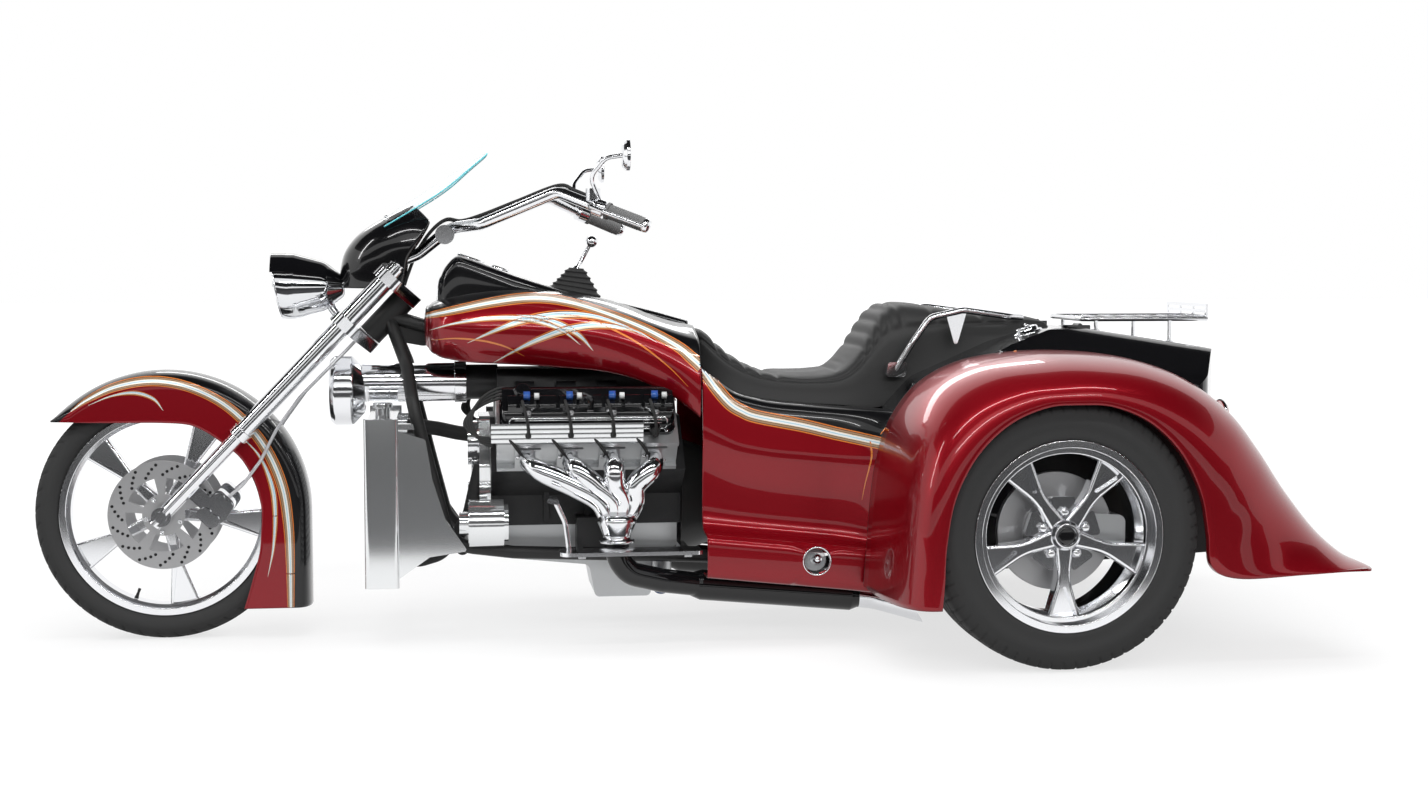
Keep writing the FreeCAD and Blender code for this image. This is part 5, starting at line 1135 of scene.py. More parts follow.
@dataclass
class BodySides:
    """Sides below the front seat: shoulder, shallow ridge, foot box and cove into the fender."""

    front: float = -851.0
    rear: float = -338.0
    cove_start: float = -520.0
    lamp_x: float = -559.0
    lamp_z: float = 231.0
    lamp_r: float = 34.0
    wall: float = 4.0
    # distance along and height of the upper edge
    shoulder: tuple = ((-852, 739), (-800, 701), (-764, 676), (-700, 655), (-567, 637), (-450, 627),
                       (-338, 622))
    # heights of the foot box's top and bottom at the front, and how far both fall for each millimetre back
    foot_top: float = 306.0
    foot_low: float = 192.0
    fall: float = 0.1063
    # share of the height above the foot box, distance from the middle plane
    upper: tuple = ((1.0, 186), (1.0, 240), (0.992, 268), (0.95, 287), (0.84, 295), (0.70, 300), (0.61, 303),
                    (0.52, 298), (0.36, 289), (0.18, 287), (0.075, 291), (0.018, 306), (0.0, 330),
                    (-0.006, 372))
    # share of the foot box's own height, distance from the middle plane
    lower: tuple = ((0.05, 392), (0.16, 399), (0.40, 401), (0.75, 400), (0.95, 396), (1.02, 384), (1.03, 350),
                    (1.03, 306))

    def build(self) -> bpy.types.Object:
        """Makes both sides.

        The height of the upper edge, the foot box's top and its bottom are straight or blended functions
        of the distance along. Across, the profile gives the distance from the middle plane, and toward
        the rear that distance grows to the fender's front along a quarter circle. Near the lamp, squares
        round its centre are drawn to circles, which leaves a round hole.

        Returns:
            The left side.
        """
        lamp = np.array([self.lamp_x, self.lamp_z])
        round_lamp = self.lamp_x + np.linspace(-40, 40, 17)
        x = np.unique(np.concatenate([np.linspace(self.front, self.rear, 100), round_lamp]))
        top = through(x, self.shoulder)[:, 0]
        sunk = (x - self.shoulder[0][0]) * self.fall
        step, foot = self.foot_top - sunk, self.foot_low - sunk
        profile = smooth([(a * 100, y, 0) for a, y in self.upper], 70)
        share, reach = profile[:, 0] / 100, profile[:, 1]
        upper_z = step[:, None] + (top - step)[:, None] * share[None, :]
        box = smooth([(b * 100, y) for b, y in self.lower], 34)
        lower_z = step[:, None] - (step - foot)[:, None] * box[None, :, 0] / 100
        z = np.concatenate([upper_z, lower_z], axis=1)
        y = np.concatenate([reach, box[:, 1]])[None, :] * np.ones((len(x), 1))
        sweep = np.clip((x - self.cove_start) / (self.rear + 14 - self.cove_start), 0, 1)[:, None]
        curve = 1 - np.sqrt(np.clip(1 - sweep**2, 0, 1))
        fade = ease(z, 700, 560)
        out = np.maximum(y, y + (436 - y) * curve * fade)
        spot_x = np.broadcast_to(x[:, None], z.shape)
        away = np.stack([spot_x, z], axis=2) - lamp
        square = np.abs(away).max(axis=2, keepdims=True)
        circle = np.linalg.norm(away, axis=2, keepdims=True) + 1e-9
        pull = ease(square, 75, 40) * (out[..., None] > 380)
        moved = lamp + away * (1 + (square / circle - 1) * pull)
        hole = square[..., 0] < self.lamp_r + 3
        keep = ~(hole[:-1, :-1] & hole[1:, 1:] & (out[:-1, :-1] > 390))
        grid = np.stack([moved[..., 0] + AXLE_X, -out, moved[..., 1]], axis=2) * MM
        skin = walled(surface("body_side_left", grid, flip=True, keep=keep), self.wall * MM)
        right = mirrored(skin, "body_side_right")
        place(skin, "chassis", BODY_PAINT, ["body_tub"])
        place(right, "chassis", BODY_PAINT, ["body_tub"])
        return skin


@dataclass
class Pinstripes:
    """Tapered ribbons of paint laid on a finished skin, in a free layout of sweeping lines."""

    skin: bpy.types.Object
    body: str = "chassis"
    proud: float = 0.5
    # distance across from which a ribbon is moved onto the skin
    start: float = -1200.0

    def lay(self, name: str, path: Sequence[Sequence[float]], finish: Finish, count: int, rows: int) -> None:
        """Lays one ribbon on the left of the skin and its twin on the right.

        The path's points carry half the ribbon's width as a third column. Seen from the side, the ribbon
        is the path plus the normal times that width, from -1 to 1 across, and is then moved straight
        across onto the skin. Faces that miss the skin are dropped.

        Args:
            name: the ribbon's name.
            path: distance along, height and half width, in millimetres.
            finish: its paint.
            count: points along.
            rows: points across.
        """
        line = smooth(path, count)
        ahead = np.gradient(line[:, :2], axis=0)
        ahead /= np.linalg.norm(ahead, axis=1, keepdims=True)
        normal = np.stack([-ahead[:, 1], ahead[:, 0]], axis=1)
        normal *= np.sign(normal[:, 1:]) + (normal[:, 1:] == 0)
        share = np.linspace(-1, 1, rows)[None, :, None]
        spots = line[:, None, :2] + normal[:, None, :] * share * np.maximum(line[:, None, 2:], 0.15)
        grid = np.stack([spots[..., 0], np.full(spots.shape[:2], self.start), spots[..., 1]], axis=2) * MM
        ribbon = surface(name + "_left", grid, flip=True)
        wrap = ribbon.modifiers.new("lay", "SHRINKWRAP")
        wrap.target = self.skin
        wrap.wrap_method = "PROJECT"
        wrap.use_project_x = wrap.use_project_z = False
        wrap.use_project_y = True
        wrap.use_positive_direction = True
        wrap.use_negative_direction = False
        wrap.wrap_mode = "ABOVE_SURFACE"
        wrap.offset = self.proud * MM
        baked(ribbon)
        places = np.empty(len(ribbon.data.vertices) * 3, np.float32)
        ribbon.data.vertices.foreach_get("co", places)
        work = bmesh.new()
        work.from_mesh(ribbon.data)
        missed = places.reshape(-1, 3)[:, 1] < 0.9 * self.start * MM
        bmesh.ops.delete(work, geom=np.array(work.verts[:], object)[missed].tolist(), context="VERTS")
        work.to_mesh(ribbon.data)
        work.free()
        twin = mirrored(ribbon, name + "_right")
        for piece in (ribbon, twin):
            place(piece, self.body, finish)


@dataclass
class Seat:
    """Two-up seat: dished saddle, step with sewn channels, and rear pad, blown up by a cloth pass."""

    rows: int = 156
    columns: int = 92
    end_rings: int = 6
    cap: float = 9.0
    moments: int = 20
    seam_depth: float = 6.5
    seam_reach: float = 0.0075
    # along the middle line: distance along and height of the top
    top: tuple = ((66, 822), (74, 838), (98, 824), (147, 780), (205, 746), (261, 727), (347, 719), (430, 722),
                  (474, 738), (508, 775), (536, 820), (566, 868), (596, 898), (640, 906), (720, 898),
                  (809, 884), (900, 877), (985, 868), (1040, 858), (1066, 842))
    # distance along, half width, height of the lower edge
    hem: tuple = ((66, 120, 752), (98, 142, 708), (150, 168, 668), (260, 182, 644), (343, 184, 636),
                  (455, 184, 628), (567, 182, 622), (640, 180, 655), (736, 177, 722), (820, 174, 760),
                  (906, 171, 792), (985, 166, 816), (1066, 140, 832))
    # places of the sewn channels, as shares of the way from front to rear
    channels: tuple = (0.075, 0.115, 0.155, 0.195, 0.235, 0.475, 0.51, 0.545, 0.58, 0.615, 0.70, 0.76, 0.82,
                       0.88)

    def _form(self) -> np.ndarray:
        """Points of the plain form.

        A section's width is the cosine of the angle to the power 0.46 and its height the sine to the power
        0.42, a rounded square; its middle is dished. Both shrink at the ends along a quarter circle.

        Returns:
            The points, shape (rows, columns, 3), in millimetres.
        """
        line = smooth(self.top, self.rows)
        hem = through(line[:, 0], self.hem)
        wide, low = hem[:, :1], hem[:, 1:]
        share = np.linspace(0, 1, self.rows)[:, None]
        near_end = np.clip(np.minimum(share, 1 - share) / 0.022, 0, 1)
        shrink = np.sqrt(1 - (1 - near_end) ** 2)
        turn = np.linspace(0, TAU, self.columns, endpoint=False)[None, :]
        c, s = np.cos(turn), np.sin(turn)
        across = wide * (0.80 + 0.20 * shrink) * np.sign(c) * np.abs(c) ** 0.46
        tall = (line[:, 1:2] - low) * (0.35 + 0.65 * shrink)
        over = np.where(s > 0, np.abs(s) ** 0.42, 0.0)
        dish = 16 * np.exp(-((line[:, :1] - 330) / 170) ** 2) * np.clip(1 - (across / wide) ** 2, 0, 1)
        height = low + (line[:, 1:2] - low - tall) * 0.3 + tall * over - dish * (s > 0.3)
        across = across * (1 - 0.05 * np.sin(np.clip(over, 0, 1) * math.pi))
        return np.stack([line[:, :1] * np.ones_like(turn), across, height], axis=2)

    def _seams(self, share: np.ndarray, turn: np.ndarray, reach: float) -> np.ndarray:
        """Sewn lines: channels across the top, and one line along each shoulder.

        Args:
            share: share of the way along.
            turn: angle round.
            reach: half width of a line, as a share of the way along.
        Returns:
            1 on a line, falling to 0 away from it.
        """
        top_side = np.exp(-(np.maximum(np.abs(turn - math.pi / 2) - 0.98, 0) / 0.05) ** 2)
        bow = share + 0.010 * np.cos((turn - math.pi / 2) * 1.6)
        lines = sum(np.exp(-((bow - spot) / reach) ** 2) for spot in self.channels) * top_side
        piped = sum(np.exp(-((turn - math.pi / 2 - away) / (reach * 9)) ** 2) for away in (-1.08, 1.08))
        return np.clip(lines + piped, 0, 1)

    def build(self) -> None:
        """Makes the seat.

        The closed form carries its two parameters in its UV map. Sewn lines are then sunk along the
        surface's normal, and one subdivision rounds them.
        """
        points = self._form()
        middles = points[[0, -1]].mean(axis=1)[:, None, None]
        shrink = np.linspace(0, 1, self.end_rings + 1)[:-1, None, None]
        front = middles[0] + (points[:1] - middles[0]) * shrink
        rear = middles[1] + (points[-1:] - middles[1]) * shrink[::-1]
        grid = np.concatenate([front, points, rear])
        made = surface("seat_cover", grid * MM, (False, True), recalc=True)
        mesh = made.data
        before = np.empty(len(mesh.vertices) * 3, np.float32)
        normals = np.empty_like(before)
        mesh.vertices.foreach_get("co", before)
        mesh.vertices.foreach_get("normal", normals)
        before, normals = before.reshape(-1, 3), normals.reshape(-1, 3)
        share, turn = self._parameters(mesh, len(grid))
        after = self._blown(made, before, share, turn)
        after = after - normals * (self._seams(share, turn, self.seam_reach) * self.seam_depth * MM)[:, None]
        mesh.vertices.foreach_set("co", np.ascontiguousarray(after, np.float32).ravel())
        mesh.update()
        fine = made.modifiers.new("fine", "SUBSURF")
        fine.levels = fine.render_levels = 1
        baked(made)
        place(made, "chassis", LEATHER, ["seat"])

    def _parameters(self, mesh: bpy.types.Mesh, rings: int) -> tuple[np.ndarray, np.ndarray]:
        """Both parameters of each vertex, read back from the UV map.

        Args:
            mesh: the seat's mesh.
            rings: number of rings from end to end.
        Returns:
            Share of the way along, and angle round.
        """
        loops = len(mesh.loops)
        owner, uv = np.empty(loops, np.int32), np.empty(loops * 2, np.float32)
        mesh.loops.foreach_get("vertex_index", owner)
        mesh.uv_layers[0].data.foreach_get("uv", uv)
        each = np.zeros((len(mesh.vertices), 2))
        each[owner] = uv.reshape(-1, 2)
        share = (each[:, 0] * (rings - 1) - self.end_rings) / (self.rows - 1)
        return share, each[:, 1] * (self.columns - 1) / self.columns * TAU

    def _blown(self, made: bpy.types.Object, before: np.ndarray, share: np.ndarray,
               turn: np.ndarray) -> np.ndarray:
        """Shape after a cloth pass under pressure, with hem and sewn lines held and every move capped.

        Args:
            made: the seat.
            before: its vertices' places.
            share: share of the way along of each.
            turn: angle round of each.
        Returns:
            The new places.
        """
        ends = (share < 0.004) | (share > 0.996)
        weight = np.clip(self._seams(share, turn, 0.004) + (np.sin(turn) < 0.12) + ends, 0, 1)
        twin = bpy.data.objects.new("seat_blown", made.data.copy())
        bpy.context.scene.collection.objects.link(twin)
        group = twin.vertex_groups.new(name="held")
        for level in (0.25, 0.5, 0.75, 1.0):
            chosen = np.nonzero(weight >= level - 0.12)[0]
            group.add(chosen.tolist(), level, "REPLACE")
        cloth = twin.modifiers.new("cloth", "CLOTH")
        facts = cloth.settings
        facts.quality = 4
        facts.mass = 0.3
        facts.tension_stiffness = facts.compression_stiffness = 12
        facts.shear_stiffness = 8
        facts.bending_stiffness = 0.6
        facts.use_pressure = True
        facts.uniform_pressure_force = 4.0
        facts.vertex_group_mass = "held"
        facts.effector_weights.gravity = 0.0
        cloth.collision_settings.use_collision = False
        scene = bpy.context.scene
        for moment in range(1, self.moments + 1):
            scene.frame_set(moment)
        graph = bpy.context.evaluated_depsgraph_get()
        shaped = twin.evaluated_get(graph).data
        moved = np.empty(len(before) * 3, np.float32)
        shaped.vertices.foreach_get("co", moved)
        move = moved.reshape(-1, 3) - before
        length = np.linalg.norm(move, axis=1, keepdims=True) + 1e-9
        LOG.info("seat moved %.1f mm at most", length.max() / MM)
        move *= np.minimum(1.0, self.cap * MM / length)
        scene.frame_set(1)
        mesh = twin.data
        bpy.data.objects.remove(twin)
        bpy.data.meshes.remove(mesh)
        return before + move


ORANGE = (0.72, 0.20, 0.025)
TAN = (0.36, 0.22, 0.12)
CREAM = (0.80, 0.66, 0.46)
WHITE = (0.86, 0.86, 0.86)
SKY = (0.42, 0.66, 0.76)
DARK = (0.030, 0.012, 0.012)
# share across the ribbon at which each colour starts
BANDS = ((0.0, ORANGE), (0.085, DARK), (0.13, TAN), (0.27, DARK), (0.31, CREAM), (0.37, WHITE), (0.46, SKY),
         (0.54, WHITE), (0.63, CREAM), (0.69, DARK), (0.73, TAN), (0.87, DARK), (0.915, ORANGE))
SWEEPS = ((0.0, ORANGE), (0.12, DARK), (0.20, CREAM), (0.38, WHITE), (0.50, SKY), (0.70, WHITE), (0.80, DARK),
          (0.88, ORANGE))
LINE_PAINT = Finish("line_paint", ORANGE, 0.15, 0.32, Skin.PEEL, 1.0, 0.05, coat=1.0)
BAND_PAINT = replace(LINE_PAINT, name="striped_paint", bands=BANDS)
SWEEP_PAINT = replace(LINE_PAINT, name="sweep_paint", bands=SWEEPS)


# name, path, half widths spread evenly along it, paint, points along
TANK_STRIPES = (
    ("tank_band", TANK_LINE, (2, 7, 11, 13, 14, 13, 12, 13, 15, 17, 18), BAND_PAINT, 260),
    ("tank_sweep_low", ((-492, 752), (-440, 782), (-380, 812), (-310, 838), (-240, 851), (-170, 848),
                        (-110, 834), (-60, 806)), (0.5, 5, 10, 12, 9, 4, 0.5), SWEEP_PAINT, 200),
    ("tank_sweep_nose", ((-660, 838), (-600, 856), (-520, 869), (-440, 872), (-370, 862), (-310, 838),
                         (-262, 800)),
     (0.5, 4, 8, 9, 6, 0.5), SWEEP_PAINT, 200),
    ("tank_sweep_high", ((-560, 806), (-490, 838), (-410, 866), (-320, 880), (-230, 876), (-150, 852),
                         (-90, 822)),
     (0.5, 6, 11, 12, 9, 5, 0.5), SWEEP_PAINT, 200),
    ("tank_blade", ((-430, 880), (-370, 872), (-310, 852), (-262, 822), (-228, 784)), (0.5, 7, 10, 7, 0.5),
     SWEEP_PAINT, 160),
    ("tank_line_nose", ((-655, 812), (-590, 818), (-520, 812), (-460, 796), (-410, 770)),
     (0.4, 2.0, 2.6, 2.0, 0.4), LINE_PAINT, 160),
    ("tank_line_rear", ((-330, 884), (-250, 872), (-170, 838), (-100, 798), (-30, 742), (20, 690)),
     (0.4, 1.6, 2.4, 2.4, 1.6, 0.4), LINE_PAINT, 200))
SIDE_STRIPES = (
    ("side_band", BODY_LINE, (18, 18, 18, 18, 18, 18, 18, 17, 16), BAND_PAINT, 260),
    ("side_line_fold", ((508, 540), (512, 505), (506, 470), (498, 430), (490, 380)),
     (2.4, 2.2, 1.8, 1.2, 0.4), LINE_PAINT, 120))
FENDER_STRIPES = (
    ("fender_band", FORK_LINE, (1.5, 8, 12, 13, 13, 13, 14, 15, 15, 14, 12, 9), BAND_PAINT, 300),
    ("fender_sweep_hook", ((-1560, 640), (-1500, 664), (-1440, 672), (-1392, 656), (-1366, 624)),
     (0.4, 3, 6, 5, 0.4), SWEEP_PAINT, 140),
    ("fender_sweep_tail", ((-1172, 560), (-1118, 500), (-1086, 420), (-1078, 340), (-1084, 250),
                           (-1100, 170)),
     (0.4, 4, 8, 7, 4, 0.4), SWEEP_PAINT, 160))


def stripe_all(tank: bpy.types.Object, sides: bpy.types.Object, fender: bpy.types.Object) -> None:
    """Lays the free layout of bands and sweeps on the three striped skins.

    Args:
        tank: the tank's skin.
        sides: the left body side.
        fender: the front fender's skin.
    """
    for skin, body, stripes in ((tank, "chassis", TANK_STRIPES), (sides, "chassis", SIDE_STRIPES),
                                (fender, "fork", FENDER_STRIPES)):
        pins = Pinstripes(skin, body)
        for name, line, widths, finish, count in stripes:
            share = np.linspace(0, 1, len(line))
            path = np.column_stack([line, np.interp(share, np.linspace(0, 1, len(widths)), widths)])
            pins.lay(name, path, finish, count, 3 if finish is LINE_PAINT else 9)


# ---------------------------------------------------------------- small hardware
HEX = lathe_template(((0, 0), (0, 1), (0.6, 1), (0.75, 0.85), (0.75, 0)), 6)
NUT = lathe_template(((0, 0), (0, 1), (1.5, 1), (1.85, 0.72), (1.95, 0.4), (1.95, 0)), 6)
DOME = lathe_template(((0, 0), (0, 1), (0.22, 0.98), (0.5, 0.76), (0.62, 0.42), (0.67, 0)), 18)
SOCKET = lathe_template(((0, 0), (0, 1), (0.85, 1), (1.0, 0.88), (1.0, 0.55), (0.45, 0.5), (0.45, 0)), 20)
SPOT = lathe_template(((0, 0), (0, 1), (0.07, 1), (0.07, 0)), 20)
HOOP = lathe_template(((-0.09, 0.90), (-0.075, 1.0), (0.0, 1.035), (0.075, 1.0), (0.09, 0.90), (-0.09, 0.90)),
                      32)
BLOCK = (np.array([(x, y, z) for x in (-0.5, 0.5) for y in (-0.5, 0.5) for z in (0.0, 1.0)], float),
         np.array([(0, 1, 3, 2), (4, 6, 7, 5), (0, 4, 5, 1), (2, 3, 7, 6), (0, 2, 6, 4), (1, 5, 7, 3)]))
# near-black finish for flat spots of painted shade that stand in for the dark insides of the discs' drilled
# holes
HOLE_SHADE = Finish("painted_hole_shade", (0.006, 0.006, 0.006), 0.0, 0.7, Skin.CAST, 1.0, 0.2)
BLUE = Finish("blue_enamel", (0.012, 0.075, 0.30), 0.0, 0.30, Skin.PEEL, 1.0, 0.1, coat=0.6)
PALE = Finish("pale_plastic", (0.62, 0.63, 0.62), 0.0, 0.42, Skin.CAST, 1.0, 0.15)
MIRROR = Finish("mirror_glass", (0.86, 0.87, 0.88), 1.0, 0.02, Skin.SMUDGE, 1.0, 0.02)
TEAL = Finish("screen_edge", (0.10, 0.52, 0.58), 0.0, 0.18, Skin.SMUDGE, 1.0, 0.05, coat=0.5)


def round_y(hub: Sequence[float], radius: float, degrees: Sequence[float], y: float) -> np.ndarray:
    """Points round a wheel's axle.

    Args:
        hub: the axle's place in metres.
        radius: distance from the axle in millimetres.
        degrees: angles from straight up toward the rear.
        y: distance across in millimetres.
    Returns:
        One row each, in metres.
    """
    angle = np.radians(np.asarray(degrees, float))
    return np.stack([hub[0] + radius * MM * np.sin(angle), np.full(len(angle), y * MM),
                     hub[2] + radius * MM * np.cos(angle)], axis=1)


def bank(side: int, x: Sequence[float], across: Sequence[float], up: Sequence[float]) -> np.ndarray:
    """Points given in a cylinder bank's own axes, turned 45 degrees about the crank.

    Args:
        side: -1 for the left bank, 1 for the right.
        x: distances behind the engine's front, in millimetres.
        across: distances from the bank's middle.
        up: distances from the crank along the bank.
    Returns:
        Their places in metres.
    """
    x, across, up = np.broadcast_arrays(*(np.asarray(value, float) for value in (x, across, up)))
    turn = -side * math.radians(45.0)
    spots = np.stack([x, across * math.cos(turn) - up * math.sin(turn),
                      across * math.sin(turn) + up * math.cos(turn)], axis=-1)
    return (spots + BAY) * MM


def bank_way(side: int, across: float, up: float) -> np.ndarray:
    """Direction given in a bank's own axes.

    Args:
        side: -1 for the left bank, 1 for the right.
        across: its part across the bank.
        up: its part along the bank.
    Returns:
        The direction, of any length.
    """
    return bank(side, 0.0, across, up) - bank(side, 0.0, 0.0, 0.0)


@dataclass
class WheelTrim:
    """Nuts, caps and valves of the wheels, and dark spots of painted shade for the front discs' drilled
    holes.
    """

    lug_r: float = 57.15
    hub_face: float = 729.0
    disc_face: float = 83.0
    # radius of each ring of holes in the front discs, and the angle that it starts at
    rings: tuple = ((109.0, 0.0), (118.0, 5.5), (127.0, 11.0), (136.0, 16.5))

    def build(self) -> None:
        """Adds the trim to all three wheels."""
        for side, name in SIDES:
            self._rear(side, name)
        for side, name in SIDES:
            self._disc(side, name)
        valve = self._valve("valve_front", FRONT_HUB * MM, -14.0, 200.0, 250.0, 222.0)
        place(valve, "front_wheel", HOSE)

    def _rear(self, side: int, name: str) -> None:
        """Nuts, cap badge and valve of one rear wheel.

        Args:
            side: -1 for the left, 1 for the right.
            name: the side's name.
        """
        hub = joint_point("rear_wheel_%s_spin" % name)
        body, out = "rear_wheel_" + name, (0, side, 0)
        spots = round_y(hub, self.lug_r, 72.0 * np.arange(1, 6), side * (self.hub_face + 14))
        place(stamped("lug_nuts_" + name, NUT, spots, out, 0.0125), body, CHROME)
        spot = (hub[0], side * (self.hub_face + 53.8) * MM, hub[2])
        outline = ((0, 0), (0, 0.0236), (0.0012, 0.0232), (0.0022, 0.018), (0.0026, 0))
        place(turned("cap_badge_" + name, outline, spot, out, 48), body, BLACK_PAINT)
        valve = self._valve("valve_" + name, hub, side * (self.hub_face + 19), 286.0, 206.0, 178.0)
        place(valve, body, HOSE)

    def _disc(self, side: int, name: str) -> None:
        """Dark spots of painted shade for the drilled holes, and the bolts, of one front disc.

        Args:
            side: -1 for the left, 1 for the right.
            name: the side's name.
        """
        front, out = FRONT_HUB * MM, (0, side, 0)
        spots = np.concatenate([round_y(front, radius, 24.0 * np.arange(15) + lead, side * self.disc_face)
                                for radius, lead in self.rings])
        # the holes are not cut: flat near-black spots on the disc face paint their shade
        hole_shade = stamped("disc_hole_shade_" + name, SPOT, spots, out, 0.0042)
        place(hole_shade, "front_wheel", HOLE_SHADE)
        spots = round_y(front, 47.0, 72.0 * np.arange(5) + 41, side * (self.disc_face - 0.4))
        bolts = stamped("disc_bolts_" + name, SOCKET, spots, out, 0.0062)
        place(bolts, "front_wheel", CHROME)

    @staticmethod
    def _valve(name: str, hub: np.ndarray, y: float, degrees: float, outer: float,
               inner: float) -> bpy.types.Object:
        """Valve stem that points from the barrel toward the hub.

        Args:
            name: its name.
            hub: the axle's place in metres.
            y: distance across.
            degrees: angle from straight up toward the rear.
            outer: radius at its foot.
            inner: radius at its tip.
        Returns:
            The stem.
        """
        foot, tip = (round_y(hub, radius, [degrees], y)[0] for radius in (outer, inner))
        reach = float(np.linalg.norm(tip - foot))
        return turned(name, ((0, 0), (0, 0.006), (0.008, 0.0045), (reach * 0.7, 0.0032),
                             (reach * 0.72, 0.0040), (reach, 0.0040), (reach, 0)), foot, tip - foot, 20)


@dataclass
class EngineTrim:
    """Bolts, frames, leads and connectors on both cylinder banks, and the oil filter."""

    cover_base: float = 344.7
    cover_top: float = 416.7
    cover_ends: tuple[float, float] = (46.0, 462.0)
    half: float = 59.0
    # distance across that the cover's face loses for each millimetre up
    lean: float = 6.0 / 72.0
    # how far the right bank sits behind the left
    stagger: float = 12.0
    # in metres: where the filter's body starts
    filter_at: tuple[float, float, float] = (-0.040, -0.118, 0.140)

    def build(self) -> None:
        """Adds the trim to the left and right banks."""
        for side, name in SIDES:
            ends = np.array(self.cover_ends) + (0.0 if side < 0 else self.stagger)
            self._bolts(side, name, ends)
            self._cover(side, name, ends)
            self._leads(side, name)
        canister = turned("oil_filter", ((-0.034, 0), (-0.034, 0.012), (-0.012, 0.014), (-0.010, 0.023),
                                         (0.0, 0.026), (0.058, 0.026), (0.064, 0.022), (0.066, 0)),
                          self.filter_at, (0, -1, 0), 48)
        place(canister, "chassis", BLUE)

    def _bolts(self, side: int, name: str, ends: np.ndarray) -> None:
        """Hex bolts along the cover's flange and round the header ports.

        Args:
            side: -1 for the left bank, 1 for the right.
            name: the bank's name.
            ends: where the cover starts and ends.
        """
        x = np.linspace(*ends, 6)
        edge = self.half + 1.5
        spots = np.concatenate([bank(side, x, across, self.cover_base + 9) for across in (-edge, edge)])
        place(stamped("cover_bolts_" + name, HEX, spots, bank_way(side, 0.0, 1.0), 0.0058), "chassis", CHROME)
        spots = np.concatenate([bank(side, np.array(PORTS) + dx, side * 95.0, 284.7 + du)
                                for dx, du in ((-27, 10), (27, -10))])
        place(stamped("port_bolts_" + name, HEX, spots, bank_way(side, float(side), 0.0), 0.0062), "chassis",
              CHROME)

    def _face(self, side: int, x: np.ndarray, up: np.ndarray, proud: float) -> np.ndarray:
        """Points on the cover's leaning outer face.

        Args:
            side: -1 for the left bank, 1 for the right.
            x: distances along.
            up: distances along the bank.
            proud: how far they stand off the face.
        Returns:
            Their places in metres.
        """
        return bank(side, x, side * (self.half + proud - self.lean * (up - self.cover_base)), up)

    def _cover(self, side: int, name: str, ends: np.ndarray) -> None:
        """Raised frame and three long ribs on the cover's outer face.

        Args:
            side: -1 for the left bank, 1 for the right.
            name: the bank's name.
            ends: where the cover starts and ends.
        """
        low, high, cut = self.cover_base + 17, self.cover_top - 14, 8
        x0, x1 = ends
        corners = np.array([(x0 + cut, low), (x1 - cut, low), (x1, low + cut), (x1, high - cut),
                            (x1 - cut, high), (x0 + cut, high), (x0, high - cut), (x0, low + cut),
                            (x0 + cut, low)])
        edges = [np.linspace(a, b, 8)[:-1] for a, b in zip(corners, corners[1:])]
        x, up = np.concatenate([*edges, corners[-1:]]).T
        parts = [tube("rim", self._face(side, x, up, 0.2), 0.0022, 160, 8)]
        x = np.array([x0 + 14, x0 + 120, x1 - 120, x1 - 14])
        for level in np.linspace(low + 8, high - 8, 3):
            parts.append(tube("rib", self._face(side, x, np.full(4, level), 0.1), 0.0016, 12, 8))
        place(joined("cover_frame_" + name, parts), "chassis", POLISHED)

    def _leads(self, side: int, name: str) -> None:
        """Plug leads from the coil rails to the caps, their boots, and the coil connectors.

        Args:
            side: -1 for the left bank, 1 for the right.
            name: the bank's name.
        """
        # distance behind the port, across and up, from the rail down to the plug
        run, across, up = np.array([(-16, 30, 445), (-14, 52, 452), (-6, 76, 432), (0, 92, 398), (0, 88, 370),
                                    (0, 66, 366.3)]).T
        parts = [tube("lead", bank(side, port + run, side * across, up), 0.0042, 40, 10) for port in PORTS]
        for port in PORTS:
            foot, tip = bank(side, port, side * np.array([66.0, 90.0]), np.array([366.3, 367.5]))
            outline = ((-0.002, 0), (-0.002, 0.0105), (0.006, 0.0110), (0.022, 0.0075), (0.026, 0))
            parts.append(turned("boot", outline, foot, tip - foot, 20))
        place(joined("plug_leads_" + name, parts), "chassis", HOSE)
        for label, finish, lead, size in (("blue", BLUE, -4.0, 0.017), ("pale", PALE, 22.0, 0.013)):
            spots = bank(side, np.array(PORTS) + lead, side * 18.0, self.cover_top + 25.5)
            place(stamped("coil_plugs_%s_%s" % (label, name), BLOCK, spots, bank_way(side, 0.0, 1.0), size),
                  "chassis", finish)


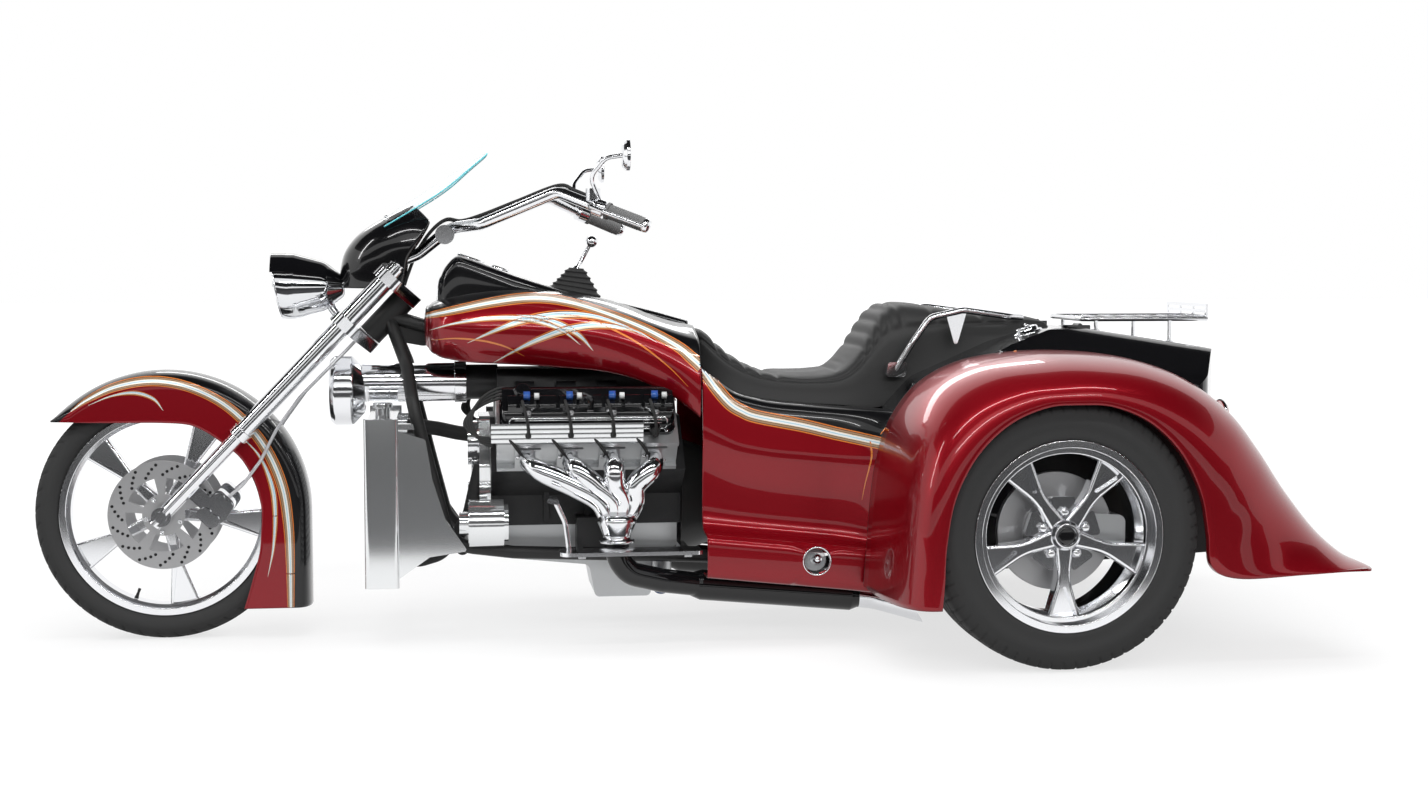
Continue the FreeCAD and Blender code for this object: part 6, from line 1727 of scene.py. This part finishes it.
@dataclass
class Cockpit:
    """Gauges, shifter boot, grip ribs, mirror glass, cables and the screen's edge."""

    # from the head: where each grip starts and ends, and the middle of each mirror
    knee: tuple[float, float, float] = (542.0, 330.0, 300.0)
    tip: tuple[float, float, float] = (672.0, 388.0, 248.0)
    mirror: tuple[float, float, float] = (611.0, 420.0, 426.0)
    # distance of the first and last ring of a grip from its start, and how many there are
    grip_rings: tuple[float, float, int] = (56.0, 136.0, 14)
    # x, y and radius of each gauge
    gauges: tuple = ((-548.0, 0.0, 40.0), (-470.0, -34.0, 26.0), (-470.0, 34.0, 26.0))
    # the deck's height at x -583, how far it falls for each millimetre back, and the way it faces
    deck_z: float = 1035.0
    deck_fall: float = 59.0 / 172.0
    deck_way: tuple[float, float, float] = (0.324, 0.0, 0.946)
    # steps of the shifter boot, and what its half length and width start from and lose on the way up
    stairs: int = 6
    boot_half: tuple[float, float] = (80.0, 58.0)
    boot_loss: tuple[float, float] = (60.0, 40.0)
    # from the head: a control cable from the perch to the neck
    cable: tuple = ((548, 318, 318), (500, 286, 340), (457, 248, 354), (350, 186, 314), (257, 136, 278),
                    (205, 72, 264), (165, 42, 268), (125, 36, 238), (85, 32, 180), (60, 28, 120),
                    (48, 26, 84))
    # the screen's slope, its foot from the head, and how far its sides bow back at its half width
    screen_slope: float = 32.6
    screen_foot: tuple[float, float, float] = (-17.0, 0.0, 260.0)
    screen_bow: float = 26.0
    screen_half: float = 112.0
    # distance up the screen and half width of its outline
    screen: tuple = ((6, 103), (60, 107), (120, 111), (174, 112), (230, 103), (290, 78), (330, 60), (347, 44),
                     (349, 22))

    def build(self) -> None:
        """Adds everything."""
        self._gauges()
        self._shifter()
        self._grips()
        self._mirrors()
        self._cables()
        self._screen()

    def _gauges(self) -> None:
        """Three round gauges on the console's slope: chrome bezel, dark dial with ticks, and hand."""
        normal = np.array(self.deck_way)
        side = np.cross(normal, (0, 1, 0))
        angle = np.radians(np.linspace(-135, 135, 11))
        spoke = np.cos(angle)[:, None] * -side + np.sin(angle)[:, None] * np.array([0, 1.0, 0])
        bezels, dials, ticks, hands = [], [], [], []
        for x, y, radius in self.gauges:
            base = np.array([x, y, self.deck_z - (x + 583.0) * self.deck_fall])
            r = radius * MM
            bezels.append(turned("bezel", ((-0.004, r), (0.006, r), (0.010, r - 0.002), (0.010, r - 0.005),
                                           (0.004, r - 0.007), (-0.004, r - 0.007), (-0.004, r)),
                                 base * MM, normal, 64))
            dials.append(turned("dial", ((-0.003, 0), (-0.003, r - 0.006), (0.003, r - 0.006), (0.0035, 0)),
                                base * MM, normal, 48))
            ticks.append((base + spoke * (radius - 11) + normal * 3.4) * MM)
            reach = np.array([base + normal * 4.6, base + spoke[3] * (radius - 13) + normal * 4.6]) * MM
            hands.append(tube("hand", [reach[0], reach.mean(axis=0), reach[1]], 0.0009, 6, 6))
        place(joined("gauge_bezels", bezels), "chassis", CHROME)
        place(joined("gauge_dials", dials), "chassis", PLASTIC)
        marks = [stamped("gauge_ticks", SPOT, np.concatenate(ticks), normal, 0.0017)]
        place(joined("gauge_marks", marks + hands), "chassis", PALE)

    def _shifter(self) -> None:
        """Stepped rubber boot, chrome lever with collar, and round knob.

        Seen from above the boot is a rounded square. Its half length and width fall in rounded steps
        from the base to the neck, and its tilt levels out on the way up.
        """
        level = np.linspace(0, 1, 97)[:, None]
        climb = level * self.stairs
        stair = (np.floor(climb) + ease(climb % 1.0, 0.25, 0.75)) / self.stairs
        bulge = 2.4 * np.sin(climb % 1.0 * math.pi) * (level < 1)
        turn = np.linspace(0, TAU, 72, endpoint=False)[None, :]
        c, s = np.cos(turn), np.sin(turn)
        length, width = (half - loss * stair + bulge for half, loss in zip(self.boot_half, self.boot_loss))
        x = 238 + 6 * level + length * np.sign(c) * np.abs(c) ** 0.6
        y = width * np.sign(s) * np.abs(s) ** 0.6
        z = 556 + 82 * level + (0.15 * level - 0.226) * (x - 240)
        rings = np.stack([x, y * np.ones_like(x), z * np.ones_like(x)], axis=2) + BAY
        close = np.repeat(rings[-1:].mean(axis=1, keepdims=True), 72, axis=1)
        boot = coloured(surface("boot", np.concatenate([rings, close]) * MM, (False, True), flip=True), HOSE)
        foot, head = (BAY + (241, 0, 628)) * MM, (BAY + (287, 0, 711)) * MM
        lever = turned("lever", ((0, 0), (0, 0.013), (0.010, 0.012), (0.016, 0.0065), (0.080, 0.0055),
                                 (0.084, 0.009), (0.088, 0)), foot, head - foot, 32)
        arc = np.linspace(0, math.pi, 20)
        knob = turned("knob", np.stack([-0.0168 * np.cos(arc), 0.0168 * np.sin(arc)], axis=1), head,
                      head - foot, 32)
        parts = [boot, coloured(lever, CHROME), coloured(knob, CHROME)]
        place(joined("shifter_boot", parts), "chassis", None, ["shifter"])

    def _grips(self) -> None:
        """Raised rings along both grips and a chrome end on each."""
        for side, name in SIDES:
            knee, tip = (np.array([v[0], side * v[1], v[2]]) + HEAD for v in (self.knee, self.tip))
            along = (tip - knee) / np.linalg.norm(tip - knee)
            spots = (knee + along * np.linspace(*self.grip_rings)[:, None]) * MM
            place(stamped("grip_ribs_" + name, HOOP, spots, along, 0.0192), "fork", GRIP)
            end = turned("bar_end_" + name, ((-0.004, 0), (-0.004, 0.0185), (0.004, 0.0192), (0.012, 0.0165),
                                             (0.015, 0.009), (0.0156, 0)), tip * MM, along, 32)
            place(end, "fork", CHROME)

    def _mirrors(self) -> None:
        """Silvered glass in both mirror shells."""
        for side, name in SIDES:
            spot = HEAD + self.mirror * np.array([1, side, 1])
            outline = ((0.0175, 0), (0.0175, 0.0375), (0.0190, 0.0375), (0.0194, 0))
            glass = turned("mirror_glass_" + name, outline, spot * MM, (1, 0, 0), 56)
            place(glass, "fork", MIRROR)

    def _cables(self) -> None:
        """Two control cables a side, from the perch along the top of the bar and down beside the neck."""
        for side, name in SIDES:
            cables = []
            for inward, radius in ((0.0, 4.2), (9.0, 3.4)):
                path = (self.cable - np.array([0, inward, inward * 0.2])) * (1, side, 1) + HEAD
                cables.append(tube("cable", path * MM, radius * MM, 110, 10))
            place(joined("bar_cables_" + name, cables), "fork", HOSE)

    def _screen(self) -> None:
        """Tinted rounded edge round the clear screen, and its four screws."""
        half = np.array(self.screen)
        outline = smooth(np.concatenate([half, [(350, 0)], half[::-1] * (1, -1)]), 160)
        place(tube("screen_edge", self._on_screen(outline, 2.0), 0.0021, 160, 8), "fork", TEAL)
        spots = self._on_screen(np.array([(24.0, y) for y in (-78, -30, 30, 78)]), 4.0)
        turn = math.radians(self.screen_slope)
        place(stamped("screen_screws", DOME, spots, (-math.sin(turn), 0, math.cos(turn)), 0.006), "fork",
              CHROME)

    def _on_screen(self, spots: np.ndarray, proud: float) -> np.ndarray:
        """Points on the bowed screen.

        Args:
            spots: distance up the screen and across it, one row each.
            proud: how far they stand off it.
        Returns:
            Their places in metres.
        """
        turn = math.radians(self.screen_slope)
        up, across = spots.T
        off = proud - self.screen_bow * (across / self.screen_half) ** 2
        flat = np.stack([up * math.cos(turn) - off * math.sin(turn), across,
                         up * math.sin(turn) + off * math.cos(turn)], axis=1)
        return (HEAD + self.screen_foot + flat) * MM


# ---------------------------------------------------------------- lamp, engine and rear details
@dataclass
class Headlight:
    """Bullet shell whose rim leans forward at the top, with bowl, lens and bezel."""

    centre: tuple[float, float, float] = (-1050.0, 0.0, 953.0)
    radius: float = 88.0
    lean: float = 15.0
    # from the centre: the rim at half height, and the shell's tip
    rim: float = -19.0
    tip: float = 150.0
    bowl_depth: float = 62.0
    bezel_r: float = 86.5
    # share of the way from rim to tip, radius
    bullet: tuple = ((0, 88), (0.04, 89), (0.2, 89), (0.45, 78), (0.68, 59), (0.86, 36), (0.96, 17), (1, 0))

    def build(self) -> None:
        """Makes the shell, its bright bezel, the bowl and the ribbed lens.

        Rings run from the rim to the tip. A ring point at height share h of its circle starts at
        rim - lean h from the lamp's centre, and every point nears the tip by the same share. The bowl is
        a parabola behind the rim, and the lens a shallow dome with upright ribs.
        """
        centre = np.array(self.centre)
        share = 1 - np.cos(np.linspace(0, math.pi / 2, 44))
        turn = np.linspace(0, TAU, 72, endpoint=False)[None, :]
        size = through(share, self.bullet)
        start = self.rim - self.lean * np.cos(turn)
        x = start + (self.tip - start) * share[:, None]
        shell = np.stack([x, size * np.sin(turn), size * np.cos(turn)], axis=2) + centre
        depth = np.linspace(0, 1, 26)[:, None]
        inner = (self.radius - 5) * np.sqrt(depth)
        x = start + 6 + self.bowl_depth * (1 - depth)
        bowl = np.stack([x * np.ones_like(inner), inner * np.sin(turn), inner * np.cos(turn)],
                        axis=2) + centre
        outer = surface("shell", np.concatenate([bowl, shell]) * MM, (False, True), recalc=True)
        bright = surface("bowl", (bowl - (0.6, 0, 0)) * MM, (False, True), flip=True)
        ring = np.stack([start[0] - 1, self.bezel_r * np.sin(turn[0]), self.bezel_r * np.cos(turn[0])],
                        axis=1)
        ring = np.concatenate([ring, ring[:1]])
        bezel = tube("bezel", (ring + centre) * MM, 0.0030, 120, 10)
        parts = [coloured(outer, LAMP_SHELL), coloured(bright, CHROME), coloured(bezel, CHROME)]
        place(joined("headlight_skin", parts), "fork", None)
        ribs = np.linspace(0, 1, 30)[:, None]
        y = (self.radius - 6) * ribs * np.sin(turn)
        z = (self.radius - 6) * ribs * np.cos(turn)
        x = start + 5 - 5 * (1 - ribs**2) + 0.5 * np.cos(y / 3.0)
        glass = surface("headlight_glass", (np.stack([x, y, z], axis=2) + centre) * MM, (False, True),
                        flip=True)
        place(glass, "fork", GLASS)


@dataclass
class Headers:
    """Fat tapered primaries that swell from each port and gather in one collector, on both banks."""

    collector: tuple[float, float, float] = (327.0, 318.0, -47.0)
    # share of a primary's length, radius
    swell: tuple = ((0, 21), (0.12, 22), (0.3, 28), (0.55, 29), (0.8, 25), (1, 20))

    def build(self) -> None:
        """Makes the headers.

        Each tube's rings are ellipses square to its path. Their radii swell from 21 to 29 mm along the
        first third and fall to 20 mm in the collector, where the four tubes cross one another.
        """
        for side, name in SIDES:
            tubes = []
            cx, cy, cz = self.collector
            for lane, port in zip((-1.5, -0.5, 0.5, 1.5), PORTS):
                root = bank(1, port, 84.0, 286.7) / MM - BAY
                elbow = bank(1, port, 124.0, 304.7) / MM - BAY
                bend = (cx - port) * 0.16
                route = np.array([root, (root + elbow) / 2 + (0, 0, 4), elbow,
                                  (port + bend, cy + 12, elbow[2] - 22),
                                  (port + (cx - port) * 0.52, cy + 12, 66), (cx + lane * 32, cy + 4, 22),
                                  (cx + lane * 15, cy, -36)]) * (1, side, 1)
                tubes.append(self._swelled((route + BAY) * MM))
            foot = (np.array([cx, side * cy, cz + 34]) + BAY) * MM
            tubes.append(turned("collector", ((0, 0), (0, 0.050), (0.018, 0.052), (0.052, 0.038),
                                              (0.064, 0.036), (0.064, 0.047), (0.072, 0.047), (0.072, 0)),
                                foot, (0, 0, -1), 48))
            place(joined("header_skin_" + name, tubes), "chassis", CHROME, ["exhaust_headers"])

    def _swelled(self, points: np.ndarray) -> bpy.types.Object:
        """One primary with a swelling radius.

        Args:
            points: points that it passes through, in metres.
        Returns:
            The tube.
        """
        path = smooth(points, 90)
        side, up = frames_along(path)
        turn = np.linspace(0, TAU, 32, endpoint=False)[None, :, None]
        size = through(np.linspace(0, 1, 90), self.swell) * MM
        outward = np.cos(turn) * side[:, None] + np.sin(turn) * up[:, None]
        return surface("primary", path[:, None, :] + size[:, None, :] * outward, (False, True))


@dataclass
class EngineSides:
    """Ribbed bar under each cover, round cover bolts, and leads ahead of the engine and down to the plugs."""

    bar_ends: tuple[float, float] = (-2.0, 398.0)
    lobes: int = 4

    def build(self) -> None:
        """Adds the pieces to both banks."""
        for side, name in SIDES:
            self._bar(side, name)
            spots = bank(side, np.array(PORTS), side * 51.0, 416.0)
            place(stamped("cover_studs_" + name, SOCKET, spots, bank_way(side, 0.0, 1.0), 0.0078), "chassis",
                  DISC_STEEL)
            self._wires(side, name)

    def _bar(self, side: int, name: str) -> None:
        """Bar whose front is grooved between round lobes.

        Args:
            side: -1 for the left bank, 1 for the right.
            name: the bank's name.
        """
        share = np.linspace(0, 1, 97)
        front = 2.4 * np.abs(np.sin(share * math.pi * self.lobes)) ** 0.5 - 1.0
        # across from the bank's middle and up from the crank, once round the section
        face = np.stack([96 - 30 * share + 0.72 * front, 352 + 42 * share - 0.72 * front], axis=1)
        loop = np.concatenate([face, face[::-1] - (11.0, 13.0)])
        start, end = self.bar_ends
        rows = np.stack([bank(side, at, side * loop[:, 0], loop[:, 1])
                         for at in (start, start + 1.5, end - 1.5, end)])
        ends = np.repeat(rows[[0, -1]].mean(axis=1, keepdims=True), len(loop), axis=1)
        bar = surface("coil_bar_" + name, np.concatenate([ends[:1], rows, ends[1:]]), (False, True),
                      recalc=True)
        bar.data.set_sharp_from_angle(angle=math.radians(40.0))
        place(bar, "chassis", POLISHED)

    @staticmethod
    def _wires(side: int, name: str) -> None:
        """Four leads ahead of the engine, and a wire with its cap down to each plug.

        Args:
            side: -1 for the left bank, 1 for the right.
            name: the bank's name.
        """
        leads = []
        for step in range(4):
            shift = step * 9.0
            route = [(70 + 30 * step, side * 240, 318 - 4 * step), (20, side * (262 + 3 * step), 322 - shift),
                     (-30 - shift * 0.6, side * 280, 292 - shift),
                     (-52 - shift * 0.7, side * 292, 240 - shift * 0.4),
                     (-30 - shift * 0.3, side * 300, 188 + shift * 0.4), (2, side * 306, 172 + shift * 0.8)]
            leads.append(tube("lead", (np.array(route) + BAY) * MM, 0.0040, 70, 10))
        place(joined("front_leads_" + name, leads), "chassis", HOSE)
        # distance behind the port, across and up
        run, across, up = np.array([(-60, 78, 362), (-40, 96, 350), (-22, 104, 322), (-14, 97, 296)]).T
        jogs = []
        for port in PORTS:
            jogs.append(tube("wire", bank(side, port + run, side * across, up), 0.0044, 30, 10))
            foot, tip = bank(side, np.array([port - 15.0, port - 13.0]), side * np.array([90.0, 112.0]),
                             np.array([291.0, 304.0]))
            jogs.append(turned("cap", ((0, 0), (0, 0.0095), (0.016, 0.0085), (0.024, 0.005), (0.025, 0)),
                               foot, tip - foot, 20))
        place(joined("plug_wires_" + name, jogs), "chassis", HOSE)


@dataclass
class RadiatorTrim:
    """Folded fins in both faces of the radiator's core."""

    half: float = 236.0
    pitch: float = 4.0
    fold: float = 3.0
    # lowest row, where they stop, their spacing, and the two edges of one
    rows: tuple[float, float, float] = (-186.0, 226.0, 20.0)
    edges: tuple[float, float] = (1.0, 9.0)
    # place of each face of the core, the way it faces, and its name
    faces: tuple = ((-328.6, -1, "front"), (-261.4, 1, "back"))

    def build(self) -> None:
        """Makes two sets of fins, each row a strip that zigzags in and out across the core."""
        y = np.linspace(-self.half, self.half, 119)[:, None]
        fold = self.fold * np.abs((y / self.pitch) % 2 - 1)
        for x, way, name in self.faces:
            parts = []
            for z in np.arange(*self.rows):
                strip = np.stack(np.broadcast_arrays(x + way * fold, y, z + np.array([self.edges])), axis=2)
                parts.append(surface("fins", (strip + BAY) * MM, flip=way < 0))
            place(joined("radiator_fins_" + name, parts), "chassis", CAST_ALUMINIUM)


@dataclass
class RearTrim:
    """Tail lamp bezels, side lamp lips and bulbs, plate bolts, and the fuel cap."""

    lamp: tuple[float, float, float] = (351.0, 358.0, 231.0)
    # under the axle: one tail lamp, one plate bolt, and the fuel cap
    tail: tuple[float, float, float] = (570.0, 330.0, 600.0)
    plate: tuple[float, float, float] = (629.6, 73.0, 560.0)
    cap: tuple[float, float, float] = (52.0, -252.0, 826.0)
    cap_way: tuple[float, float, float] = (-0.283, 0.0, 0.959)

    def build(self) -> None:
        """Adds all of it."""
        for side, name in SIDES:
            self._lamps(side, name)
        spots = (np.array(self.plate) * [(1, way, 1) for way in (-1, 1)] + (AXLE_X, 0, 0)) * MM
        place(stamped("plate_bolts", DOME, spots, (1, 0, 0), 0.0075), "chassis", CHROME)
        slope = np.array(self.cap_way)
        base = (np.array(self.cap) + (AXLE_X, 0, 0)) * MM
        cap = turned("fuel_cap_skin", ((-0.006, 0), (-0.006, 0.0405), (0.001, 0.0415), (0.005, 0.0395),
                                       (0.006, 0.034), (0.006, 0.0315), (0.013, 0.0310), (0.0165, 0.0285),
                                       (0.018, 0.020), (0.0182, 0)),
                     base, slope, 72)
        grip = turned("grip", ((0, 0), (0, 0.006), (0.044, 0.006), (0.044, 0)),
                      base + slope * 0.021 - (0, 0.022, 0), (0, 1, 0), 24)
        parts = [coloured(cap, CHROME), coloured(grip, CHROME)]
        place(joined("fuel_cap_trim", parts), "chassis", None, ["fuel_cap"])

    def _lamps(self, side: int, name: str) -> None:
        """Bezel of one tail lamp, and the lip and bulb of one side lamp.

        Args:
            side: -1 for the left, 1 for the right.
            name: the side's name.
        """
        spot = (np.array(self.tail) * (1, side, 1) + (AXLE_X, 0, 0)) * MM
        bezel = turned("tail_bezel_" + name, ((0.0045, 0.0455), (0.0105, 0.0450), (0.0120, 0.0430),
                                              (0.0105, 0.0405), (0.0030, 0.0405), (0.0045, 0.0455)),
                       spot, (1, 0, 0), 64)
        place(bezel, "chassis", CHROME)
        spot = np.array(self.lamp) * (1, side, 1) * MM
        lip = turned("lamp_lip_" + name, ((0.038, 0.0335), (0.0425, 0.0350), (0.0440, 0.0372),
                                          (0.0425, 0.0390), (0.038, 0.0385), (0.038, 0.0335)),
                     spot, (0, side, 0), 64)
        arc = np.linspace(0, math.pi / 2, 14)
        dome = np.stack([0.016 + 0.012 * np.sin(arc), 0.013 * np.cos(arc)], axis=1)
        bulb = turned("bulb", np.concatenate([[(0, 0), (0, 0.013)], dome]), spot, (0.35, side, 0.1), 40)
        parts = [coloured(lip, CHROME), coloured(bulb, CHROME)]
        place(joined("side_lamp_trim_" + name, parts), "chassis", None)


# ---------------------------------------------------------------- black nacelles
@dataclass
class Cowl:
    """Nacelle over the fork tops, lofted between its front spine and its rear edge."""

    # front spine x and z, rear edge x and z, half width, all from the head
    stations: tuple = (
        (-117, 82, 50, 82, 97), (-119, 108, 52, 102, 103), (-117, 136, 56, 128, 108),
        (-106, 176, 62, 158, 113), (-80, 213, 78, 188, 117), (-46, 241, 94, 212, 116),
        (-8, 264, 106, 232, 111), (34, 286, 114, 246, 101), (72, 304, 117, 256, 90), (76, 306, 116, 262, 86))
    wall: float = 5.0

    def build(self) -> None:
        """Makes the shell.

        Each section is half a superellipse that bulges from the rear edge out to the spine: the way back
        is one minus the cosine of its angle to the power 0.85, and across is the sine to the power 0.8.
        """
        rows = smooth(self.stations, 70)
        spine, edge, half = rows[:, None, :2], rows[:, None, 2:4], rows[:, 4, None]
        turn = np.linspace(-math.pi / 2, math.pi / 2, 65)[None, :]
        back = 1 - np.abs(np.cos(turn)) ** 0.85
        side = np.sign(turn) * np.abs(np.sin(turn)) ** 0.8
        flat = spine + (edge - spine) * back[..., None]
        grid = np.stack([flat[..., 0], half * side, flat[..., 1]], axis=2) + HEAD
        shell = walled(surface("cowl_skin", grid * MM), -self.wall * MM)
        place(shell, "fork", BLACK_PAINT, ["fork_cowl"])


@dataclass
class Console:
    """Instrument nacelle down the middle of the tank: steep front, sloped deck, and a tapering tail."""

    # x from the engine's front, top height, half width, tank's crown below
    stations: tuple = (
        (-140, 540, 60, 500), (-136, 582, 78, 500), (-124, 622, 90, 505), (-104, 654, 99, 520),
        (-82, 670, 103, 530), (-60, 665, 104, 540), (0, 644, 103, 552), (89, 612, 99, 560),
        (199, 577, 91, 552), (310, 553, 84, 535), (450, 519, 68, 492), (548, 491, 57, 470))
    foot: float = 500.0
    wall: float = 3.0

    def build(self) -> None:
        """Makes the skin: a nearly flat top, a round shoulder, a straight side, and a closed front."""
        start = self.stations[0][0]
        # close rings where the front rises, even ones behind it
        x = np.concatenate([start + 58 * np.linspace(0, 1, 30) ** 1.6, np.linspace(-76, 548, 72)])
        top, wide, base = through(x, self.stations).T
        deep = np.clip((top - base) / 60, 0.12, 1)
        bend = top - 28 * deep
        whole = half_section([
            (0 * top, top), (wide * 0.45, top - 0.5), (wide * 0.80, top - 3 * deep),
            (wide * 0.94, top - 11 * deep), (wide, bend), (wide + 1, (bend + base) / 2),
            (wide + 2, base - 12)], 38)
        front = np.stack([whole[:, 0, 0], np.full(len(whole), self.foot)], axis=1)
        whole = np.concatenate([front[:, None], whole], axis=1)
        along = np.concatenate([[start], x])
        grid = np.stack([np.broadcast_to(along, whole.shape[:2]), whole[..., 0], whole[..., 1]], axis=2) + BAY
        skin = walled(surface("console_skin", grid.transpose(1, 0, 2) * MM), -self.wall * MM)
        place(skin, "chassis", BLACK_PAINT, ["console"])


def seam_lines() -> None:
    """Thin orange line along the seam between each rear fender and the deck."""
    route = np.array([(514, 568), (533, 591), (583, 645), (652, 696), (722, 730), (800, 764), (880, 786)])
    for side, name in SIDES:
        path = np.column_stack([route[:, 0], np.full(len(route), side * 427.0), route[:, 1]]) * MM
        place(tube("seam_line_" + name, path, 0.0014, 80, 8), "chassis", LINE_PAINT)


# ---------------------------------------------------------------- main
def main() -> None:
    """Builds every sub-assembly in order."""
    logging.basicConfig(level=logging.INFO, format="%(name)s %(message)s")
    dress_nodes()
    Studio().build()
    Tyre("front_tyre", "front_wheel", "front_wheel_spin", 62.0, 266.7, 48.0, 44, (-14.0, 14.0), 1.2).build()
    for side in ("left", "right"):
        Tyre("rear_tyre_" + side, "rear_wheel_" + side, "rear_wheel_" + side + "_spin", 127.5, 228.6, 122.0,
             64, (-62.0, -22.0, 22.0, 62.0), 0.9).build()
    RearFender().build()
    stripe_all(Tank().build(), BodySides().build(), FrontFender().build())
    for part in (Seat, WheelTrim, EngineTrim, Cockpit, Headlight, Headers, EngineSides, RadiatorTrim,
                 RearTrim, Cowl, Console):
        part().build()
    seam_lines()


if __name__ == "__main__":
    main()
